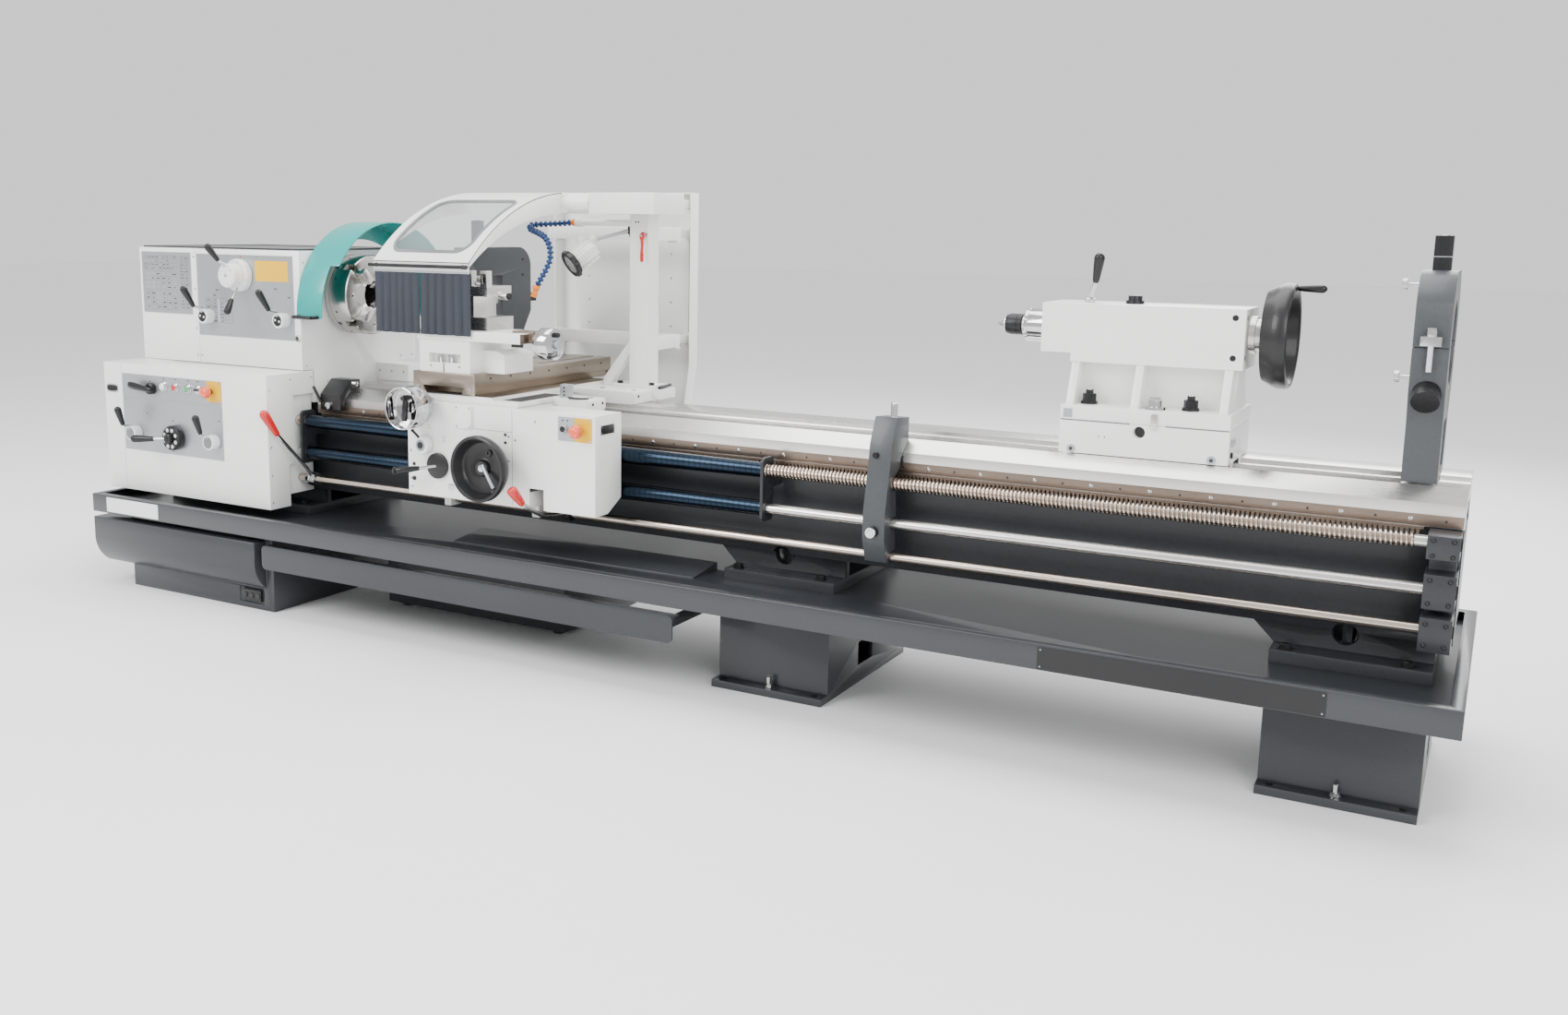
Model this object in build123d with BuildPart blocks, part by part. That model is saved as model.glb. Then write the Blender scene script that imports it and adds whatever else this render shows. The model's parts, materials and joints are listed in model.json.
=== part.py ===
"""Engine lathe on a full-length chip tray: bed, headstock, carriage, tailstock and rests.

Millimetres. +X runs along the bed from the headstock to the tailstock, -Y faces the
operator, +Z is up. Z = 0 is the floor and Y = 0 is the vertical plane through the
spindle axis. at(s) turns a distance from the tray's left end into an X position.
"""
from build123d import *
from math import cos, radians, sin
import os

os.makedirs("parts", exist_ok=True)

# ---------------------------------------------------------------- driving dimensions
tray_length = 5000.0        # overall length of the machine
half_depth = 590.0          # spindle plane to the front-most and rear-most pieces
axis_height = 1211.0        # spindle and tailstock axis above the floor
way_height = 853.0          # top of the front vee way
slide_fit = 0.2             # gap between a slide and its way
turn_fit = 0.05             # radial clearance of a shaft in its bearing
free_gap = 0.5              # gap between pieces that pass without guiding each other
sheet = 4.0                 # folded sheet-metal wall


def at(station):
    """X position of a distance measured from the left end of the tray."""
    return station - tray_length / 2


# ---------------------------------------------------------------- small building aids
def block(x0, x1, y0, y1, z0, z1, mode=Mode.ADD):
    """Box between two corners."""
    with Locations(((x0 + x1) / 2, (y0 + y1) / 2, (z0 + z1) / 2)):
        Box(x1 - x0, y1 - y0, z1 - z0, mode=mode)


def bar(start, end, radius, mode=Mode.ADD, tip_radius=None):
    """Round bar between two points, tapered when tip_radius is given."""
    length = (Vector(*end) - Vector(*start)).length
    with Locations(Plane(origin=start, z_dir=Vector(*end) - Vector(*start))):
        if tip_radius is None:
            Cylinder(radius, length, align=(Align.CENTER, Align.CENTER, Align.MIN), mode=mode)
        else:
            Cone(radius, tip_radius, length,
                 align=(Align.CENTER, Align.CENTER, Align.MIN), mode=mode)


def bar_x(x0, x1, y, z, radius, mode=Mode.ADD, tip_radius=None):
    bar((x0, y, z), (x1, y, z), radius, mode, tip_radius)


def bar_y(y0, y1, x, z, radius, mode=Mode.ADD, tip_radius=None):
    bar((x, y0, z), (x, y1, z), radius, mode, tip_radius)


def bar_z(z0, z1, x, y, radius, mode=Mode.ADD, tip_radius=None):
    bar((x, y, z0), (x, y, z1), radius, mode, tip_radius)


def profile_x(points, x0, x1, mode=Mode.ADD):
    """Outline of (y, z) points pulled from x0 to x1."""
    with BuildSketch(Plane.YZ.offset(x0)) as outline:
        with BuildLine():
            Polyline(*points, close=True)
        make_face()
    extrude(outline.sketch, amount=x1 - x0, mode=mode)


def profile_y(points, y0, y1, mode=Mode.ADD):
    """Outline of (x, z) points pulled from y0 to y1."""
    with BuildSketch(Plane.XZ.offset(-y1)) as outline:
        with BuildLine():
            Polyline(*points, close=True)
        make_face()
    extrude(outline.sketch, amount=y1 - y0, mode=mode)


def profile_z(points, z0, z1, mode=Mode.ADD):
    """Outline of (x, y) points pulled from z0 to z1."""
    with BuildSketch(Plane.XY.offset(z0)) as outline:
        with BuildLine():
            Polyline(*points, close=True)
        make_face()
    extrude(outline.sketch, amount=z1 - z0, mode=mode)


def lever(hub, grip_start, grip_end, hub_radius, hub_depth, rod_radius, grip_radius):
    """Hub on a front panel, with a rod that leaves it for a tapered hand grip."""
    x, y, z = hub
    bar_y(y, y + hub_depth, x, z, hub_radius)
    bar((x, y + rod_radius + 1, z), grip_start, rod_radius)
    bar(grip_start, grip_end, grip_radius * 0.8, tip_radius=grip_radius)


def dished_wheel(centre, axis, radius, rim, depth, hub_radius, hub_depth, bore):
    """Handwheel with a round rim, a dished web and a bored hub, turned about its axis."""
    plane = Plane(origin=centre, z_dir=axis)
    with BuildSketch(Plane(origin=centre, x_dir=plane.x_dir, z_dir=-plane.y_dir)) as section:
        with BuildLine():
            Polyline((bore, 0), (bore, hub_depth), (hub_radius, hub_depth),
                     (hub_radius + 6, depth * 0.3), (radius - rim, depth * 0.45),
                     (radius - rim, depth), (radius - rim * 0.3, depth),
                     (radius, depth - rim * 0.5), (radius, depth * 0.25),
                     (radius - rim * 0.4, 0), (radius - rim, depth * 0.2),
                     (hub_radius + 2, 0), close=True)
        make_face()
    revolve(section.sketch, axis=Axis(centre, axis))


# ================================================================ tray, feet and bed
tray_width = 1053.0
tray_front = -half_depth + 45.0
tray_back = tray_front + tray_width
tray_top = 379.0
tray_skirt = 74.0
tray_floor = 350.0
lip_fold = 33.0
tray_bottom = tray_top - tray_skirt
pad_height = 35.0
pad_top = tray_floor + pad_height

with BuildPart() as chip_tray:
    block(at(0), at(tray_length), tray_front, tray_back, tray_bottom, tray_top)
    block(at(sheet), at(tray_length - sheet), tray_front + sheet, tray_back - sheet,
          tray_bottom, tray_floor - sheet, mode=Mode.SUBTRACT)
    block(at(sheet), at(tray_length - sheet), tray_front + sheet, tray_back - sheet,
          tray_floor, tray_top - sheet, mode=Mode.SUBTRACT)
    block(at(lip_fold), at(tray_length - lip_fold), tray_front + lip_fold,
          tray_back - lip_fold, tray_top - sheet, tray_top, mode=Mode.SUBTRACT)
    # low sloped deflector that leads swarf and coolant to the front of the pan
    profile_x([(-345, tray_floor), (-180, tray_floor), (-180, tray_floor + 26),
               (-345, tray_floor + 6)], at(1750), at(2760))
chip_tray.part.label = "chip_tray"
export_step(chip_tray.part, "parts/chip_tray.step")

bed_start = at(60)
bed_end = at(tray_length - 45)
bed_front = -210.0
bed_back = 192.0
bed_underside = 445.0
wall = 30.0
apex_y = -160.0
rear_way_top = way_height - 3.0
prism_base = way_height - 63.0
inner_way_top = way_height - 15.0
foot_length = 395.0
left_leg = (at(160), at(960))
middle_leg = (at(2838), at(2838 + foot_length))
right_leg = (bed_end - foot_length - 37, bed_end - 37)
leg_hole_radius = 34.0
pad_front = bed_front - 63.0
pad_back = bed_back + 63.0
front_wall = (bed_front + 26, bed_front + 26 + wall)
back_wall = (bed_back - 7 - wall, bed_back - 7)
rib_pitch = 430.0

with BuildPart() as bed_casting:
    for low, high in (front_wall, back_wall):
        block(bed_start, bed_end, low, high, bed_underside, prism_base - 30)
    # rails that carry the ways
    block(bed_start, bed_end, bed_front + 25, bed_front + 142, prism_base - 32, prism_base)
    block(bed_start, bed_end, 18, bed_back - 4, prism_base - 32, prism_base)
    # lower flanges
    block(bed_start, bed_end, bed_front + 4, bed_front + 75, bed_underside, bed_underside + 28)
    block(bed_start, bed_end, bed_back - 75, bed_back - 3, bed_underside, bed_underside + 28)
    # cross ribs and end walls
    rib_count = int((bed_end - bed_start) // rib_pitch)
    for index in range(rib_count + 1):
        rib_x = bed_start + (bed_end - bed_start - 26) * index / rib_count
        block(rib_x, rib_x + 26, bed_front + 30, bed_back - 30, bed_underside + 20, prism_base - 70)
    # legs, each with a slanted shoulder, a round opening and a bolting pad
    for low, high in (left_leg, middle_leg, right_leg):
        for y0, y1 in (front_wall, back_wall):
            profile_y([(low, pad_top - 2), (high, pad_top - 2), (high, bed_underside + 5),
                       (low - 66, bed_underside + 5), (low - 60, bed_underside - 2)], y0, y1)
        block(low, high, pad_front, pad_back, tray_floor, pad_top)
        for x in (low + 180, high - 180):
            block(x - 12, x + 12, bed_front + 30, bed_back - 30, pad_top - 2, bed_underside + 5)
    for low, high in (left_leg, middle_leg, right_leg):
        bar_y(bed_front - 5, front_wall[1] + 5, low + foot_length * 0.45, 435, leg_hole_radius,
              mode=Mode.SUBTRACT)
        bar_y(bed_back - 50, bed_back + 5, low + foot_length * 0.45, 435, leg_hole_radius,
              mode=Mode.SUBTRACT)
        for x in (low + 38, high - 58):
            for y in (pad_front + 28, pad_back - 28):
                bar_z(tray_floor, pad_top, x, y, 11, mode=Mode.SUBTRACT)
bed_casting.part.label = "bed_casting"
export_step(bed_casting.part, "parts/bed_casting.step")

rack_depth = 26.0
rack_thick = 24.0
rack_bottom = way_height - 100 - rack_depth
with BuildPart() as guideways:
    # front vee prism with its ground front face, gib ledge and the tailstock flat behind it
    profile_x([(bed_front, way_height - 100), (bed_front, way_height - 38), (apex_y, way_height),
               (apex_y + 40, way_height - 30), (apex_y + 40, inner_way_top),
               (-70, inner_way_top), (-70, prism_base), (bed_front + 25, prism_base),
               (bed_front + 25, way_height - 100)], bed_start + 900, bed_end)
    # rear flat way and the inner flat for the tailstock
    profile_x([(20, prism_base), (20, inner_way_top), (59, inner_way_top), (59, rear_way_top),
               (bed_back, rear_way_top), (bed_back, prism_base + 12),
               (bed_back - 20, prism_base + 12), (bed_back - 20, prism_base)],
              bed_start + 900, bed_end)
    # gear rack screwed under the front prism
    block(bed_start + 915, bed_end - 92, bed_front + 0.5, bed_front + 0.5 + rack_thick,
          rack_bottom, way_height - 100)
guideways.part.label = "guideways"
export_step(guideways.part, "parts/guideways.step")

foot_top = tray_floor - sheet
foot_front = -297.0
foot_back = 297.0
flange = 53.0
flange_height = 25.0
with BuildPart() as feet:
    for low, high in (middle_leg, right_leg):
        block(low, high, foot_front, foot_back, 0, foot_top)
        block(low, high, foot_front - flange, foot_back + flange, 0, flange_height)
        block(low + 14, high - 14, foot_front + 14, foot_back - 14, 14, foot_top - 14,
              mode=Mode.SUBTRACT)
        # lifting notch low in both end walls
        block(low - 1, high + 1, -60, 60, 60, 140, mode=Mode.SUBTRACT)
        for y in (foot_front - flange / 2, foot_back + flange / 2):
            bar_z(0, flange_height, (low + high) / 2, y, 11, mode=Mode.SUBTRACT)
            for x in (low + 34, high - 34):
                bar_z(0, flange_height, x, y, 9, mode=Mode.SUBTRACT)
feet.part.label = "feet"
export_step(feet.part, "parts/feet.step")

pedestal_left = at(158)
pedestal_right = at(970)
pedestal_front = tray_front + 60
pedestal_back = tray_back - 90
cover_z0 = 90.0
cover_z1 = 283.0
with BuildPart() as left_pedestal:
    block(pedestal_left, pedestal_right, pedestal_front, pedestal_back, 0, foot_top)
    block(pedestal_left + 12, pedestal_right - 12, pedestal_front + 12, pedestal_back - 12,
          12, foot_top - 12, mode=Mode.SUBTRACT)
    # small cable pocket low on the front, at the right-hand end
    block(pedestal_right - 190, pedestal_right - 55, pedestal_front - 1, pedestal_front + 8,
          22, 82, mode=Mode.SUBTRACT)
    # bulged front cover, flush with the tray above and curving back to the pedestal below
    with BuildSketch(Plane.YZ.offset(at(0))):
        with BuildLine():
            Line((tray_front, cover_z1), (tray_front, cover_z1 - 70))
            ThreePointArc((tray_front, cover_z1 - 70), (tray_front + 14, cover_z0 + 52),
                          (pedestal_front, cover_z0))
            Line((pedestal_front, cover_z0), (pedestal_front, cover_z1))
            Line((pedestal_front, cover_z1), (tray_front, cover_z1))
        make_face()
    extrude(amount=935)
    # the cover returns along the left end of the pedestal
    block(at(0), pedestal_left, pedestal_front, pedestal_front + 330, cover_z0, cover_z1)
    block(at(0) + 12, pedestal_left + 1, pedestal_front + 12, pedestal_front + 318,
          cover_z0 + 12, cover_z1 - 12, mode=Mode.SUBTRACT)
left_pedestal.part.label = "left_pedestal"
export_step(left_pedestal.part, "parts/left_pedestal.step")

tank_x = (at(1261), at(2112))
tank_y = (-160.0, 330.0)
tank_height = 215.0
with BuildPart() as coolant_tank:
    block(*tank_x, *tank_y, 18, tank_height)
    block(tank_x[0] + 6, tank_x[1] - 6, tank_y[0] + 6, tank_y[1] - 6, 24, tank_height - 30,
          mode=Mode.SUBTRACT)
    # rim, four castors' blocks and the pump on the lid
    block(tank_x[0] - 8, tank_x[1] + 8, tank_y[0] - 8, tank_y[1] + 8, tank_height - 26,
          tank_height - 14)
    for x in (tank_x[0] + 60, tank_x[1] - 60):
        for y in (tank_y[0] + 50, tank_y[1] - 50):
            bar_z(0, 18, x, y, 24)
    bar_z(tank_height, tank_height + 86, tank_x[1] - 120, 240, 55)
coolant_tank.part.label = "coolant_tank"
export_step(coolant_tank.part, "parts/coolant_tank.step")

# ================================================================ brake treadle
treadle_x = (at(975), at(2800))
treadle_z = (187.0, 280.0)
treadle_pivot = (-230.0, 232.0)
with BuildPart() as brake_treadle:
    with BuildSketch(Plane.XZ.offset(-(tray_front + 6))):
        with Locations(((treadle_x[0] + treadle_x[1]) / 2, sum(treadle_z) / 2)):
            RectangleRounded(treadle_x[1] - treadle_x[0], treadle_z[1] - treadle_z[0], 20)
    extrude(amount=5)
    block(*treadle_x, tray_front + 6, tray_front + 46, treadle_z[1] - 12, treadle_z[1] - 6)
    for x in (treadle_x[0] + 120, treadle_x[1] - 60):
        block(x, x + 12, tray_front + 4, treadle_pivot[0] + 24, 214, 250)
        bar_x(x - 14, x + 26, *treadle_pivot, 24)
        bar_x(x - 14, x + 26, *treadle_pivot, 10 + turn_fit, mode=Mode.SUBTRACT)
brake_treadle.part.label = "brake_treadle"
export_step(brake_treadle.part, "parts/brake_treadle.step")

# ================================================================ headstock
head_left = at(20)
head_seam = at(361)
head_right = at(938)
head_front = -265.0
head_back = 395.0
head_floor = 921.0
head_top = axis_height + 173.0
head_wall = 20.0
spindle_bore = 52.5
nose_radius = 98.0
journal_radius = 80.0
tail_journal = 66.0
bearing_wall = 22.0
spindle_left = at(4)
chuck_back = at(962)
gear_radius = 125.0
pinion_radius = 45.0
mesh_gap = 0.6
shaft_angle = radians(240)
shaft_y = (gear_radius + pinion_radius + mesh_gap) * cos(shaft_angle)
shaft_z = axis_height + (gear_radius + pinion_radius + mesh_gap) * sin(shaft_angle)
shaft_radius = 20.0
pulley_radius = 80.0
motor_y = 290.0
motor_z = head_floor + 109.0
motor_radius = 84.0
motor_pulley_radius = 52.0
belt_thick = 10.0
belt_x = at(232)
belt_width = 14.0
belt_pitch = 19.0
dial_x = at(620)
dial_z = axis_height + 72.0
dial_pin = 12.0

with BuildPart() as headstock_housing:
    # gear casing
    block(head_seam + 0.5, head_right, head_front, head_back, head_floor, head_top)
    block(head_seam + 0.5 + head_wall, head_right - head_wall, head_front + head_wall,
          head_back - head_wall, head_floor + 15, head_top - 15, mode=Mode.SUBTRACT)
    # plinth on the bed, with the step that reaches towards the carriage
    block(at(120), head_right, bed_front + 6, bed_back - 6, prism_base, head_floor)
    block(head_right - 40, at(1110), bed_back - 40, bed_back + 60, rear_way_top + 1, head_floor)
    # bearing bosses
    bar_x(head_right - 60, head_right - head_wall, 0, axis_height, journal_radius + bearing_wall + 14)
    bar_x(head_seam + head_wall, head_seam + 70, 0, axis_height, tail_journal + bearing_wall + 14)
    bar_x(head_seam + head_wall, head_seam + 50, shaft_y, shaft_z, 44)
    bar_x(head_right - 50, head_right - head_wall, shaft_y, shaft_z, 44)
    bar_x(head_right - 61, head_right + 1, 0, axis_height, journal_radius + turn_fit,
          mode=Mode.SUBTRACT)
    bar_x(head_seam - 1, head_seam + 71, 0, axis_height, tail_journal + turn_fit,
          mode=Mode.SUBTRACT)
    bar_x(head_seam - 1, head_seam + 71, shaft_y, shaft_z, shaft_radius + turn_fit,
          mode=Mode.SUBTRACT)
    bar_x(head_right - 51, head_right - 10, shaft_y, shaft_z, shaft_radius + turn_fit,
          mode=Mode.SUBTRACT)
    bar_x(head_seam - 1, head_seam + head_wall + 1, motor_y, motor_z, 24, mode=Mode.SUBTRACT)
    bar_y(head_front - 1, head_front + 12, dial_x, dial_z, dial_pin + turn_fit, mode=Mode.SUBTRACT)
    # end guard over the belts, with a hole for bar stock
    block(head_left, head_seam, head_front, head_back, head_floor, head_top)
    block(head_left + sheet, head_seam, head_front + sheet, head_back - sheet,
          head_floor + sheet, head_top - sheet, mode=Mode.SUBTRACT)
    bar_x(head_left - 1, head_left + sheet + 1, 0, axis_height, tail_journal + 6,
          mode=Mode.SUBTRACT)
    # dark top cover with a shallow raised rim
    block(head_left + 14, head_right - 14, head_front + 12, head_back - 12, head_top,
          head_top + 7)
    block(head_left + 34, head_right - 34, head_front + 32, head_back - 32, head_top + 4,
          head_top + 8, mode=Mode.SUBTRACT)
headstock_housing.part.label = "headstock_housing"
export_step(headstock_housing.part, "parts/headstock_housing.step")

with BuildPart() as spindle:
    bar_x(spindle_left, head_right - 62, 0, axis_height, tail_journal)
    bar_x(head_seam + 90, head_right - 62, 0, axis_height, journal_radius - 8)
    bar_x(head_right - 62, head_right + 2, 0, axis_height, journal_radius)
    bar_x(head_right + 2, chuck_back, 0, axis_height, nose_radius)
    # main gear
    bar_x(at(590), at(650), 0, axis_height, gear_radius)
    bar_x(spindle_left - 1, chuck_back + 1, 0, axis_height, spindle_bore, mode=Mode.SUBTRACT)
spindle.part.label = "spindle"
export_step(spindle.part, "parts/spindle.step")

with BuildPart() as input_shaft:
    bar_x(belt_x - 14, head_right - 12, shaft_y, shaft_z, shaft_radius)
    bar_x(at(585), at(655), shaft_y, shaft_z, pinion_radius)
    bar_x(belt_x - 8, belt_x + 3 * belt_pitch + 4, shaft_y, shaft_z, pulley_radius)
input_shaft.part.label = "input_shaft"
export_step(input_shaft.part, "parts/input_shaft.step")

with BuildPart() as motor_pulley:
    bar_x(belt_x - 8, belt_x + 3 * belt_pitch + 4, motor_y, motor_z, motor_pulley_radius)
    bar_x(belt_x + 3 * belt_pitch + 4, head_seam + head_wall + 40, motor_y, motor_z, 19)
motor_pulley.part.label = "motor_pulley"
export_step(motor_pulley.part, "parts/motor_pulley.step")

with BuildPart() as main_drive:
    # motor on the casing floor, with a bored front shield, feet and cooling fins
    bar_x(head_seam + head_wall + 12, at(760), motor_y, motor_z, motor_radius - 8)
    for index in range(12):
        fin_x = at(410) + index * 26
        bar_x(fin_x, fin_x + 7, motor_y, motor_z, motor_radius)
    block(at(430), at(700), motor_y - 60, motor_y + 60, head_floor + 15, motor_z - 60)
    bar_x(head_seam + head_wall + 11, head_seam + head_wall + 41, motor_y, motor_z,
          19 + turn_fit, mode=Mode.SUBTRACT)
    # three belts round the two pulleys
    for index in range(3):
        with BuildSketch(Plane.YZ.offset(belt_x + index * belt_pitch)):
            with Locations((motor_y, motor_z)):
                Circle(motor_pulley_radius + 0.3 + belt_thick)
            with Locations((shaft_y, shaft_z)):
                Circle(pulley_radius + 0.3 + belt_thick)
            make_hull()
        extrude(amount=belt_width)
        with BuildSketch(Plane.YZ.offset(belt_x + index * belt_pitch)):
            with Locations((motor_y, motor_z)):
                Circle(motor_pulley_radius + 0.3)
            with Locations((shaft_y, shaft_z)):
                Circle(pulley_radius + 0.3)
            make_hull()
        extrude(amount=belt_width, mode=Mode.SUBTRACT)
main_drive.part.label = "main_drive"
export_step(main_drive.part, "parts/main_drive.step")

chuck_radius = 157.5
chuck_length = 112.0
chuck_face = chuck_back + chuck_length
jaw_count = 4
jaw_slot = 28.0
jaw_height = 44.0
jaw_inner = 56.0
jaw_lift = 42.0
with BuildPart() as chuck_body:
    bar_x(chuck_back, chuck_face, 0, axis_height, chuck_radius)
    chamfer(chuck_body.edges().filter_by(GeomType.CIRCLE), 4)
    bar_x(chuck_back - 1, chuck_face + 1, 0, axis_height, spindle_bore, mode=Mode.SUBTRACT)
    for index in range(jaw_count):
        turn = radians(45 + 90 * index)
        direction = Vector(0, cos(turn), sin(turn))
        with Locations(Plane(origin=(chuck_face, 0, axis_height), x_dir=direction, z_dir=(1, 0, 0))):
            with Locations((chuck_radius / 2 + 6, 0, 0)):
                Box(chuck_radius + 20, jaw_slot + 2 * slide_fit, 2 * jaw_height, mode=Mode.SUBTRACT)
        # adjusting screw socket in the rim
        base = Vector(chuck_back + 34, 0, axis_height) + direction * (chuck_radius - 30)
        tip = Vector(chuck_back + 34, 0, axis_height) + direction * (chuck_radius + 5)
        bar(tuple(base), tuple(tip), 9, mode=Mode.SUBTRACT)
chuck_body.part.label = "chuck_body"
export_step(chuck_body.part, "parts/chuck_body.step")

for index in range(jaw_count):
    turn = radians(45 + 90 * index)
    out = Vector(0, cos(turn), sin(turn))
    with BuildPart() as chuck_jaw:
        # stepped jaw, its root guided in the slot of the chuck body
        with BuildSketch(Plane(origin=(chuck_face, 0, axis_height), x_dir=out,
                               z_dir=Vector(1, 0, 0).cross(out))):
            with BuildLine():
                Polyline((jaw_inner + 20, 0.5 - jaw_height), (chuck_radius - 22, 0.5 - jaw_height),
                         (chuck_radius - 22, jaw_lift * 0.35), (jaw_inner + 56, jaw_lift * 0.35),
                         (jaw_inner + 56, jaw_lift * 0.7), (jaw_inner + 30, jaw_lift * 0.7),
                         (jaw_inner + 30, jaw_lift), (jaw_inner, jaw_lift), (jaw_inner, slide_fit),
                         (jaw_inner + 20, slide_fit), close=True)
            make_face()
        extrude(amount=jaw_slot / 2, both=True)
    chuck_jaw.part.label = f"chuck_jaw_{index + 1}"
    export_step(chuck_jaw.part, f"parts/chuck_jaw_{index + 1}.step")

guard_radius = 359.0
guard_y = 66.0
guard_z = axis_height - 73.0
guard_x = (head_right + 8, head_right + 184)
guard_hinge_y = guard_y + guard_radius - 20
guard_hinge_z = guard_z - 20
with BuildPart() as chuck_guard:
    bar_x(*guard_x, guard_y, guard_z, guard_radius)
    bar_x(guard_x[0] + 3, guard_x[1] + 1, guard_y, guard_z, guard_radius - sheet,
          mode=Mode.SUBTRACT)
    # the left web only follows the rim, and the lower half is open
    bar_x(guard_x[0] - 1, guard_x[0] + 4, guard_y, guard_z, guard_radius - 70,
          mode=Mode.SUBTRACT)
    block(guard_x[0] - 1, guard_x[1] + 1, guard_y - guard_radius - 1, guard_y + guard_radius + 1,
          guard_z - guard_radius - 1, guard_z - 8, mode=Mode.SUBTRACT)
    # step in the right-hand edge that bares the jaws
    block(guard_x[1] - 46, guard_x[1] + 1, guard_y - guard_radius - 1, guard_y - 130,
          guard_z - 20, axis_height + 118, mode=Mode.SUBTRACT)
    # bent handle at the front lower edge
    handle_y = guard_y - guard_radius
    bar_y(handle_y - 34, handle_y + 4, guard_x[0] + 14, guard_z - 4, 7)
    bar_y(handle_y - 34, handle_y + 4, guard_x[1] - 66, guard_z - 4, 7)
    bar_x(guard_x[0] + 14, guard_x[1] - 66, handle_y - 34, guard_z - 4, 7)
    # hinge knuckle
    bar_x(guard_x[0], guard_x[0] + 40, guard_hinge_y, guard_hinge_z, 16)
    bar_x(guard_x[0] - 1, guard_x[0] + 41, guard_hinge_y, guard_hinge_z, 8 + turn_fit,
          mode=Mode.SUBTRACT)
chuck_guard.part.label = "chuck_guard"
export_step(chuck_guard.part, "parts/chuck_guard.step")

# ---------------------------------------------------------------- headstock controls
plate_thick = 2.0
panel_y = head_front - plate_thick
with BuildPart() as speed_dial_rear:
    bar_y(panel_y - 30, panel_y - free_gap, dial_x, dial_z, 64)
    bar_y(panel_y - 31, panel_y, dial_x, dial_z, dial_pin + turn_fit, mode=Mode.SUBTRACT)
    bar((dial_x + 8, panel_y - 24, dial_z - 50), (dial_x + 20, panel_y - 70, dial_z - 92), 6)
    bar((dial_x + 20, panel_y - 70, dial_z - 92), (dial_x + 33, panel_y - 112, dial_z - 148), 11,
        tip_radius=14)
speed_dial_rear.part.label = "speed_dial_rear"
export_step(speed_dial_rear.part, "parts/speed_dial_rear.step")

with BuildPart() as speed_dial_front:
    bar_y(panel_y - 78, panel_y - 30.5, dial_x, dial_z, 47)
    bar_y(panel_y - 30.5, panel_y + 10, dial_x, dial_z, dial_pin)
    bar((dial_x, panel_y - 68, dial_z + 30), (dial_x - 12, panel_y - 100, dial_z + 58), 6)
    bar((dial_x - 12, panel_y - 100, dial_z + 58), (dial_x - 32, panel_y - 142, dial_z + 122), 11,
        tip_radius=14)
speed_dial_front.part.label = "speed_dial_front"
export_step(speed_dial_front.part, "parts/speed_dial_front.step")

lever_stations = (at(435), at(858))
lever_z = axis_height - 97.0
for index, x in enumerate(lever_stations):
    with BuildPart() as headstock_lever:
        lever((x, head_front - free_gap - 46, lever_z), (x - 8, head_front - 78, lever_z + 40),
              (x - 26, head_front - 118, lever_z + 122), 29, 46, 6, 14)
    headstock_lever.part.label = f"headstock_lever_{index + 1}"
    export_step(headstock_lever.part, f"parts/headstock_lever_{index + 1}.step")

# ================================================================ gearbox cover and controls
box_left = at(0) + 2
box_right = at(940)
box_front = -457.0
box_side_back = -320.0
box_bottom = 396.0
box_top = 918.0
rod_y = -280.0
screw_z = 728.0
feed_z = 604.0
start_z = 500.0
screw_radius = 20.0
feed_radius = 16.0
start_radius = 15.0
box_plate_y = box_front - plate_thick
with BuildPart() as gearbox_cover:
    block(box_left, box_right, box_front, bed_front - free_gap, box_bottom, box_top)
    block(box_left + sheet, box_right - sheet, box_front + sheet, bed_front, box_bottom - 1,
          box_top - sheet, mode=Mode.SUBTRACT)
    # top skin runs back to the gear casing, and the right side is cut round the rods
    block(box_left, box_right, bed_front - free_gap, bed_front + 6 - free_gap, box_top - sheet, box_top)
    profile_y([(box_right - sheet - 1, box_bottom - 1), (box_right + 1, box_bottom - 1),
               (box_right + 1, box_top - 90), (box_right - sheet - 1, box_top - 90)],
              box_side_back, bed_front, mode=Mode.SUBTRACT)
    profile_y([(box_right - sheet - 1, box_bottom - 1), (box_right + 1, box_bottom - 1),
               (box_right + 1, 560), (box_right - sheet - 1, 560)],
              box_side_back - 30, box_side_back + 1, mode=Mode.SUBTRACT)
    # feed gearbox inside, bored for the three shafts
    block(at(420), at(925), -335, bed_front - free_gap - 1, 440, 880)
    for z, radius in ((screw_z, screw_radius), (feed_z, feed_radius), (start_z, start_radius)):
        bar_x(at(860), at(926), rod_y, z, radius + turn_fit, mode=Mode.SUBTRACT)
gearbox_cover.part.label = "gearbox_cover"
export_step(gearbox_cover.part, "parts/gearbox_cover.step")

gearbox_lever_stations = (at(197), at(652))
for index, x in enumerate(gearbox_lever_stations):
    with BuildPart() as gearbox_lever:
        lever((x, box_plate_y - free_gap - 40, 640), (x - 6, box_plate_y - 66, 676),
              (x - 16, box_plate_y - 84, 752), 30, 40, 6, 14)
    gearbox_lever.part.label = f"gearbox_lever_{index + 1}"
    export_step(gearbox_lever.part, f"parts/gearbox_lever_{index + 1}.step")

with BuildPart() as gearbox_dial:
    x = at(428)
    bar_y(box_plate_y - 34, box_plate_y - free_gap, x, 637, 50)
    bar_y(box_plate_y - 50, box_plate_y - 34, x, 637, 20)
    bar((x - 14, box_plate_y - 44, 637), (x - 60, box_plate_y - 62, 634), 7)
    bar((x - 60, box_plate_y - 62, 634), (x - 160, box_plate_y - 92, 630), 11, tip_radius=15)
gearbox_dial.part.label = "gearbox_dial"
export_step(gearbox_dial.part, "parts/gearbox_dial.step")

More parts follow.
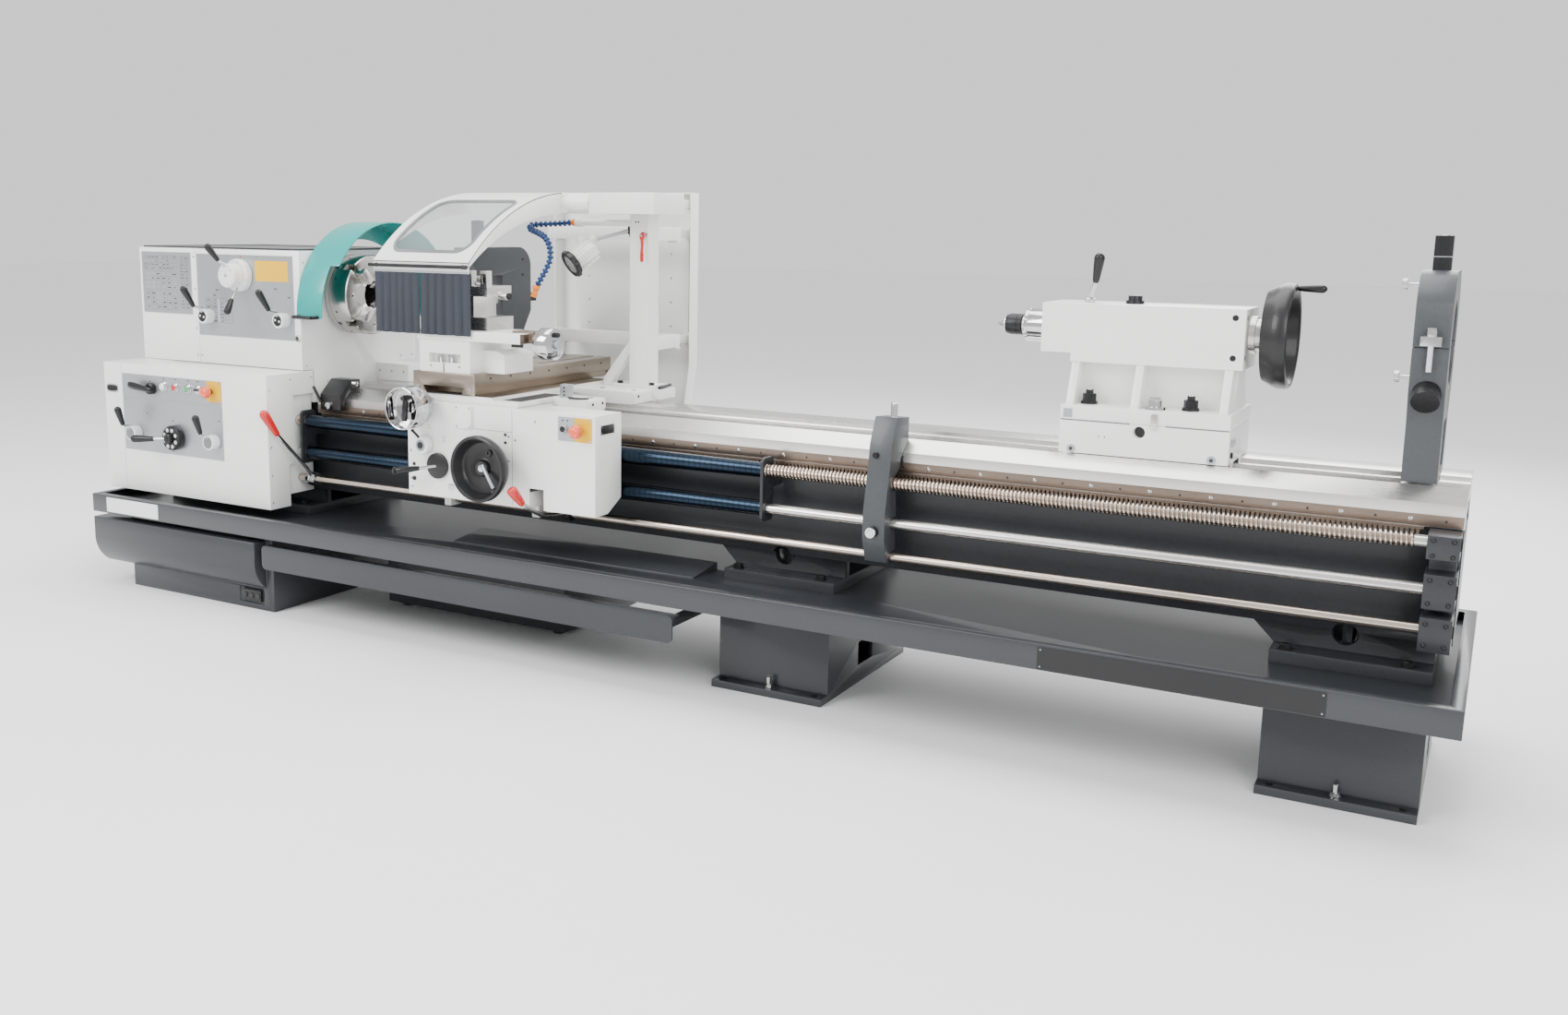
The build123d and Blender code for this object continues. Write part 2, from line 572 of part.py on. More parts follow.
with BuildPart() as main_switch:
    bar_y(box_plate_y - 22, box_plate_y - free_gap, at(298), 826, 24)
    with BuildSketch(Plane.XZ.offset(-(box_plate_y - 22))):
        with Locations((at(258), 830)):
            SlotOverall(136, 30, rotation=-6)
    extrude(amount=18)
main_switch.part.label = "main_switch"
export_step(main_switch.part, "parts/main_switch.step")


def mushroom(x, y, z, head_radius, stem):
    """Emergency-stop head on a short stem, pressed along +Y."""
    bar_y(y - stem, y, x, z, head_radius * 0.55)
    bar_y(y - stem - 20, y - stem, x, z, head_radius)
    bar_y(y - stem - 28, y - stem - 20, x, z, head_radius * 0.72, tip_radius=head_radius)


push_travel = 5.0
with BuildPart() as estop_headstock:
    mushroom(at(640), box_plate_y - free_gap - push_travel - 1, 836, 23, 12)
estop_headstock.part.label = "estop_headstock"
export_step(estop_headstock.part, "parts/estop_headstock.step")

with BuildPart() as index_plates:
    # data plate, control plates and label plates of the headstock
    block(at(34), at(330), head_front - plate_thick, head_front, 1115, head_top - 18)
    block(at(366), at(905), head_front - plate_thick, head_front, 1035, head_top - 22)
    bar_y(head_front - plate_thick - 1, head_front + 1, dial_x, dial_z, 13, mode=Mode.SUBTRACT)
    for x in lever_stations:
        bar_y(head_front - plate_thick - 1, head_front + 1, x, lever_z, 32, mode=Mode.SUBTRACT)
    block(at(700), at(880), head_front - plate_thick - 1, head_front - plate_thick, 1262, 1342)
    # round sight plug beside the plate
    bar_y(head_front - 8, head_front, at(922), 1045, 13)
    # control plate of the gearbox cover, its yellow field and button collars
    block(at(115), at(695), box_plate_y, box_front, 566, 878)
    block(at(615), at(694), box_plate_y - 1, box_plate_y, 795, 877)
    for station, radius in ((367, 17), (435, 15), (510, 15), (566, 14)):
        bar_y(box_plate_y - 5, box_plate_y, at(station), 838, radius + 4)
        bar_y(box_plate_y - 14, box_plate_y - 5, at(station), 838, radius)
    # blank maker's shields: oval on the cover, long plates on the tray
    with BuildSketch(Plane.XZ.offset(-box_front)):
        with Locations((at(52), 812)):
            Ellipse(42, 17)
    extrude(amount=3)
    block(at(90), at(400), tray_front - 2, tray_front, 312, 372)
    block(at(tray_length - 1030), at(tray_length - 300), tray_front - 2, tray_front, 308, 372)
index_plates.part.label = "index_plates"
export_step(index_plates.part, "parts/index_plates.step")

# ================================================================ screw, feed rod, start rod
bracket_x = (bed_end - 78, bed_end - 3)
shaft_end = bracket_x[1] - 6
with BuildPart() as lead_screw:
    bar_x(at(862), bracket_x[0] - 30, rod_y, screw_z, screw_radius)
    bar_x(bracket_x[0] - 30, shaft_end, rod_y, screw_z, screw_radius - 4)
lead_screw.part.label = "lead_screw"
export_step(lead_screw.part, "parts/lead_screw.step")

with BuildPart() as feed_rod:
    bar_x(at(862), shaft_end, rod_y, feed_z, feed_radius)
    # keyway along the top
    block(at(980), bracket_x[0] - 30, rod_y - 4, rod_y + 4, feed_z + feed_radius - 4,
          feed_z + feed_radius + 1, mode=Mode.SUBTRACT)
feed_rod.part.label = "feed_rod"
export_step(feed_rod.part, "parts/feed_rod.step")

start_hub_x = at(1000)
with BuildPart() as start_rod:
    bar_x(at(862), shaft_end, rod_y, start_z, start_radius)
    bar_x(start_hub_x - 30, start_hub_x + 22, rod_y, start_z, 27)
    bar((start_hub_x, rod_y - 16, start_z + 16), (at(974), -440, 690), 8)
    bar((at(974), -440, 690), (at(964), -505, 790), 14, tip_radius=19)
start_rod.part.label = "start_rod"
export_step(start_rod.part, "parts/start_rod.step")

with BuildPart() as rod_brackets:
    # end bracket: three bearing blocks on one back plate, bolted to the bed front
    block(bracket_x[0] + 6, bracket_x[1] - 6, -240, bed_front + 4, 452, way_height - 102)
    for low, high, front, back in ((690, way_height - 102, -318, front_wall[0]),
                                   (560, 650, -312, front_wall[0]),
                                   (452, 540, -326, bed_front + 4)):
        block(*bracket_x, front, back, low, high)
    bar_x(bracket_x[0] - 1, bracket_x[1] + 1, rod_y, screw_z, screw_radius - 4 + turn_fit,
          mode=Mode.SUBTRACT)
    bar_x(bracket_x[0] - 1, bracket_x[1] + 1, rod_y, feed_z, feed_radius + turn_fit,
          mode=Mode.SUBTRACT)
    bar_x(bracket_x[0] - 1, bracket_x[1] + 1, rod_y, start_z, start_radius + turn_fit,
          mode=Mode.SUBTRACT)
    # plates that hold the outer ends of the spiral covers
    for x in (at(962), at(2984)):
        with BuildSketch(Plane.YZ.offset(x)):
            with Locations((rod_y + 6, (screw_z + feed_z) / 2)):
                RectangleRounded(76, 208, 18)
        extrude(amount=10)
        block(x, x + 10, rod_y + 6, front_wall[0], screw_z - 60, rack_bottom - 5)
        bar_x(x - 1, x + 11, rod_y, screw_z, screw_radius + 1, mode=Mode.SUBTRACT)
        bar_x(x - 1, x + 11, rod_y, feed_z, feed_radius + 1, mode=Mode.SUBTRACT)
rod_brackets.part.label = "rod_brackets"
export_step(rod_brackets.part, "parts/rod_brackets.step")

with BuildPart() as rod_support:
    # cast hook on the front flank of the way, cranked down in front of the shafts
    support_x = (at(3352), at(3424))
    profile_x([(apex_y - 5, way_height + 68), (bed_front - 52, way_height + 76),
               (-300, 850), (-306, 800), (-338, 640), (-338, 560), (-312, 486), (-250, 478),
               (-246, 520), (-250, 660), (-258, 700), (-262, 752),
               (bed_front - slide_fit - 14, 770), (bed_front - slide_fit - 14, 800),
               (bed_front - slide_fit, 808), (bed_front - slide_fit, way_height - 38 + slide_fit),
               (apex_y - 5, way_height - 3.8 + 2 * slide_fit)], *support_x)
    for z, radius in ((screw_z, screw_radius), (feed_z, feed_radius), (start_z, start_radius)):
        bar_x(support_x[0] - 1, support_x[1] + 1, rod_y, z, radius + free_gap,
              mode=Mode.SUBTRACT)
        block(support_x[0] - 1, support_x[1] + 1, rod_y, bed_front - 5, z - radius - free_gap,
              z + radius + free_gap, mode=Mode.SUBTRACT)
    bar_y(-352, -330, (support_x[0] + support_x[1]) / 2, 585, 17)
    bar_z(way_height + 66, way_height + 112, at(3402), -235, 11)
rod_support.part.label = "rod_support"
export_step(rod_support.part, "parts/rod_support.step")

# ================================================================ carriage
saddle_x = (at(1480), at(2260))
apron_x = (at(1655), at(2118))
cover_x = (at(2118), at(2457))
apron_front = -470.0
apron_back = -234.0
apron_z = (544.0, 878.0)
slide_x = (at(1663), at(1938))
slide_bottom = 907.0
slide_top = 982.0
slide_front = -445.0
slide_back = 405.0
dovetail_depth = 26.0
cross_axis = (at(1731), 865.0)
cross_shaft = 20.0
shelf_top = slide_bottom - 12.0


def dovetail(low, high, widen, y0, y1, mode):
    """Dovetail between two heights; it narrows downwards and is widened by the fit."""
    taper = 14 / dovetail_depth
    foot = 60 - taper * (low - slide_bottom) - widen
    head = 60 - taper * (high - slide_bottom) - widen
    profile_y([(slide_x[0] + foot, low), (slide_x[1] - foot, low),
               (slide_x[1] - head, high), (slide_x[0] + head, high)], y0, y1, mode)


with BuildPart() as saddle:
    # front wing with its vee, rear wing, and the bridge that carries the cross slide
    profile_x([(-232, 800), (-232, shelf_top), (apex_y + 36, shelf_top),
               (apex_y + 36, way_height - 27 + 2 * slide_fit), (apex_y, way_height + 2 * slide_fit),
               (bed_front - slide_fit, way_height - 38 + slide_fit), (bed_front - slide_fit, 800)],
              *saddle_x)
    block(*saddle_x, 62, 226, rear_way_top + slide_fit, shelf_top)
    block(*saddle_x, bed_back + slide_fit, 226, 815, rear_way_top + 10)
    block(at(1640), at(2010), -440, 300, 880, slide_bottom - free_gap)
    block(at(2010), at(2118), -440, -120, 880, 896)
    # dovetail tongue under the cross slide
    dovetail(slide_bottom - free_gap - 1, slide_bottom + dovetail_depth, 0, -380, 300, Mode.ADD)
    # rear shelf for the guard post
    block(at(2020), at(2300), 190, 300, rear_way_top + 8, shelf_top)
    # felt wipers at the four way ends
    for x in (saddle_x[0] - 8, saddle_x[1]):
        block(x, x + 8, -228, apex_y + 34, way_height + 3, slide_bottom - 16)
        block(x, x + 8, 66, 222, rear_way_top + 1, slide_bottom - 16)
    # keep plates below the ways
    block(saddle_x[0], saddle_x[1], bed_back - 18, bed_back + slide_fit + 1, 790, 801)
saddle.part.label = "saddle"
export_step(saddle.part, "parts/saddle.step")

with BuildPart() as apron:
    block(*apron_x, apron_front, apron_back, *apron_z)
    block(apron_x[0] + 14, apron_x[1] - 14, apron_front + 22, apron_back - 12, apron_z[0] + 14,
          apron_z[1] + 1, mode=Mode.SUBTRACT)
    block(*apron_x, apron_front + 4, apron_front + 30, apron_z[1] - 1, 880)
    # right-hand cover with chamfered lower rear corner and the lever notch
    profile_x([(apron_front, apron_z[0]), (apron_front + 75, apron_z[0]), (-314, 589),
               (-314, apron_z[1] + 1), (apron_front, apron_z[1] + 1)], *cover_x)
    block(cover_x[0] - 2, cover_x[1] - sheet, apron_front + sheet, -314 - sheet,
          600, apron_z[1] - sheet, mode=Mode.SUBTRACT)
    block(at(2188), at(2248), apron_front - 1, -313, apron_z[0] - 1, 615, mode=Mode.SUBTRACT)
    for z, radius in ((screw_z, screw_radius), (feed_z, feed_radius)):
        bar_x(apron_x[0] - 1, apron_x[1] + 1, rod_y, z, radius + free_gap, mode=Mode.SUBTRACT)
    # start-rod bearing ears below the apron
    for x in (at(1690), at(2086)):
        profile_x([(-318, apron_z[0]), (-318, 478), (-242, 478), (-242, apron_z[0])], x, x + 30)
        bar_x(x - 1, x + 31, rod_y, start_z, start_radius + free_gap, mode=Mode.SUBTRACT)
    # shaft bores for the wheel, the feed lever and the cross screw
    bar_y(apron_front - 1, apron_back, *cross_axis, cross_shaft + turn_fit, mode=Mode.SUBTRACT)
    for x, z, radius in ((at(2043), 680, 16), (at(1793), 655, 14)):
        bar_y(apron_front - 1, apron_front + 23, x, z, radius + turn_fit, mode=Mode.SUBTRACT)
    # control plate, side plate, small cover plate and grey feed knob
    block(at(2310), at(2445), apron_front - plate_thick, apron_front, 790, 870)
    block(cover_x[1], cover_x[1] + plate_thick, -436, -358, 815, 845)
    block(at(1876), at(1946), apron_front - 6, apron_front, 797, 876)
    bar_y(apron_front - 32, apron_front, at(1738), 726, 33)
    bar((at(1734), apron_front - 26, 748), (at(1718), apron_front - 48, 780), 6)
    bar_y(apron_front - 12, apron_front - plate_thick, at(2335), 830, 15)
apron.part.label = "apron"
export_step(apron.part, "parts/apron.step")

wheel_radius = 114.0
wheel_centre = (at(2043), 680.0)
with BuildPart() as carriage_wheel:
    dished_wheel((wheel_centre[0], apron_front - 48, wheel_centre[1]), (0, -1, 0), wheel_radius,
                 18, 56, 30, 24, 8)
    bar_y(apron_front - 60, apron_front + 20, *wheel_centre, 16)
    # folding crank inside the dish
    bar((wheel_centre[0] + 10, apron_front - 66, wheel_centre[1] + 12),
        (wheel_centre[0] + 62, apron_front - 78, wheel_centre[1] - 70), 6)
    bar_y(apron_front - 92, apron_front - 62, wheel_centre[0] + 62, wheel_centre[1] - 70, 11)
carriage_wheel.part.label = "carriage_wheel"
export_step(carriage_wheel.part, "parts/carriage_wheel.step")

joystick = (at(1793), 655.0)
with BuildPart() as apron_lever:
    bar_y(apron_front - 12, apron_front - free_gap, *joystick, 46)
    bar_y(apron_front - 12, apron_front + 20, *joystick, 14)
    bar((joystick[0], apron_front - 6, joystick[1]),
        (joystick[0] - 52, apron_front - 40, joystick[1] - 8), 6)
    bar((joystick[0] - 52, apron_front - 40, joystick[1] - 8),
        (joystick[0] - 140, apron_front - 84, joystick[1] - 22), 11, tip_radius=15)
apron_lever.part.label = "apron_lever"
export_step(apron_lever.part, "parts/apron_lever.step")

with BuildPart() as apron_start_lever:
    bar_x(at(2202), at(2234), rod_y, start_z, 27)
    bar_x(at(2201), at(2235), rod_y, start_z, start_radius + turn_fit, mode=Mode.SUBTRACT)
    bar((at(2218), rod_y - 19, start_z + 4), (at(2222), -440, 520), 8)
    bar((at(2222), -440, 520), (at(2204), -528, 570), 8)
    bar((at(2204), -528, 570), (at(2184), -570, 630), 14, tip_radius=19)
apron_start_lever.part.label = "apron_start_lever"
export_step(apron_start_lever.part, "parts/apron_start_lever.step")

with BuildPart() as estop_apron:
    mushroom(at(2400), apron_front - plate_thick - free_gap - push_travel - 1, 828, 23, 12)
estop_apron.part.label = "estop_apron"
export_step(estop_apron.part, "parts/estop_apron.step")

with BuildPart() as cross_slide:
    block(*slide_x, slide_front, slide_back, slide_bottom, slide_top)
    dovetail(slide_bottom - 1, slide_bottom + dovetail_depth + slide_fit, 2 * slide_fit,
             slide_front - 1, slide_back + 1, Mode.SUBTRACT)
    # lower edges are relieved on both flanks
    for x0, x1 in ((slide_x[0] - 1, slide_x[0] + 12), (slide_x[1] - 12, slide_x[1] + 1)):
        block(x0, x1, slide_front + 8, slide_back - 8, slide_bottom - 1, slide_bottom + 24,
              mode=Mode.SUBTRACT)
    # two tee slots behind the compound rest
    for x in (slide_x[0] + 70, slide_x[1] - 70):
        block(x - 9, x + 9, 20, slide_back + 1, slide_top - 14, slide_top + 1, mode=Mode.SUBTRACT)
        block(x - 15, x + 15, 20, slide_back + 1, slide_top - 26, slide_top - 14, mode=Mode.SUBTRACT)
cross_slide.part.label = "cross_slide"
export_step(cross_slide.part, "parts/cross_slide.step")

cup_radius = 75.0
with BuildPart() as cross_wheel:
    # chromed cup with an inner crank, graduated sleeve behind it
    cup_front = -half_depth
    bar_y(cup_front, cup_front + 62, *cross_axis, cup_radius)
    bar_y(cup_front - 1, cup_front + 52, *cross_axis, cup_radius - 8, mode=Mode.SUBTRACT)
    bar_y(cup_front + 62, cup_front + 94, *cross_axis, 64)
    bar_y(cup_front + 94, -441, *cross_axis, cross_shaft)
    bar_y(cup_front + 6, cup_front + 53, cross_axis[0], cross_axis[1] + 34, 11)
cross_wheel.part.label = "cross_wheel"
export_step(cross_wheel.part, "parts/cross_wheel.step")

base_x = (at(1690), at(1915))
base_y = (slide_front + 6, slide_front + 240)
compound_base_top = 1096.0
with BuildPart() as compound_base:
    block(*base_x, *base_y, slide_top, compound_base_top)
    # open pocket at the front with two clamping bolts
    block(base_x[0] + 42, base_x[1] - 40, base_y[0] - 1, base_y[0] + 26, slide_top + 34,
          slide_top + 66, mode=Mode.SUBTRACT)
    for x in (base_x[0] + 84, base_x[0] + 132):
        bar_z(slide_top + 34, slide_top + 52, x, base_y[0] + 12, 10)
    # stepped shoulder on the right-hand side
    profile_y([(base_x[1] - 1, slide_top), (base_x[1] + 95, slide_top),
               (base_x[1] + 95, slide_top + 66), (base_x[1] + 60, slide_top + 78), (base_x[1] - 1, slide_top + 78)],
              base_y[0] + 70, base_y[1])
compound_base.part.label = "compound_base"
export_step(compound_base.part, "parts/compound_base.step")

top_x = (at(1684), at(2136))
top_y = (slide_front, slide_front + 190)
top_z = (compound_base_top + free_gap, 1130.0)
post_x = (at(1800), at(1925))
post_y = (-390.0, -265.0)
top_screw = (-362.0, 1096.0)
with BuildPart() as top_slide:
    block(*top_x, *top_y, *top_z)
    # tail bracket for the screw
    block(top_x[1] - 70, top_x[1] + 20, top_screw[0] - 34, top_screw[0] + 34,
          top_z[0] + 6, top_z[1] + 6)
    # tool post: base plate, square block, slotted holders and clamp handle
    post_z = top_z[1]
    block(post_x[0] - 18, post_x[1] + 36, post_y[0] - 4, post_y[1] + 14, post_z, post_z + 46)
    block(post_x[0] + 30, post_x[1] - 29, *post_y, post_z + 46, post_z + 118)
    block(post_x[0] - 18, post_x[1] + 36, post_y[0] - 4, post_y[1] + 4, post_z + 118, post_z + 153)
    for x in (post_x[0] + 62, post_x[1] + 4):
        block(x, x + 30, post_y[0] - 4, post_y[0] + 22, post_z + 153, post_z + 206)
        block(x + 10, x + 20, post_y[0] - 5, post_y[0] + 23, post_z + 163, post_z + 190,
              mode=Mode.SUBTRACT)
    bar_x(post_x[1] + 36, post_x[1] + 74, -330, post_z + 119, 13)
    bar_z(post_z + 153, post_z + 189, post_x[0] + 96, sum(post_y) / 2, 15)
    bar_x(top_x[1] + 10, top_x[1] + 21, *top_screw, 12 + turn_fit, mode=Mode.SUBTRACT)
top_slide.part.label = "top_slide"
export_step(top_slide.part, "parts/top_slide.step")

with BuildPart() as top_wheel:
    wheel_x = top_x[1] + 20 + free_gap
    wheel_width = 66
    bar_x(wheel_x, wheel_x + wheel_width, *top_screw, 55)
    bar_x(wheel_x - 10, wheel_x, *top_screw, 12)
    bar_x(wheel_x + wheel_width, wheel_x + wheel_width + 12, top_screw[0], top_screw[1], 14)
    bar_x(wheel_x + wheel_width, wheel_x + wheel_width + 16, top_screw[0], top_screw[1] + 32, 9)
    bar((wheel_x + wheel_width + 4, top_screw[0] + 6, top_screw[1] - 34),
        (wheel_x + wheel_width + 16, top_screw[0] - 66, top_screw[1] - 38), 9, tip_radius=7)
top_wheel.part.label = "top_wheel"
export_step(top_wheel.part, "parts/top_wheel.step")

# ---------------------------------------------------------------- follow rest
rest_x = (at(1575), at(1633))
rest_y = (-105.0, 292.0)
rest_top = axis_height + 196.0
with BuildPart() as follow_rest:
    with BuildSketch(Plane.YZ.offset(rest_x[0])):
        with BuildLine():
            Polyline((rest_y[0], axis_height + 90), (rest_y[0], rest_top), (rest_y[1] - 70, rest_top))
            ThreePointArc((rest_y[1] - 70, rest_top), (rest_y[1] - 22, rest_top - 22),
                          (rest_y[1], rest_top - 72))
            Polyline((rest_y[1], rest_top - 72), (rest_y[1], 1160), (rest_y[1] - 44, 1090),
                     (rest_y[1] - 64, shelf_top), (64, shelf_top), (64, 1010),
                     (110, 1090), (110, axis_height + 90), (rest_y[0], axis_height + 90))
        make_face()
    extrude(amount=rest_x[1] - rest_x[0])
    block(rest_x[0] - 1, rest_x[1] + 1, -40, 40, axis_height + 40, axis_height + 91,
          mode=Mode.SUBTRACT)
    # square adjusting screws with their rollers: one from above, one from behind
    block(rest_x[0] + 12, rest_x[1] - 12, -17, 17, axis_height + 60, axis_height + 296)
    block(rest_x[0] + 12, rest_x[1] - 12, 60, rest_y[1] + 52, axis_height - 17, axis_height + 17)
    bar_x(rest_x[0] + 4, rest_x[1] - 4, 0, axis_height + 62, 20)
    bar_x(rest_x[0] + 4, rest_x[1] - 4, 62, axis_height, 20)
follow_rest.part.label = "follow_rest"
export_step(follow_rest.part, "parts/follow_rest.step")

# ---------------------------------------------------------------- rear guard, post, hood
panel_x = (at(1579), at(2226))
panel_back = half_depth
panel_top = 1622.0
panel_low = 954.0
post2_x = (at(2155), at(2235))
post2_y = (205.0, 280.0)
pivot_y = 118.0
pivot_z = 1574.0
pivot_radius = 38.0
pin_radius = 16.0
arm_x = (at(2056), at(2336))
hood_x = (at(1500), at(1930))
hood_front = -457.0
with BuildPart() as rear_guard:
    # sheet panel with side flanges, its foot sloped forward over the tray
    profile_x([(panel_back - 3, panel_low), (panel_back, panel_low), (panel_back, panel_top),
               (panel_back - 3, panel_top)], *panel_x)
    for x in (panel_x[0], panel_x[1] - sheet):
        profile_x([(panel_back - 60, panel_top), (panel_back, panel_top), (panel_back, panel_low),
                   (tray_back - 70, 480), (tray_back - 96, 480), (panel_back - 60, panel_low)],
                  x, x + sheet)
    profile_x([(panel_back - 3, panel_low + 2), (panel_back, panel_low), (tray_back - 70, 480),
               (tray_back - 73, 480)], *panel_x)
    block(panel_x[0], panel_x[1], panel_back - 60, panel_back, panel_top - sheet, panel_top)
    # post, foot, arms to the panel and slanted brace
    block(*post2_x, *post2_y, shelf_top, pivot_z - pivot_radius)
    block(post2_x[0] - 70, post2_x[1] + 40, post2_y[0] - 8, post2_y[1] + 14,
          shelf_top, slide_bottom)
    for z in (1030, 1440):
        block(panel_x[0] + 40, panel_x[1] - 10, post2_y[1] + 150, post2_y[1] + 190, z, z + 50)
        block(post2_x[0] + 20, post2_x[1] - 20, post2_y[1] - 1, post2_y[1] + 151, z, z + 50)
        for x in (panel_x[0] + 60, panel_x[1] - 60):
            block(x, x + 30, post2_y[1] + 189, panel_back - 3 + 1, z + 10, z + 40)
    profile_y([(post2_x[0] + 1, 1085), (post2_x[0] + 1, 1035), (post2_x[0] - 92, slide_bottom + 5),
               (post2_x[0] - 92, shelf_top), (post2_x[0] - 130, shelf_top),
               (post2_x[0] - 130, slide_bottom + 13)], post2_y[0] + 20, post2_y[1] - 20)
    # boxed arm at the top of the post
    block(*arm_x, pivot_y, post2_y[1] + 12, pivot_z - pivot_radius, pivot_z + pivot_radius)
    block(post2_x[0] + 20, post2_x[1] - 20, post2_y[1], panel_back - 3 + 1, pivot_z - 10, pivot_z + 20)
    block(*arm_x, pivot_y - pivot_radius, pivot_y + 1, pivot_z - pivot_radius,
          pivot_z + pivot_radius)
    bar_x(arm_x[0] - 1, arm_x[0] + 61, pivot_y, pivot_z, pin_radius + turn_fit, mode=Mode.SUBTRACT)
    # red-handled coolant valve on the panel side of the post
    bar_y(post2_y[0] - 20, post2_y[0] + 1, at(2222), 1462, 9)
    profile_y([(at(2214), 1365), (at(2228), 1362), (at(2232), 1466), (at(2212), 1468)],
              post2_y[0] - 26, post2_y[0] - 20)
    # coolant pipe that leaves the post, with its collar
    bar_x(at(1934), post2_x[0] + 1, 196, 1504, 11)
    bar_x(at(1920), at(1936), 196, 1504, 15)
    # self-supporting coolant hose: ball segments in a line, and the nozzle
    hose_points = [(at(1912), 196, 1504), (at(1862), 182, 1500), (at(1812), 150, 1497),
                   (at(1778), 110, 1492), (at(1790), 84, 1478), (at(1838), 68, 1464),
                   (at(1880), 54, 1446), (at(1906), 44, 1412), (at(1914), 36, 1372),
                   (at(1904), 26, 1334), (at(1888), 16, 1300), (at(1872), 6, 1266)]
    for start, end in zip(hose_points, hose_points[1:]):
        bar(start, end, 10)
    bar(hose_points[-1], (at(1864), -2, 1228), 13, tip_radius=5)
    bar_x(at(1905), at(1921), 196, 1504, 10.5)
rear_guard.part.label = "rear_guard"
export_step(rear_guard.part, "parts/rear_guard.step")


hood_thick = 4.0
hood_rear = pivot_y - 22
hood_top = pivot_z + pivot_radius
window_x = (hood_x[0] + 42, hood_x[1] - 38)
window_y = (hood_front + 34, hood_front + 350)
with BuildPart() as guard_hood:
    # curved top skin with its window opening and the clear pane behind it
    with BuildSketch(Plane.YZ.offset(hood_x[0])):
        with BuildLine():
            ThreePointArc((hood_front, 1364), (-240, 1524), (hood_rear, hood_top))
            Line((hood_rear, hood_top), (hood_rear, hood_top - hood_thick))
            ThreePointArc((hood_rear, hood_top - hood_thick), (-238, 1524 - hood_thick),
                          (hood_front + hood_thick, 1363))
            Line((hood_front + hood_thick, 1363), (hood_front, 1364))
        make_face()
    extrude(amount=hood_x[1] - hood_x[0])
    block(*window_x, *window_y, 1300, 1700, mode=Mode.SUBTRACT)
    with BuildSketch(Plane.YZ.offset(window_x[0])):
        with BuildLine():
            ThreePointArc((hood_front + 22, 1377), (-238, 1524 - hood_thick - 1),
                          (hood_rear - 20, hood_top - hood_thick - 4))
            Line((hood_rear - 20, hood_top - hood_thick - 4),
                 (hood_rear - 20, hood_top - hood_thick - 7))
            ThreePointArc((hood_rear - 20, hood_top - hood_thick - 7), (-237, 1524 - hood_thick - 4),
                          (hood_front + 25, 1375))
            Line((hood_front + 25, 1375), (hood_front + 22, 1377))
        make_face()
    extrude(amount=window_x[1] - window_x[0])
    # crescent side plates
    for x in (hood_x[0], hood_x[1] - hood_thick):
        with BuildSketch(Plane.YZ.offset(x)):
            with BuildLine():
                ThreePointArc((hood_front, 1364), (-240, 1524), (hood_rear, hood_top))
                Line((hood_rear, hood_top), (hood_rear, pivot_z - pivot_radius))
                ThreePointArc((hood_rear, pivot_z - pivot_radius), (-204, 1482), (hood_front, 1345))
                Line((hood_front, 1345), (hood_front, 1364))
            make_face()
        extrude(amount=hood_thick)
    # front rail with the pull bar, and the strip that clamps the curtain
    block(*hood_x, hood_front, hood_front + hood_thick, 1326, 1364)
    bar_x(hood_x[0] - 14, hood_x[1] - 9, hood_front - 10, 1349, 6)
    for x in (hood_x[0] + 8, hood_x[1] - 30):
        block(x, x + 14, hood_front - 10, hood_front + 1, 1343, 1355)
    # barrel and pin that turn in the boxed arm
    bar_x(hood_x[1] - hood_thick, arm_x[0] - free_gap, pivot_y, pivot_z, pivot_radius)
    bar_x(arm_x[0] - free_gap, arm_x[0] + 58, pivot_y, pivot_z, pin_radius)
    block(hood_x[1] - hood_thick, hood_x[1] + 20, hood_rear - 10, pivot_y, pivot_z - pivot_radius + 2,
          pivot_z + pivot_radius - 2)
guard_hood.part.label = "guard_hood"
export_step(guard_hood.part, "parts/guard_hood.step")

curtain_z = (1112.0, 1326.0)
curtain_split = at(1708)
with BuildPart() as hood_curtain:
    block(hood_x[0] + 2, curtain_split - 2, hood_front - 2, hood_front + 5, *curtain_z)
    block(curtain_split + 2, hood_x[1] + 4, hood_front - 2, hood_front + 5, *curtain_z)
hood_curtain.part.label = "hood_curtain"
export_step(hood_curtain.part, "parts/hood_curtain.step")

# ---------------------------------------------------------------- work lamp
lamp_joint = (post2_x[0] - 16, 240.0, 1478.0)
lamp_hub = (at(2013), 165.0, 1440.0)
lamp_face = (at(1989), 55.0, 1348.0)
lamp_tilt = radians(33)
lamp_turn = radians(33)
lamp_back = (cos(lamp_tilt) * sin(lamp_turn), cos(lamp_tilt) * cos(lamp_turn), sin(lamp_tilt))


def along_lamp(distance):
    """Point on the lamp's axis, measured back from its glass."""
    return tuple(lamp_face[i] + lamp_back[i] * distance for i in range(3))


with BuildPart() as lamp_arm:
    bar_z(lamp_joint[2] - 16, lamp_joint[2] + 14, lamp_joint[0], lamp_joint[1], 14)
    bar_z(lamp_joint[2] - 24, lamp_joint[2] - 16, lamp_joint[0], lamp_joint[1], 9)
    bar((lamp_joint[0] - 6, lamp_joint[1] - 6, lamp_joint[2]),
        (lamp_hub[0] + 8, lamp_hub[1] + 6, lamp_hub[2] + 2), 8)
    bar_x(lamp_hub[0] - 6, lamp_hub[0] + 20, lamp_hub[1], lamp_hub[2], 18)
lamp_arm.part.label = "lamp_arm"
export_step(lamp_arm.part, "parts/lamp_arm.step")

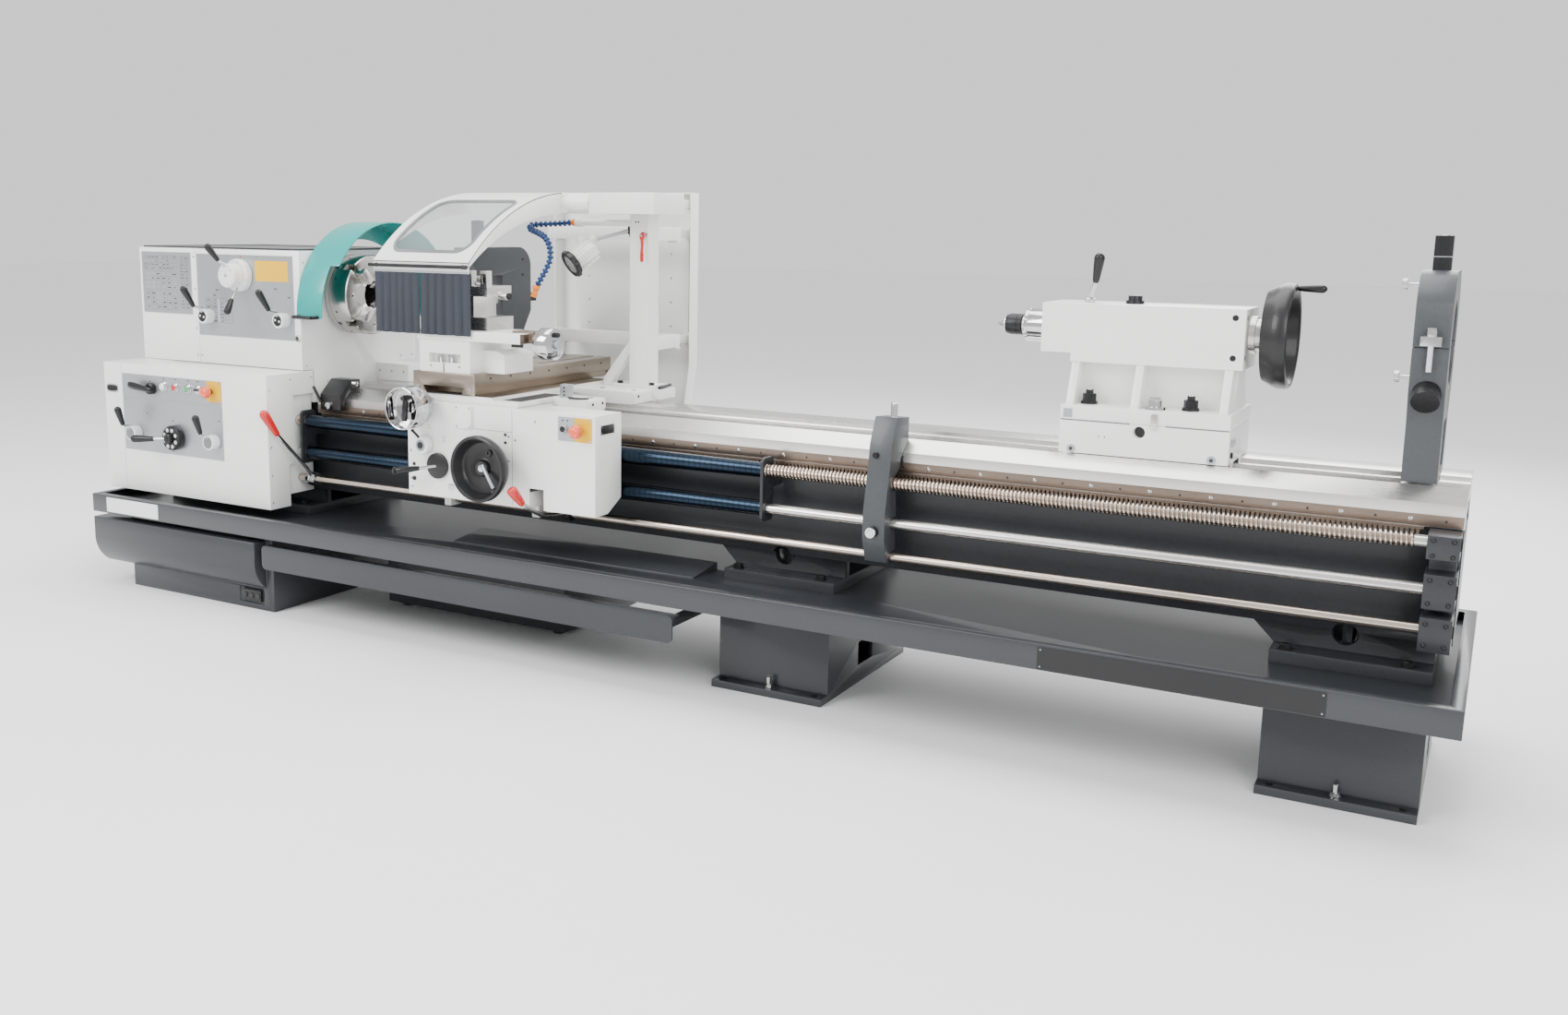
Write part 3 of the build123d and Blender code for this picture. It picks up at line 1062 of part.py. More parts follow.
with BuildPart() as lamp_head:
    bar(along_lamp(0), along_lamp(20), 52, tip_radius=50)
    bar(along_lamp(20), along_lamp(112), 34)
    for index in range(10):
        bar(along_lamp(24 + 9 * index), along_lamp(28 + 9 * index), 46 - index)
    block(lamp_hub[0] - 32, lamp_hub[0] - 7, 112, lamp_hub[1] + 14, 1376, lamp_hub[2] + 14)
lamp_head.part.label = "lamp_head"
export_step(lamp_head.part, "parts/lamp_head.step")

# ================================================================ spiral covers, stop
cover_small = 24.0
cover_large = 32.0
cover_gap = 1.0
with BuildPart() as screw_cover_left:
    for z, radius in ((screw_z, screw_radius), (feed_z, feed_radius)):
        bar_x(at(972) + cover_gap, apron_x[0] - cover_gap, rod_y, z, cover_small,
              tip_radius=cover_large)
        bar_x(at(972), apron_x[0], rod_y, z, screw_radius + 1.5, mode=Mode.SUBTRACT)
screw_cover_left.part.label = "screw_cover_left"
export_step(screw_cover_left.part, "parts/screw_cover_left.step")

with BuildPart() as screw_cover_right:
    for z, radius in ((screw_z, screw_radius), (feed_z, feed_radius)):
        bar_x(apron_x[1] + cover_gap, at(2984) - cover_gap, rod_y, z, cover_large,
              tip_radius=cover_small)
        bar_x(apron_x[1], at(2984), rod_y, z, screw_radius + 1.5, mode=Mode.SUBTRACT)
screw_cover_right.part.label = "screw_cover_right"
export_step(screw_cover_right.part, "parts/screw_cover_right.step")

stop_x = (at(1000), at(1105))
with BuildPart() as carriage_stop:
    # clamp that grips the front vee prism
    profile_x([(bed_front - 26, 770), (bed_front - 26, way_height - 22), (apex_y - 14, way_height + 34),
               (apex_y + 34, way_height + 34), (apex_y + 34, way_height - 20 + slide_fit),
               (apex_y, way_height + 2 * slide_fit),
               (bed_front - slide_fit, way_height - 38 + slide_fit), (bed_front - slide_fit, 770)],
              *stop_x)
    bar_x(stop_x[0] - 24, stop_x[1] + 22, apex_y - 6, way_height + 20, 9)
    bar_y(bed_front - 44, bed_front - 26, (stop_x[0] + stop_x[1]) / 2, 790, 13)
    bar((stop_x[0] + 6, bed_front - 30, 800), (stop_x[0] - 16, bed_front - 46, 862), 6)
carriage_stop.part.label = "carriage_stop"
export_step(carriage_stop.part, "parts/carriage_stop.step")

# ================================================================ tailstock
tail_x = (at(3806), at(4376))
tail_base_x = (at(3890), at(4364))
tail_half = 105.0
tail_top = axis_height + 75.0
tail_low = axis_height - 94.0
tail_base_y = (-158.0, 170.0)
tail_split = 950.0
tail_shelf = 995.0
quill_radius = 50.0
quill_out = 73.0
tail_screw_radius = 18.0
with BuildPart() as tailstock:
    # barrel with its overhanging nose
    block(tail_x[0], tail_base_x[0] + 6, -tail_half, tail_half, tail_low + 25, tail_top)
    block(tail_base_x[0] + 6, tail_x[1], -tail_half, tail_half, tail_low, tail_top)
    bar_x(tail_x[1], tail_x[1] + 16, 0, axis_height, 53)
    bar_x(tail_x[1] + 16, tail_x[1] + 34, 0, axis_height, 45)
    # web with slanted ribs on the front and the back
    profile_y([(tail_base_x[0] + 10, tail_low + 1), (tail_base_x[0] + 26, tail_shelf),
               (tail_x[1] - 26, tail_shelf), (tail_x[1] - 16, tail_low + 1)], -52, 60)
    for x in (tail_base_x[0] + 12, (tail_base_x[0] + tail_base_x[1]) / 2 - 40, tail_base_x[1] - 34):
        profile_x([(-tail_half + 4, tail_low + 1), (tail_base_y[0] + 10, tail_shelf),
                   (tail_base_y[1] - 14, tail_shelf), (tail_half - 4, tail_low + 1)], x, x + 22)
    # upper and lower base plates with the set-over joint line
    block(*tail_base_x, *tail_base_y, tail_split + 3, tail_shelf)
    block(tail_base_x[0] + 3, tail_base_x[1] - 3, tail_base_y[0] + 3, tail_base_y[1] - 3,
          tail_split, tail_split + 3)
    block(*tail_base_x, *tail_base_y, way_height + 2, tail_split)
    # runners on the two inner flats
    block(*tail_base_x, -113, -72, inner_way_top + slide_fit, way_height + 2)
    block(*tail_base_x, 22, 57, inner_way_top + slide_fit, way_height + 2)
    # clamp hole, set-over key, clamping nuts and the big square bolt
    bar_y(tail_base_y[0] - 1, tail_base_y[0] + 24, at(4118), 929, 17, mode=Mode.SUBTRACT)
    block(at(4150), at(4168), tail_base_y[0] - 5, tail_base_y[0], 940, 985)
    for station in (3957, 4244):
        bar_z(tail_shelf, tail_shelf + 8, at(station), -98, 24)
        with BuildSketch(Plane.XY.offset(tail_shelf + 8)):
            with Locations((at(station), -98)):
                RegularPolygon(20, 6)
        extrude(amount=22)
        bar_z(tail_shelf + 30, tail_shelf + 42, at(station), -98, 11)
    bar_z(tail_shelf, tail_shelf + 8, at(4150), -122, 32)
    bar_z(tail_shelf + 8, tail_shelf + 26, at(4150), -122, 20)
    for station in (3927, 4320):
        bar_y(tail_base_y[0] - 4, tail_base_y[0], at(station), 867, 12)
    # filler cap and lock stud on top
    bar_z(tail_top, tail_top + 10, at(4049), 0, 26)
    bar_z(tail_top + 10, tail_top + 24, at(4049), 0, 20)
    # quill bore, screw bore and lock-stud bore
    bar_x(tail_x[0] - 1, tail_x[1] - 46, 0, axis_height, quill_radius + turn_fit, mode=Mode.SUBTRACT)
    bar_x(tail_x[1] - 47, tail_x[1] + 35, 0, axis_height, tail_screw_radius + turn_fit,
          mode=Mode.SUBTRACT)
tailstock.part.label = "tailstock"
export_step(tailstock.part, "parts/tailstock.step")

with BuildPart() as quill:
    bar_x(tail_x[0] - quill_out, tail_x[1] - 110, 0, axis_height, quill_radius)
    # live centre: black collar, steel neck and 60 degree point
    nose_x = tail_x[0] - quill_out
    bar_x(nose_x - 12, nose_x, 0, axis_height, 26)
    bar_x(nose_x - 65, nose_x - 12, 0, axis_height, 32)
    bar_x(nose_x - 72, nose_x - 65, 0, axis_height, 18)
    bar_x(nose_x - 72, nose_x - 98, 0, axis_height, 15, tip_radius=0.6)
quill.part.label = "quill"
export_step(quill.part, "parts/quill.step")

tail_wheel_x = tail_x[1] + 38
tail_wheel_radius = 148.0
with BuildPart() as tail_wheel:
    dished_wheel((tail_wheel_x, 0, axis_height), (1, 0, 0), tail_wheel_radius, 22, 74, 34, 30, 10)
    bar_x(tail_x[1] - 40, tail_wheel_x + 34, 0, axis_height, tail_screw_radius)
    bar_x(tail_wheel_x + 60, tail_wheel_x + 150, 0, axis_height + tail_wheel_radius - 14, 9,
          tip_radius=12)
tail_wheel.part.label = "tail_wheel"
export_step(tail_wheel.part, "parts/tail_wheel.step")

with BuildPart() as quill_lock:
    lock = (at(3917), 0, tail_top + free_gap)
    bar_z(lock[2], lock[2] + 12, lock[0], lock[1], 16)
    bar((lock[0], 0, lock[2] + 6), (lock[0] + 25, -45, lock[2] + 60), 7)
    bar((lock[0] + 25, -45, lock[2] + 60), (lock[0] + 40, -68, lock[2] + 146), 12, tip_radius=16)
quill_lock.part.label = "quill_lock"
export_step(quill_lock.part, "parts/quill_lock.step")

# ================================================================ steady rest
steady_x = (bed_end - 160, bed_end - 75)
steady_radius = 193.0
steady_bore = 118.0
steady_hinge = (steady_radius - 22, axis_height)
steady_joint = 2.0
jaw_radius = 16.0
with BuildPart() as steady_lower:
    profile_x([(-150, way_height + 3), (165, way_height + 3), (165, way_height + 60),
               (150, 1010), (steady_radius, 1100), (steady_radius, axis_height - steady_joint / 2),
               (-steady_radius, axis_height - steady_joint / 2), (-steady_radius, 1100),
               (-155, 1010)], *steady_x)
    block(*steady_x, -113, -72, inner_way_top + slide_fit, way_height + 3)
    block(*steady_x, 22, 57, inner_way_top + slide_fit, way_height + 3)
    bar_x(steady_x[0] - 1, steady_x[1] + 1, 0, axis_height, steady_bore, mode=Mode.SUBTRACT)
    block(steady_x[0] - 1, steady_x[1] + 1, -70, 70, 880, 1010, mode=Mode.SUBTRACT)
    block(steady_x[0] - 1, steady_x[1] + 1, steady_hinge[0] - 24, steady_radius + 1, axis_height - 26,
          axis_height, mode=Mode.SUBTRACT)
    bar_x(steady_x[0] + 27, steady_x[1] - 27, *steady_hinge, 20)
    block(steady_x[0] + 27, steady_x[1] - 27, steady_hinge[0] - 24, steady_hinge[0] + 20,
          axis_height - 26, axis_height)
    bar_x(steady_x[0] + 26, steady_x[1] - 26, *steady_hinge, 9 + turn_fit, mode=Mode.SUBTRACT)
    # two lower jaws with their knurled knobs
    for side in (-1, 1):
        out = Vector(0, side * cos(radians(32)), -sin(radians(32)))
        middle = Vector((steady_x[0] + steady_x[1]) / 2, 0, axis_height)
        bar(tuple(middle + out * 60), tuple(middle + out * (steady_radius + 20)), jaw_radius)
        bar(tuple(middle + out * (steady_radius + 20)), tuple(middle + out * (steady_radius + 66)), 34)
    # thumb screw on the left face and the eyebolt that clamps the upper half
    bar_x(steady_x[0] - 30, steady_x[0], -150, 1130, 5)
    bar_x(steady_x[0] - 38, steady_x[0] - 26, -150, 1130, 15)
steady_lower.part.label = "steady_lower"
export_step(steady_lower.part, "parts/steady_lower.step")

with BuildPart() as steady_upper:
    with BuildSketch(Plane.YZ.offset(steady_x[0])):
        with BuildLine():
            Polyline((-steady_radius, axis_height + steady_joint / 2),
                     (-steady_radius, axis_height + 110))
            ThreePointArc((-steady_radius, axis_height + 110), (-150, axis_height + 166),
                          (-90, axis_height + steady_radius))
            Line((-90, axis_height + steady_radius), (90, axis_height + steady_radius))
            ThreePointArc((90, axis_height + steady_radius), (150, axis_height + 166),
                          (steady_radius, axis_height + 110))
            Polyline((steady_radius, axis_height + 110),
                     (steady_radius, axis_height + steady_joint / 2),
                     (-steady_radius, axis_height + steady_joint / 2))
        make_face()
    extrude(amount=steady_x[1] - steady_x[0])
    bar_x(steady_x[0] - 1, steady_x[1] + 1, 0, axis_height, steady_bore, mode=Mode.SUBTRACT)
    block(steady_x[0] + 26, steady_x[1] - 26, steady_hinge[0] - 25, steady_radius + 1, axis_height - 1,
          axis_height + 26, mode=Mode.SUBTRACT)
    for x0, x1 in ((steady_x[0], steady_x[0] + 26), (steady_x[1] - 26, steady_x[1])):
        bar_x(x0, x1, *steady_hinge, 20)
        block(x0, x1, steady_hinge[0] - 20, steady_hinge[0] + 20, axis_height, axis_height + 30)
    bar_x(steady_x[0], steady_x[1], *steady_hinge, 9)
    # square adjusting screw above, with its jaw
    block((steady_x[0] + steady_x[1]) / 2 - 22, (steady_x[0] + steady_x[1]) / 2 + 22, -22, 22,
          axis_height + steady_radius, axis_height + steady_radius + 90)
    bar_z(axis_height + 60, axis_height + steady_radius, (steady_x[0] + steady_x[1]) / 2, 0, jaw_radius)
    bar_x(steady_x[0] - 30, steady_x[0], -150, axis_height + 158, 5)
    bar_x(steady_x[0] - 38, steady_x[0] - 26, -150, axis_height + 158, 15)
    # eyebolt clamp on the front
    block(steady_x[0] + 18, steady_x[1] - 18, -steady_radius - 24, -steady_radius,
          axis_height + 6, axis_height + 30)
    bar_z(axis_height - 60, axis_height + 36, (steady_x[0] + steady_x[1]) / 2, -steady_radius - 13, 8)
    bar_z(axis_height + 30, axis_height + 46, (steady_x[0] + steady_x[1]) / 2, -steady_radius - 13, 13)
steady_upper.part.label = "steady_upper"
export_step(steady_upper.part, "parts/steady_upper.step")
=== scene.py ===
"""Engine lathe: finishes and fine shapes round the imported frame, one operator a group."""

import json
import random

import bmesh
import bpy
from math import atan2, copysign, cos, dist, pi, radians, sin, tau
from mathutils import Matrix, Vector, noise


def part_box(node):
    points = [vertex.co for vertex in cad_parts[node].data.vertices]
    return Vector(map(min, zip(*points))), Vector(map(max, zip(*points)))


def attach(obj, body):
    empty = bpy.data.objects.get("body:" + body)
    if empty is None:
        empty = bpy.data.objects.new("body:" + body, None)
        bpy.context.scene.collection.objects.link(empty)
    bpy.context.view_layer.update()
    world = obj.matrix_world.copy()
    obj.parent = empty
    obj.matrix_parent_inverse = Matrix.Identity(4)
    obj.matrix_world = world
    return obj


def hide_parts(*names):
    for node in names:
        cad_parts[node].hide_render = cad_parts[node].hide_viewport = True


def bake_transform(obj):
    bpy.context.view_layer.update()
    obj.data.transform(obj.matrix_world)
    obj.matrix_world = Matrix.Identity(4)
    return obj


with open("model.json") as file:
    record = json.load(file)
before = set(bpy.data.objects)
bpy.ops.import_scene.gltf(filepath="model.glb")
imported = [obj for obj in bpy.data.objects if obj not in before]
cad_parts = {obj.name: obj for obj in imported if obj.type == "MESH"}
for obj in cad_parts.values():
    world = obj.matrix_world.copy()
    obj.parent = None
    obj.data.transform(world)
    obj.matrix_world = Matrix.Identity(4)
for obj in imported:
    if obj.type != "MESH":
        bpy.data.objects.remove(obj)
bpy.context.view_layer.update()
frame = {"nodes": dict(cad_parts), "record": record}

bl_info = {"name": "Engine lathe dressing", "version": (1, 0, 0), "blender": (4, 5, 0),
    "location": "3D View > Sidebar > Lathe", "description":
    "Builds the visible pieces and finishes of an engine lathe round its frame",
    "category": "Object",}

BODY_OF = {node: body for body, nodes in frame["record"]["behaviour"]["bodies"].items() for node in
    nodes}
MM = 0.001
HALF_TRAY = 2.5
AXIS_Z = 1.211
X, Y, Z = Vector((1, 0, 0)), Vector((0, 1, 0)), Vector((0, 0, 1))
FINISH = {}


def at(station):
    """X in metres of a distance in millimetres from the tray's left end."""
    return station * MM - HALF_TRAY


# ---------------------------------------------------------------- finishes
# finishes, by the names that the materials carry
WHITE = "white enamel"
DARK = "anthracite enamel"
BED = "bed enamel"
GREY = "grey enamel"
TEAL = "teal enamel"
GROUND = "ground steel"
OILED = "oiled steel"
RACK = "rack steel"
TURNED = "turned steel"
BRIGHT = "bright screw steel"
CHROME = "polished chrome"
BLUED = "blued strip"
OXIDE = "black oxide"
CASTING = "black casting"
GRIP = "black grip"
RUBBER = "black rubber"
ALLOY = "satin alloy"
PRINT_GREY = "printed grey"
# black of print, also used as painted shade in screw recesses and holes
PRINT_AND_SHADE_BLACK = "printed black and painted shade"
YELLOW = "label yellow"
RED = "signal red"
ORANGE = "stop orange"
GREEN = "button green"
BUTTON = "button white"
HOSE = "hose blue"
NOZZLE = "nozzle orange"
SEAL = "grey seal"
LEATHER = "pleated leather"
MIRROR = "lamp mirror"
PANE = "clear pane"
LENS = "lamp lens"
FLOOR = "studio floor"


def mm(*pairs):
    """Profile of (along, radius) pairs given in millimetres."""
    return tuple((along / 1000, radius / 1000) for along, radius in pairs)


def finish(name, light, dark, rough, metallic=0.0, grain=60.0, stretch=(1, 1, 1), bump=0.05,
        spread=0.08, coat=0.0, rings=False, edge=0.0, specular=0.5):
    """Procedural finish: two tones clouded by noise, uneven roughness, fine bump, painted
    highlight on convex edges.
    """
    material = bpy.data.materials.new(name)
    material.use_nodes = True
    nodes, links = material.node_tree.nodes, material.node_tree.links
    shader = nodes["Principled BSDF"]
    coords = nodes.new("ShaderNodeTexCoord")
    mapping = nodes.new("ShaderNodeMapping")
    mapping.inputs["Scale"].default_value = stretch
    links.new(coords.outputs["Object"], mapping.inputs["Vector"])
    source = mapping.outputs["Vector"]
    if rings:
        # turning marks: the noise depends only on the distance from the spindle axis
        split = nodes.new("ShaderNodeSeparateXYZ")
        links.new(coords.outputs["Object"], split.inputs[0])
        height = nodes.new("ShaderNodeMath")
        height.operation = "SUBTRACT"
        height.inputs[1].default_value = AXIS_Z
        links.new(split.outputs["Z"], height.inputs[0])
        flat = nodes.new("ShaderNodeCombineXYZ")
        links.new(split.outputs["Y"], flat.inputs["X"])
        links.new(height.outputs[0], flat.inputs["Y"])
        length = nodes.new("ShaderNodeVectorMath")
        length.operation = "LENGTH"
        links.new(flat.outputs[0], length.inputs[0])
        ring = nodes.new("ShaderNodeCombineXYZ")
        links.new(length.outputs["Value"], ring.inputs["X"])
        source = ring.outputs[0]
    cloud = nodes.new("ShaderNodeTexNoise")
    cloud.inputs["Scale"].default_value = 3.0
    cloud.inputs["Detail"].default_value = 5.0
    links.new(coords.outputs["Object"], cloud.inputs["Vector"])
    fine = nodes.new("ShaderNodeTexNoise")
    fine.inputs["Scale"].default_value = grain
    fine.inputs["Detail"].default_value = 6.0
    links.new(source, fine.inputs["Vector"])
    both = nodes.new("ShaderNodeMath")
    both.operation = "MULTIPLY_ADD"
    both.inputs[1].default_value = 0.5
    links.new(cloud.outputs["Fac"], both.inputs[0])
    half = nodes.new("ShaderNodeMath")
    half.operation = "MULTIPLY"
    half.inputs[1].default_value = 0.5
    links.new(fine.outputs["Fac"], half.inputs[0])
    links.new(half.outputs[0], both.inputs[2])
    ramp = nodes.new("ShaderNodeValToRGB")
    ramp.color_ramp.elements[0].position = 0.36
    ramp.color_ramp.elements[1].position = 0.64
    ramp.color_ramp.elements[0].color = (*dark, 1)
    ramp.color_ramp.elements[1].color = (*light, 1)
    links.new(both.outputs[0], ramp.inputs[0])
    colour = ramp.outputs["Color"]
    # painted highlight: convex edges (high pointiness) get a lighter copy of the light tone, as
    # strong as edge says
    if edge:
        shape = nodes.new("ShaderNodeNewGeometry")
        edge_highlight = nodes.new("ShaderNodeMapRange")
        edge_highlight.inputs["From Min"].default_value = 0.53
        edge_highlight.inputs["From Max"].default_value = 0.62
        edge_highlight.inputs["To Max"].default_value = edge
        links.new(shape.outputs["Pointiness"], edge_highlight.inputs["Value"])
        mix = nodes.new("ShaderNodeMix")
        mix.data_type = "RGBA"
        links.new(edge_highlight.outputs[0], mix.inputs["Factor"])
        links.new(colour, mix.inputs["A"])
        mix.inputs["B"].default_value = (*(min(1, c * 1.5 + 0.12) for c in light), 1)
        colour = mix.outputs["Result"]
    links.new(colour, shader.inputs["Base Color"])
    uneven = nodes.new("ShaderNodeMapRange")
    uneven.inputs["To Min"].default_value = max(0.02, rough - spread)
    uneven.inputs["To Max"].default_value = min(1.0, rough + spread)
    links.new(both.outputs[0], uneven.inputs["Value"])
    links.new(uneven.outputs[0], shader.inputs["Roughness"])
    relief = nodes.new("ShaderNodeBump")
    relief.inputs["Strength"].default_value = bump
    relief.inputs["Distance"].default_value = 0.001
    links.new(fine.outputs["Fac"], relief.inputs["Height"])
    links.new(relief.outputs[0], shader.inputs["Normal"])
    shader.inputs["Metallic"].default_value = metallic
    shader.inputs["Specular IOR Level"].default_value = specular
    shader.inputs["Coat Weight"].default_value = coat
    FINISH[name] = material
    return material


def clear_finish(name, tint, rough, alpha):
    """Clear pane or lens: a thin tinted sheet that lets most light through."""
    material = finish(name, tint, tuple(c * 0.96 for c in tint), rough, bump=0.01, spread=0.02)
    shader = material.node_tree.nodes["Principled BSDF"]
    shader.inputs["Alpha"].default_value = alpha
    return material


def mix_finishes(tones):
    """Makes every finish of the machine from the user's colours."""
    white, dark, grey = tuple(tones.white), tuple(tones.dark), tuple(tones.grey)
    teal, hide = tuple(tones.teal), tuple(tones.leather)
    finish(WHITE, white, tuple(c * 0.94 for c in white), 0.34, grain=220, bump=0.10, coat=0.25,
        edge=0.15)
    finish(DARK, dark, tuple(c * 0.8 for c in dark), 0.32, grain=160, bump=0.12, coat=0.15,
        edge=0.15, specular=0.35)
    finish(BED, tuple(c * 0.8 for c in dark), tuple(c * 0.6 for c in dark), 0.36, grain=90,
        bump=0.2, coat=0.1, edge=0.15, specular=0.3)
    finish(GREY, grey, tuple(c * 0.82 for c in grey), 0.40, grain=110, bump=0.22, coat=0.08,
        edge=0.2, specular=0.4)
    finish(TEAL, teal, tuple(c * 0.9 for c in teal), 0.28, grain=200, bump=0.08, coat=0.25,
        edge=0.1)
    finish(GROUND, (0.74, 0.73, 0.71), (0.58, 0.57, 0.55), 0.26, 1.0, 40, (1, 40, 40), 0.06)
    finish(OILED, (0.40, 0.34, 0.28), (0.26, 0.22, 0.18), 0.34, 1.0, 50, (30, 1, 30), 0.1)
    finish(RACK, (0.30, 0.235, 0.19), (0.20, 0.155, 0.125), 0.36, 1.0, 60, (1, 20, 20), 0.1)
    finish(TURNED, (0.56, 0.55, 0.53), (0.40, 0.39, 0.37), 0.24, 1.0, 900, bump=0.12, rings=True)
    finish(BRIGHT, (0.66, 0.58, 0.51), (0.50, 0.43, 0.37), 0.25, 1.0, 300, bump=0.08)
    finish(CHROME, (0.62, 0.62, 0.62), (0.54, 0.54, 0.55), 0.09, 1.0, 80, bump=0.02, spread=0.03)
    finish(BLUED, (0.026, 0.040, 0.060), (0.011, 0.018, 0.029), 0.22, 1.0, 120, (1, 30, 30), 0.08)
    finish(OXIDE, (0.024, 0.024, 0.026), (0.014, 0.014, 0.015), 0.38, 0.6, 180, bump=0.15)
    finish(CASTING, (0.012, 0.012, 0.013), (0.007, 0.007, 0.008), 0.36, 0.0, 150, bump=0.25,
        coat=0.1, specular=0.35)
    finish(GRIP, (0.009, 0.009, 0.010), (0.005, 0.005, 0.006), 0.30, 0.0, 260, bump=0.05,
        specular=0.4)
    finish(RUBBER, (0.030, 0.030, 0.030), (0.016, 0.016, 0.016), 0.62, 0.0, 320, bump=0.3)
    finish(ALLOY, (0.44, 0.45, 0.47), (0.38, 0.39, 0.41), 0.36, 0.75, 70, (1, 1, 24), 0.06)
    finish(PRINT_GREY, (0.30, 0.31, 0.33), (0.24, 0.25, 0.27), 0.5, 0.1, 120, bump=0.03)
    finish(PRINT_AND_SHADE_BLACK, (0.03, 0.03, 0.03), (0.02, 0.02, 0.02), 0.5, 0.0, 120, bump=0.03)
    finish(YELLOW, (0.82, 0.47, 0.0), (0.74, 0.41, 0.0), 0.4, 0.0, 100, bump=0.04)
    finish(RED, (0.58, 0.016, 0.012), (0.44, 0.011, 0.009), 0.28, 0.0, 120, bump=0.04, coat=0.2)
    finish(ORANGE, (0.86, 0.12, 0.035), (0.74, 0.08, 0.02), 0.3, 0.0, 120, bump=0.05, coat=0.3)
    finish(GREEN, (0.05, 0.40, 0.14), (0.03, 0.30, 0.10), 0.3, 0.0, 120, bump=0.03)
    finish(BUTTON, (0.82, 0.83, 0.83), (0.74, 0.75, 0.75), 0.3, 0.0, 120, bump=0.03)
    finish(HOSE, (0.022, 0.065, 0.20), (0.010, 0.032, 0.11), 0.28, 0.0, 150, bump=0.06)
    finish(NOZZLE, (0.90, 0.26, 0.02), (0.80, 0.19, 0.01), 0.3, 0.0, 150, bump=0.06)
    finish(SEAL, (0.20, 0.21, 0.215), (0.12, 0.125, 0.13), 0.5, 0.0, 260, bump=0.2)
    finish(LEATHER, hide, tuple(c * 0.55 for c in hide), 0.62, 0.0, 420, bump=0.55, spread=0.12)
    finish(MIRROR, (0.85, 0.84, 0.80), (0.66, 0.64, 0.60), 0.12, 1.0, 60, bump=0.3)
    clear_finish(PANE, (0.86, 0.92, 0.93), 0.04, 0.09)
    clear_finish(LENS, (0.88, 0.90, 0.90), 0.08, 0.15)
    finish(FLOOR, (0.95, 0.95, 0.95), (0.94, 0.94, 0.94), 0.6, 0.0, 20, bump=0.0)


# ---------------------------------------------------------------- shape aids
def sideways(direction):
    """Two unit vectors square to a direction and to each other."""
    direction = Vector(direction).normalized()
    help_axis = Z if abs(direction.z) < 0.9 else X
    right = direction.cross(help_axis).normalized()
    return right, right.cross(direction).normalized()


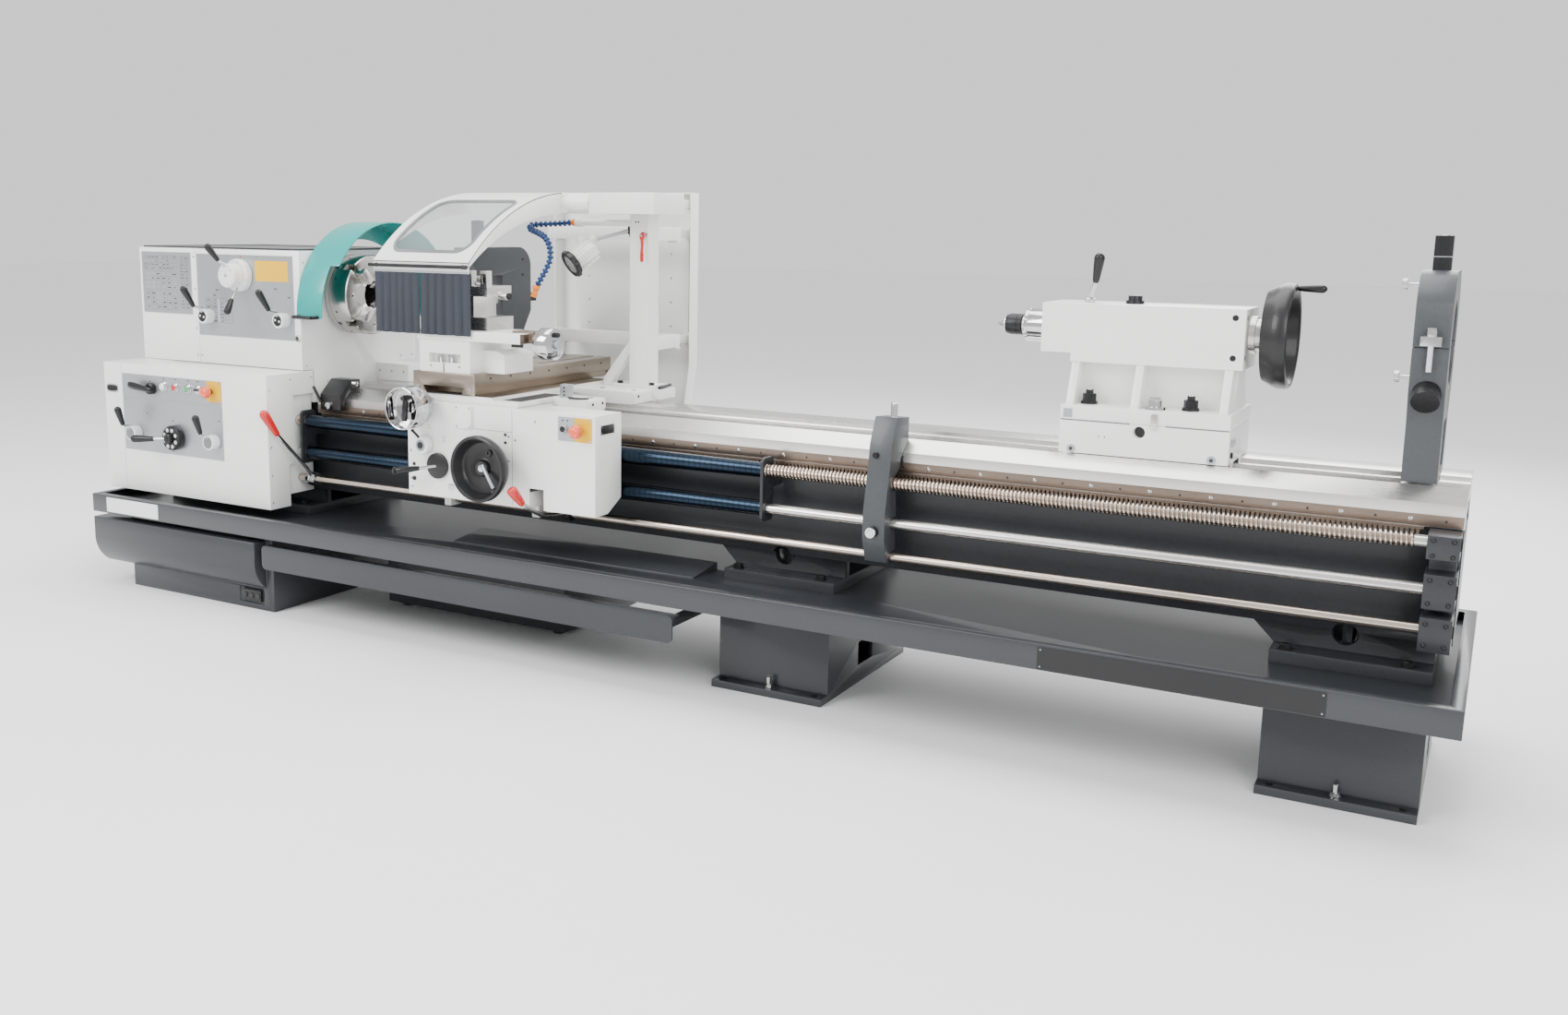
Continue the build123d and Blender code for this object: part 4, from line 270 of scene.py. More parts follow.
class Piece:
    """One named piece, gathered shape by shape in the row frame, in metres."""

    def __init__(self, name):
        self.name = name
        self.mesh = bmesh.new()
        self.finishes = []

    def paint(self, faces, name):
        if name not in self.finishes:
            self.finishes.append(name)
        index = self.finishes.index(name)
        for face in faces:
            face.material_index = index
            face.smooth = True

    def shell(self, points, faces, name):
        verts = [self.mesh.verts.new(p) for p in points]
        self.paint([self.mesh.faces.new([verts[i] for i in face]) for face in faces], name)

    def block(self, low, high, name, edge=0.0012, matrix=None):
        """Box between two corners with its edges broken."""
        low, high = Vector(low), Vector(high)
        part = bmesh.new()
        bmesh.ops.create_cube(part, size=1.0)
        for vert in part.verts:
            vert.co = Vector(((vert.co[i] + 0.5) * (high[i] - low[i]) + low[i]) for i in range(3))
        edge = min(edge, 0.4 * min(high[i] - low[i] for i in range(3)))
        bmesh.ops.bevel(part, geom=part.edges[:], offset=edge, segments=2, profile=0.6,
            affect="EDGES")
        self.take(part, name, matrix)

    def take(self, part, name, matrix=None):
        if matrix is not None:
            part.transform(matrix)
        index = {vert: self.mesh.verts.new(vert.co) for vert in part.verts}
        self.paint([self.mesh.faces.new([index[v] for v in f.verts]) for f in part.faces], name)
        part.free()

    def turned(self, origin, direction, profile, name, steps=40, closed=False):
        """Solid of revolution: profile holds (distance along the axis, radius) pairs."""
        origin, direction = Vector(origin), Vector(direction).normalized()
        right, up = sideways(direction)
        rings = []
        for along, radius in profile:
            ring = []
            for step in range(steps):
                angle = tau * step / steps
                ring.append(self.mesh.verts.new(origin + direction * along + radius * (right *
                    cos(angle) + up * sin(angle))))
            rings.append(ring)
        faces = []
        pairs = list(zip(rings, rings[1:])) + ([(rings[-1], rings[0])] if closed else [])
        for ring, following in pairs:
            for step in range(steps):
                after = (step + 1) % steps
                faces.append(self.mesh.faces.new((ring[step], ring[after], following[after],
                    following[step])))
        if not closed:
            faces.append(self.mesh.faces.new(rings[0][::-1]))
            faces.append(self.mesh.faces.new(rings[-1]))
        self.paint(faces, name)

    def rod(self, start, end, radius, name, steps=24, chamfer=0.15):
        """Plain round bar with chamfered ends."""
        start, end = Vector(start), Vector(end)
        length = (end - start).length
        cut = min(radius * chamfer, length * 0.3)
        self.turned(start, end - start, ((0, radius - cut), (cut, radius), (length - cut, radius),
            (length, radius - cut)), name, steps)

    def tube(self, path, radius, name, steps=14):
        """Round tube along a path of points, with closed ends."""
        path = [Vector(p) for p in path]
        rings, up = [], None
        for index, point in enumerate(path):
            ahead = (path[min(index + 1, len(path) - 1)] - path[max(index - 1, 0)]).normalized()
            up = sideways(ahead)[0] if up is None else (up - ahead * up.dot(ahead)).normalized()
            side = ahead.cross(up)
            size = radius[index] if isinstance(radius, (list, tuple)) else radius
            rings.append([self.mesh.verts.new(point + size * (up * cos(tau * s / steps) + side *
                sin(tau * s / steps))) for s in range(steps)])
        faces = [self.mesh.faces.new((a[s], a[(s + 1) % steps], b[(s + 1) % steps], b[s])) for a,
            b in zip(rings, rings[1:]) for s in range(steps)]
        faces += [self.mesh.faces.new(rings[0][::-1]), self.mesh.faces.new(rings[-1])]
        self.paint(faces, name)

    def prism(self, outline, x0, x1, name, edge=0.0015):
        """Outline of (y, z) points pulled along X, with broken edges."""
        part = bmesh.new()
        front = [part.verts.new((x0, y, z)) for y, z in outline]
        back = [part.verts.new((x1, y, z)) for y, z in outline]
        part.faces.new(front[::-1])
        part.faces.new(back)
        count = len(outline)
        for i in range(count):
            part.faces.new((front[i], front[(i + 1) % count], back[(i + 1) % count], back[i]))
        bmesh.ops.recalc_face_normals(part, faces=part.faces[:])
        if edge:
            sharp = [e for e in part.edges if e.calc_face_angle(0) > 0.5]
            bmesh.ops.bevel(part, geom=sharp, offset=edge, segments=2, profile=0.6, affect="EDGES")
        self.take(part, name)

    def screw(self, place, direction, radius=0.005, name=CHROME, slot=True):
        """Low button-head screw; its hexagon recess is a flat black hexagon of painted shade."""
        place, direction = Vector(place), Vector(direction).normalized()
        self.turned(place, direction, ((0, radius), (radius * 0.35, radius * 0.96), (radius * 0.6,
            radius * 0.7), (radius * 0.62, radius * 0.4)), name, 16)
        # painted shade: a flat black hexagon on the head stands for the shaded hexagon recess
        if slot:
            self.turned(place + direction * radius * 0.622, direction, ((0, radius * 0.36),
                (0.0001, radius * 0.36)), PRINT_AND_SHADE_BLACK, 6)

    def hex_bolt(self, place, direction, radius, height, name=OXIDE, washer=True):
        """Hexagon bolt head on a washer."""
        place, direction = Vector(place), Vector(direction).normalized()
        thick = height * 0.2 if washer else 0.0
        if washer:
            self.turned(place, direction, ((0, radius * 1.25), (thick * 0.8, radius * 1.25),
                (thick, radius * 1.18)), name, 28)
        self.turned(place + direction * thick, direction, ((0, radius), (height * 0.75, radius),
            (height * 0.88, radius * 0.86)), name, 6)

    def written(self, text, place, right, up, size, name=PRINT_AND_SHADE_BLACK):
        """Small raised characters for dial numbers, centred on a place."""
        curve = bpy.data.curves.new("characters", "FONT")
        curve.body = text
        curve.size = size
        curve.extrude = 0.0003
        curve.align_x, curve.align_y = "CENTER", "CENTER"
        holder = bpy.data.objects.new("characters", curve)
        mesh = bpy.data.meshes.new_from_object(holder)
        right, up = Vector(right).normalized(), Vector(up).normalized()
        turn = Matrix((right, up, right.cross(up))).transposed().to_4x4()
        part = bmesh.new()
        part.from_mesh(mesh)
        self.take(part, name, Matrix.Translation(Vector(place)) @ turn)
        bpy.data.objects.remove(holder)
        bpy.data.curves.remove(curve)
        bpy.data.meshes.remove(mesh)

    def place_free(self, angle=34.0, closed=True):
        """Closes the mesh into an object that no body carries yet."""
        mesh = bpy.data.meshes.new(self.name)
        if closed:
            bmesh.ops.recalc_face_normals(self.mesh, faces=self.mesh.faces[:])
        self.mesh.to_mesh(mesh)
        self.mesh.free()
        mesh.set_sharp_from_angle(angle=radians(angle))
        for name in self.finishes:
            mesh.materials.append(FINISH[name])
        piece = bpy.data.objects.new(self.name, mesh)
        bpy.context.scene.collection.objects.link(piece)
        return piece

    def place(self, body, slot, replaces=(), angle=34.0):
        """Closes the mesh into an object that rides on a body."""
        piece = self.place_free(angle)
        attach(piece, body)
        if replaces:
            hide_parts(*replaces)
        return piece


def inside(point, region):
    low, high = region
    return all(low[i] <= point[i] <= high[i] for i in range(3))


def dressed(node, name, edge, regions=(), drop=(), segments=2):
    """Copy of a CAD node with broken edges; regions give boxes their own finish."""
    source = frame["nodes"][node]
    work = bmesh.new()
    work.from_mesh(source.data)
    bmesh.ops.remove_doubles(work, verts=work.verts[:], dist=2e-5)
    gone = [f for f in work.faces if any(inside(f.calc_center_median(), box) for box in drop)]
    bmesh.ops.delete(work, geom=gone, context="FACES")
    bmesh.ops.dissolve_limit(work, angle_limit=radians(0.4), verts=work.verts[:],
        edges=work.edges[:])
    finishes = [name]
    for face in work.faces:
        face.smooth = True
        face.material_index = 0
        for region_name, low, high in regions:
            if inside(face.calc_center_median(), (low, high)):
                if region_name not in finishes:
                    finishes.append(region_name)
                face.material_index = finishes.index(region_name)
    mesh = bpy.data.meshes.new(node + "_body")
    work.to_mesh(mesh)
    work.free()
    for finish_name in finishes:
        mesh.materials.append(FINISH[finish_name])
    piece = bpy.data.objects.new(node + "_dressed", mesh)
    bpy.context.scene.collection.objects.link(piece)
    bevel = piece.modifiers.new("broken edges", "BEVEL")
    bevel.width = edge
    bevel.segments = segments
    bevel.limit_method = "ANGLE"
    bevel.angle_limit = radians(38)
    bevel.use_clamp_overlap = True
    bevel.miter_outer = "MITER_ARC"
    depsgraph = bpy.context.evaluated_depsgraph_get()
    final = bpy.data.meshes.new_from_object(piece.evaluated_get(depsgraph))
    piece.modifiers.clear()
    piece.data = final
    final.set_sharp_from_angle(angle=radians(32))
    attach(piece, BODY_OF[node])
    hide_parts(node)
    return piece


# ---------------------------------------------------------------- user settings
class LatheColours(bpy.types.PropertyGroup):
    """Colours that a user would change."""
    white: bpy.props.FloatVectorProperty(name="Casing white",
        description="Enamel of casings, apron, hood and tailstock", default=(0.84, 0.84, 0.825),
        size=3, subtype="COLOR", min=0, max=1)
    dark: bpy.props.FloatVectorProperty(name="Anthracite",
        description="Enamel of the tray, pedestal and feet", default=(0.026, 0.029, 0.034), size=3,
        subtype="COLOR", min=0, max=1)
    grey: bpy.props.FloatVectorProperty(name="Casting grey",
        description="Enamel of the rests and shaft brackets", default=(0.050, 0.056, 0.062),
        size=3, subtype="COLOR", min=0, max=1)
    teal: bpy.props.FloatVectorProperty(name="Guard teal", description="Enamel of the chuck guard",
        default=(0.0, 0.30, 0.275), size=3, subtype="COLOR", min=0, max=1)
    leather: bpy.props.FloatVectorProperty(name="Curtain leather",
        description="Hide of the pleated curtain", default=(0.018, 0.023, 0.037), size=3,
        subtype="COLOR", min=0, max=1)


class LatheSizes(bpy.types.PropertyGroup):
    """Fine sizes of the visible shapes."""
    casing_edge: bpy.props.FloatProperty(name="Casing edge",
        description="Rounding of sheet casings", default=0.005, min=0.001, max=0.02, unit="LENGTH")
    cast_edge: bpy.props.FloatProperty(name="Casting edge", description="Rounding of castings",
        default=0.004, min=0.001, max=0.02, unit="LENGTH")
    steel_edge: bpy.props.FloatProperty(name="Machined edge",
        description="Chamfer of machined steel", default=0.0012, min=0.0002, max=0.005,
        unit="LENGTH")
    thread_pitch: bpy.props.FloatProperty(name="Thread pitch",
        description="Pitch of the lead screw", default=0.012, min=0.004, max=0.03, unit="LENGTH")
    tooth_pitch: bpy.props.FloatProperty(name="Rack pitch",
        description="Distance from tooth to tooth on the rack", default=0.0126, min=0.006,
        max=0.03, unit="LENGTH")
    strip_pitch: bpy.props.FloatProperty(name="Cover strip",
        description="Visible width of one turn of a spiral cover", default=0.021, min=0.008,
        max=0.06, unit="LENGTH")
    pleats: bpy.props.IntProperty(name="Pleats", description="Strips across the whole curtain",
        default=12, min=4, max=30)


class LathePart:
    """Shared settings of the operators."""
    bl_options = {"REGISTER"}

    @property
    def sizes(self):
        return bpy.context.scene.lathe_sizes


# ---------------------------------------------------------------- stage
class LATHE_OT_stage(LathePart, bpy.types.Operator):
    """Lays the floor, the soft lights and the camera."""
    bl_idname = "lathe.stage"
    bl_label = "Stage"

    def execute(self, context):
        mix_finishes(context.scene.lathe_colours)
        mesh = bpy.data.meshes.new("studio_floor")
        reach = 40.0
        mesh.from_pydata([(-reach, -reach, 0), (reach, -reach, 0), (reach, reach, 0), (-reach,
            reach, 0)], [], [(0, 1, 2, 3)])
        mesh.materials.append(FINISH[FLOOR])
        floor = bpy.data.objects.new("studio_floor", mesh)
        context.scene.collection.objects.link(floor)
        world = bpy.data.worlds.new("studio")
        world.use_nodes = True
        world.node_tree.nodes["Background"].inputs[0].default_value = (1.0, 1.0, 1.0, 1)
        world.node_tree.nodes["Background"].inputs[1].default_value = 1.1
        context.scene.world = world
        for name, place, aim, size, power in (("key", (-3.5, -6.0, 5.5), (0, 0, 0.8), 4.0, 620),
                ("fill", (5.5, -4.5, 4.0), (0.5, 0, 0.8), 4.0, 300), ("top", (0.0, 0.5, 6.0), (0,
                0, 0.8), 5.0, 420), ("rim", (1.5, 5.0, 4.0), (0, 0, 1.0), 3.5, 260)):
            light = bpy.data.lights.new(name, "AREA")
            light.shape, light.size, light.energy = "SQUARE", size, power
            lamp = bpy.data.objects.new(name, light)
            lamp.location = place
            lamp.rotation_euler = (Vector(aim) - Vector(place)).to_track_quat("-Z", "Y").to_euler()
            context.scene.collection.objects.link(lamp)
        self.camera(context)
        return {"FINISHED"}

    def camera(self, context):
        """Camera at standing height, in front of the tailstock end."""
        pan, tilt, roll = radians(30.185), radians(9.530), radians(-0.639)
        forward = Vector((-sin(pan) * cos(tilt), cos(pan) * cos(tilt), -sin(tilt)))
        level = Vector((cos(pan), sin(pan), 0))
        down = forward.cross(level)
        right = level * cos(roll) + down * sin(roll)
        drop = down * cos(roll) - level * sin(roll)
        turn = Matrix((right, -drop, -forward)).transposed().to_4x4()
        lens = bpy.data.cameras.new("camera")
        lens.lens, lens.sensor_width = 32.33, 36.0
        lens.shift_x, lens.shift_y = 0.0589, -0.0295
        lens.clip_end = 200
        camera = bpy.data.objects.new("camera", lens)
        camera.matrix_world = Matrix.Translation((2.5173, -4.2426, 1.5004)) @ turn
        context.scene.collection.objects.link(camera)
        context.scene.camera = camera


# ---------------------------------------------------------------- tray, bed, feet
class LATHE_OT_base(LathePart, bpy.types.Operator):
    """Tray, bed, pedestal, feet, tank and treadle, with their bolts and the pedestal's hatch and
    socket.
    """
    bl_idname = "lathe.base"
    bl_label = "Tray, bed and feet"

    def execute(self, context):
        dressed("chip_tray", DARK, 0.003)
        dressed("bed_casting", BED, self.sizes.cast_edge)
        dressed("left_pedestal", DARK, 0.006)
        dressed("feet", DARK, self.sizes.cast_edge)
        dressed("coolant_tank", DARK, 0.003)
        dressed("brake_treadle", DARK, 0.0015)
        self.bolts()
        return {"FINISHED"}

    def bolts(self):
        """Foot anchors and the bolts of the bed pads."""
        low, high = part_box("feet")
        anchors = Piece("foot_anchor_bolts")
        for left, right in ((at(2838), at(3233)), (at(4523), at(4918))):
            for y in (low.y + 0.0265, high.y - 0.0265):
                anchors.hex_bolt(((left + right) / 2, y, 0.0255), Z, 0.013, 0.012, CHROME)
                anchors.turned(((left + right) / 2, y, 0.0375), Z, mm((0, 8), (22, 8), (24, 6.5)),
                    CHROME, 20)
                for x in (left + 0.034, right - 0.034):
                    anchors.turned((x, y, 0.0252), Z, mm((0, 10), (1.5, 10), (2, 9)), OXIDE, 20)
        anchors.place("base", "chrome_plate")
        low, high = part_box("bed_casting")
        pads = Piece("bed_pad_bolts")
        for left, right in ((at(160), at(960)), (at(2838), at(3233)), (at(4523), at(4918))):
            for x in (left + 0.038, right - 0.058):
                for y in (low.y + 0.028, high.y - 0.028):
                    pads.hex_bolt((x, y, 0.3853), Z, 0.015, 0.014, OXIDE)
        pads.place("base", "cast_black")
        seam = Piece("pedestal_hatch")
        low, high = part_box("left_pedestal")
        seam.block((at(560), -0.4868, 0.24), (at(850), -0.4848, 0.285), DARK)
        socket = at(970 - 122)
        seam.block((socket - 0.05, -0.4862, 0.03), (socket + 0.05, -0.4778, 0.075), CASTING)
        for x in (-0.035, 0.0, 0.035):
            seam.turned((socket + x, -0.4862, 0.052), -Y, mm((0, 11), (3, 11), (4, 9)), RUBBER, 18)
        seam.place("base", "dark_paint")


class LATHE_OT_ways(LathePart, bpy.types.Operator):
    """Ground vee and flat ways with the toothed rack and its screws."""
    bl_idname = "lathe.ways"
    bl_label = "Guideways and rack"

    def execute(self, context):
        low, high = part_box("guideways")
        top, front, back = high.z, low.y, high.y
        base = top - 0.063
        ways = Piece("ground_ways")
        ways.prism([(front, top - 0.1), (front, top - 0.038), (front + 0.05, top), (front + 0.09,
            top - 0.03), (front + 0.09, top - 0.015), (front + 0.14, top - 0.015), (front + 0.14,
            base), (front + 0.025, base), (front + 0.025, top - 0.1)], low.x, high.x, GROUND,
            0.001)
        ways.prism([(0.02, base), (0.02, top - 0.015), (0.059, top - 0.015), (0.059, top - 0.003),
            (back, top - 0.003), (back, base + 0.012), (back - 0.02, base + 0.012), (back - 0.02,
            base)], low.x, high.x, GROUND, 0.001)
        # the front face below the vee is ground less finely and keeps an oily brown tone
        ways.block((low.x + 0.002, front - 0.0005, top - 0.0985), (high.x - 0.002, front + 0.001,
            top - 0.068), RACK, 0.0002)
        ways.place("base", "ground_steel", ["guideways"])
        rack = Piece("gear_rack")
        start, end = low.x + 0.015, high.x - 0.092
        y0, y1 = front + 0.0005, front + 0.0245
        root, tip = top - 0.1085, low.z
        rack.block((start, y0, root), (end, y1, top - 0.1), RACK, 0.0008)
        pitch = self.sizes.tooth_pitch
        for index in range(int((end - start) / pitch)):
            x = start + index * pitch + pitch * 0.5
            foot, head = pitch * 0.36, pitch * 0.17
            rack.shell([(x - foot, y0, root), (x + foot, y0, root), (x + head, y0, tip), (x - head,
                y0, tip), (x - foot, y1, root), (x + foot, y1, root), (x + head, y1, tip),
                (x - head, y1, tip)], [(0, 1, 2, 3), (5, 4, 7, 6), (1, 5, 6, 2), (4, 0, 3, 7), (3,
                2, 6, 7)], RACK)
        # bright screws and dowel holes take turns along the rack's strip; each dowel hole is a
        # flat black disc of painted shade
        station = start + 0.06
        while station < end:
            spot = (station, front + 0.0003, top - 0.083)
            rack.turned(spot, -Y, mm((0, 6.2), (1.6, 6), (2.4, 4.4)), CHROME, 16)
            rack.turned((station + 0.0825, front - 0.0002, top - 0.083), -Y, mm((0, 3.6), (0.4,
                3.6)), PRINT_AND_SHADE_BLACK, 14)
            station += 0.165
        rack.place("base", "ground_steel")
        return {"FINISHED"}


# ---------------------------------------------------------------- shafts and covers
def helix(piece, start, end, y, z, radius, pitch, profile, name, steps=16):
    """Winds a profile of (share of the pitch, radius change) pairs round a shaft along X."""
    count = int((end - start) / pitch * steps)
    rows = []
    for index in range(count + 1):
        angle = tau * index / steps
        base = start + pitch * index / steps
        row = []
        for share, change in profile:
            x = min(base + share * pitch, end)
            size = (radius(x) if callable(radius) else radius) + change
            row.append(piece.mesh.verts.new((x, y + size * cos(angle), z + size * sin(angle))))
        rows.append(row)
    faces = []
    for index in range(count):
        here, ahead = rows[index], rows[index + 1]
        for a, b in zip(range(len(profile) - 1), range(1, len(profile))):
            faces.append(piece.mesh.faces.new((here[a], here[b], ahead[b], ahead[a])))
        if index + steps < count:
            faces.append(piece.mesh.faces.new((here[-1], rows[index + steps][0],
                rows[index + steps + 1][0], ahead[-1])))
    piece.paint(faces, name)


class LATHE_OT_shafts(LathePart, bpy.types.Operator):
    """Lead screw, feed rod, start rod and its left lever, brackets and rod support."""
    bl_idname = "lathe.shafts"
    bl_label = "Shafts and brackets"

    def execute(self, context):
        low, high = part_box("lead_screw")
        y, z = (low.y + high.y) / 2, (low.z + high.z) / 2
        radius = (high.z - low.z) / 2
        screw = Piece("threaded_lead_screw")
        thread = (at(2996), at(4845))
        screw.rod((low.x, y, z), (thread[0], y, z), radius, BRIGHT, 32)
        helix(screw, thread[0], thread[1], y, z, radius, self.sizes.thread_pitch, ((0.0, -0.0062),
            (0.14, 0.0), (0.5, 0.0), (0.64, -0.0062)), BRIGHT)
        screw.rod((thread[0], y, z), (thread[1], y, z), radius - 0.0058, RACK, 24)
        screw.rod((thread[1], y, z), (high.x, y, z), radius - 0.004, GROUND, 32)
        screw.place("lead_screw", "ground_steel", ["lead_screw"], 40)
        low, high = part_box("feed_rod")
        y, z, radius = (low.y + high.y) / 2, (low.z + high.z) / 2, (high.y - low.y) / 2
        rod = Piece("keyed_feed_rod")
        outline = []
        for step in range(33):
            angle = radians(90 + 15 + 330 * step / 32)
            outline.append((y + radius * cos(angle), z + radius * sin(angle)))
        outline += [(y + 0.004, z + radius - 0.004), (y - 0.004, z + radius - 0.004)]
        rod.prism(outline, low.x, high.x, GROUND, 0)
        rod.place("feed_rod", "ground_steel", ["feed_rod"])
        self.start_rod()
        self.brackets()
        return {"FINISHED"}

    def start_rod(self):
        low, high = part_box("start_rod")
        y, z = -0.280, 0.500
        rod = Piece("start_rod_with_lever")
        rod.rod((low.x, y, z), (high.x, y, z), 0.015, BRIGHT, 28)
        hub = at(1000)
        rod.turned((hub - 0.030, y, z), X, mm((0, 20), (3, 25.5), (18, 26.5), (20, 23.5), (23,
            23.5), (25, 27), (49, 27), (52, 22)), CHROME, 36)
        rod.screw((hub + 0.012, y - 0.0265, z), -Y, 0.005)
        rod.tube([(hub, y - 0.016, z + 0.016), (hub - 0.004, -0.318, 0.548), (at(974), -0.440,
            0.690)], 0.0075, CHROME, 16)
        grip_on(rod, (at(974), -0.440, 0.690), (at(964), -0.505, 0.790), 0.0185, RED)
        rod.place("start_rod", "ground_steel", ["start_rod"])

    def brackets(self):
        dressed("rod_brackets", BED, 0.003)
        ends = Piece("bracket_caps_and_screws")
        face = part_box("rod_brackets")[1].x
        for z, radius in ((0.728, 0.013), (0.604, 0.013), (0.500, 0.012)):
            ends.turned((face + 0.0002, -0.28, z), X, ((0, radius + 0.006), (0.003,
                radius + 0.006), (0.0045, radius + 0.004)), OXIDE, 28)
        for z, front in ((0.762 - 0.022, -0.3182), (0.700, -0.3182), (0.575, -0.3122), (0.636,
                -0.3122), (0.470, -0.3262), (0.525, -0.3262)):
            for x in (at(4891), at(4938)):
                ends.screw((x, front, z), -Y, 0.006, OXIDE)
        for x in (at(962) - 0.0002, at(2994) + 0.0002):
            direction = -X if x < 0 and x < at(1500) else X
            for z in (0.690, 0.650):
                ends.screw((x, -0.262, z), direction, 0.005, OXIDE)
        ends.place("base", "grey_paint")
        dressed("rod_support", GREY, 0.006, segments=3, regions=[(OXIDE, (-2, -0.36, 0.56), (2.5,
            -0.3385, 0.61)), (CHROME, (-2, -0.25, 0.931), (2.5, -0.22, 0.97))])
        knob = Piece("rod_support_screw")
        x = (at(3352) + at(3424)) / 2
        ribbed_knob(knob, (x, -0.3525, 0.585), -Y, 0.0172, 0.012, CHROME)
        knob.hex_bolt((x - 0.012, -0.3005, 0.815), Vector((0, -0.99, 0.12)), 0.010, 0.012)
        knob.turned((at(3402), -0.235, 0.965), Z, mm((0, 11.2), (4, 11.2), (7, 8)), CHROME, 20)
        knob.place("rod_support", "chrome_plate")
        dressed("carriage_stop", CASTING, 0.0025, regions=[(CHROME, (at(970), -0.18, 0.86),
            (at(999), -0.15, 0.885)), (CHROME, (at(1106), -0.18, 0.86), (at(1130), -0.15, 0.885)),
            (CHROME, (at(1030), -0.26, 0.775), (at(1075), -0.2365, 0.805))])


class LATHE_OT_covers(LathePart, bpy.types.Operator):
    """Telescopic spiral covers, wound as tapered helical strips where the CAD covers stand."""
    bl_idname = "lathe.spiral_covers"
    bl_label = "Spiral covers"

    def execute(self, context):
        for node, grows in (("screw_cover_left", 1), ("screw_cover_right", -1)):
            low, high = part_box(node)
            for tag, z in (("upper", 0.728), ("lower", 0.604)):
                cover = Piece(f"{node}_{tag}")
                y = (low.y + high.y) / 2
                small, large = 0.0245, 0.0318

                def radius(x, low=low, high=high, grows=grows):
                    share = (x - low.x) / (high.x - low.x)
                    return small + (large - small) * (share if grows > 0 else 1 - share)

                # each turn laps over the next one, so the section is a shallow saw tooth
                rise = ((0.0, -0.0014), (0.04, 0.0), (0.94, -0.0008 * grows - 0.0006))
                if grows < 0:
                    rise = ((0.0, -0.0002), (0.94, 0.0), (0.98, -0.0014))
                helix(cover, low.x, high.x, y, z, radius, self.sizes.strip_pitch, rise, BLUED, 28)
                piece = cover.place_free()
                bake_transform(piece)
                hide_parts(node)
        return {"FINISHED"}


def grip_on(piece, start, end, radius, name):
    """Tapered hand grip with a collar at its foot and a rounded tip."""
    start, end = Vector(start), Vector(end)
    length = (end - start).length
    profile = [(0, radius * 0.50), (0.004, radius * 0.60), (length * 0.10, radius * 0.66),
        (length * 0.55, radius * 0.90), (length * 0.82, radius)]
    for step in range(1, 6):
        angle = radians(90 * step / 5)
        profile.append((length * (0.82 + 0.18 * sin(angle)), max(radius * cos(angle),
            radius * 0.12)))
    piece.turned(start, end - start, profile, name, 28)


def ribbed_knob(piece, start, direction, radius, length, name, ribs=36):
    """Knob with a straight-knurled rim and chamfered ends."""
    start, direction = Vector(start), Vector(direction).normalized()
    right, up = sideways(direction)
    rings = []
    for along, size, knurl in ((0, 0.9, 0), (length * 0.1, 1.0, 1), (length * 0.9, 1.0, 1),
            (length, 0.9, 0), (length, 0.5, 0), (length * 0.94, 0.44, 0)):
        ring = []
        for step in range(ribs * 2):
            angle = tau * step / (ribs * 2)
            reach = radius * (size - (0.05 if knurl and step % 2 else 0))
            ring.append(piece.mesh.verts.new(start + direction * along + reach * (right *
                cos(angle) + up * sin(angle))))
        rings.append(ring)
    faces = [piece.mesh.faces.new((a[s], a[(s + 1) % len(a)], b[(s + 1) % len(a)], b[s])) for a,
        b in zip(rings, rings[1:]) for s in range(len(a))]
    faces += [piece.mesh.faces.new(rings[0][::-1]), piece.mesh.faces.new(rings[-1])]
    piece.paint(faces, name)


# ---------------------------------------------------------------- headstock
def keep(node, name):
    """Leaves a CAD node showing, with a procedural finish."""
    mesh = frame["nodes"][node].data
    mesh.materials.clear()
    mesh.materials.append(FINISH[name])
    for face in mesh.polygons:
        face.material_index = 0
    mesh.set_sharp_from_angle(angle=radians(32))


def plate(piece, x0, x1, z0, z1, y, thick=0.0018, name=ALLOY, corner=0.003, screws=()):
    """Thin plate with rounded corners on a face that looks along -Y; y is the face it lies on."""
    part = bmesh.new()
    ring = []
    for cx, cz, start in ((x1 - corner, z1 - corner, 0), (x0 + corner, z1 - corner, 90),
            (x0 + corner, z0 + corner, 180), (x1 - corner, z0 + corner, 270)):
        for step in range(5):
            angle = radians(start + 90 * step / 4)
            ring.append((cx + corner * cos(angle), cz + corner * sin(angle)))
    front = [part.verts.new((x, y - thick, z)) for x, z in ring]
    back = [part.verts.new((x, y + 0.0002, z)) for x, z in ring]
    part.faces.new(front)
    part.faces.new(back[::-1])
    for i in range(len(ring)):
        j = (i + 1) % len(ring)
        part.faces.new((front[i], front[j], back[j], back[i]))
    piece.take(part, name)
    for x, z in screws:
        piece.screw((x, y - thick - 0.0001, z), -Y, 0.0042, CHROME)


def edge_screws(x0, x1, z0, z1, across, down, inset=0.008):
    """Places evenly spread round the rim of a plate."""
    places = []
    for i in range(across):
        x = x0 + inset + (x1 - x0 - 2 * inset) * i / (across - 1)
        places += [(x, z0 + inset), (x, z1 - inset)]
    for i in range(1, down - 1):
        z = z0 + inset + (z1 - z0 - 2 * inset) * i / (down - 1)
        places += [(x0 + inset, z), (x1 - inset, z)]
    return places


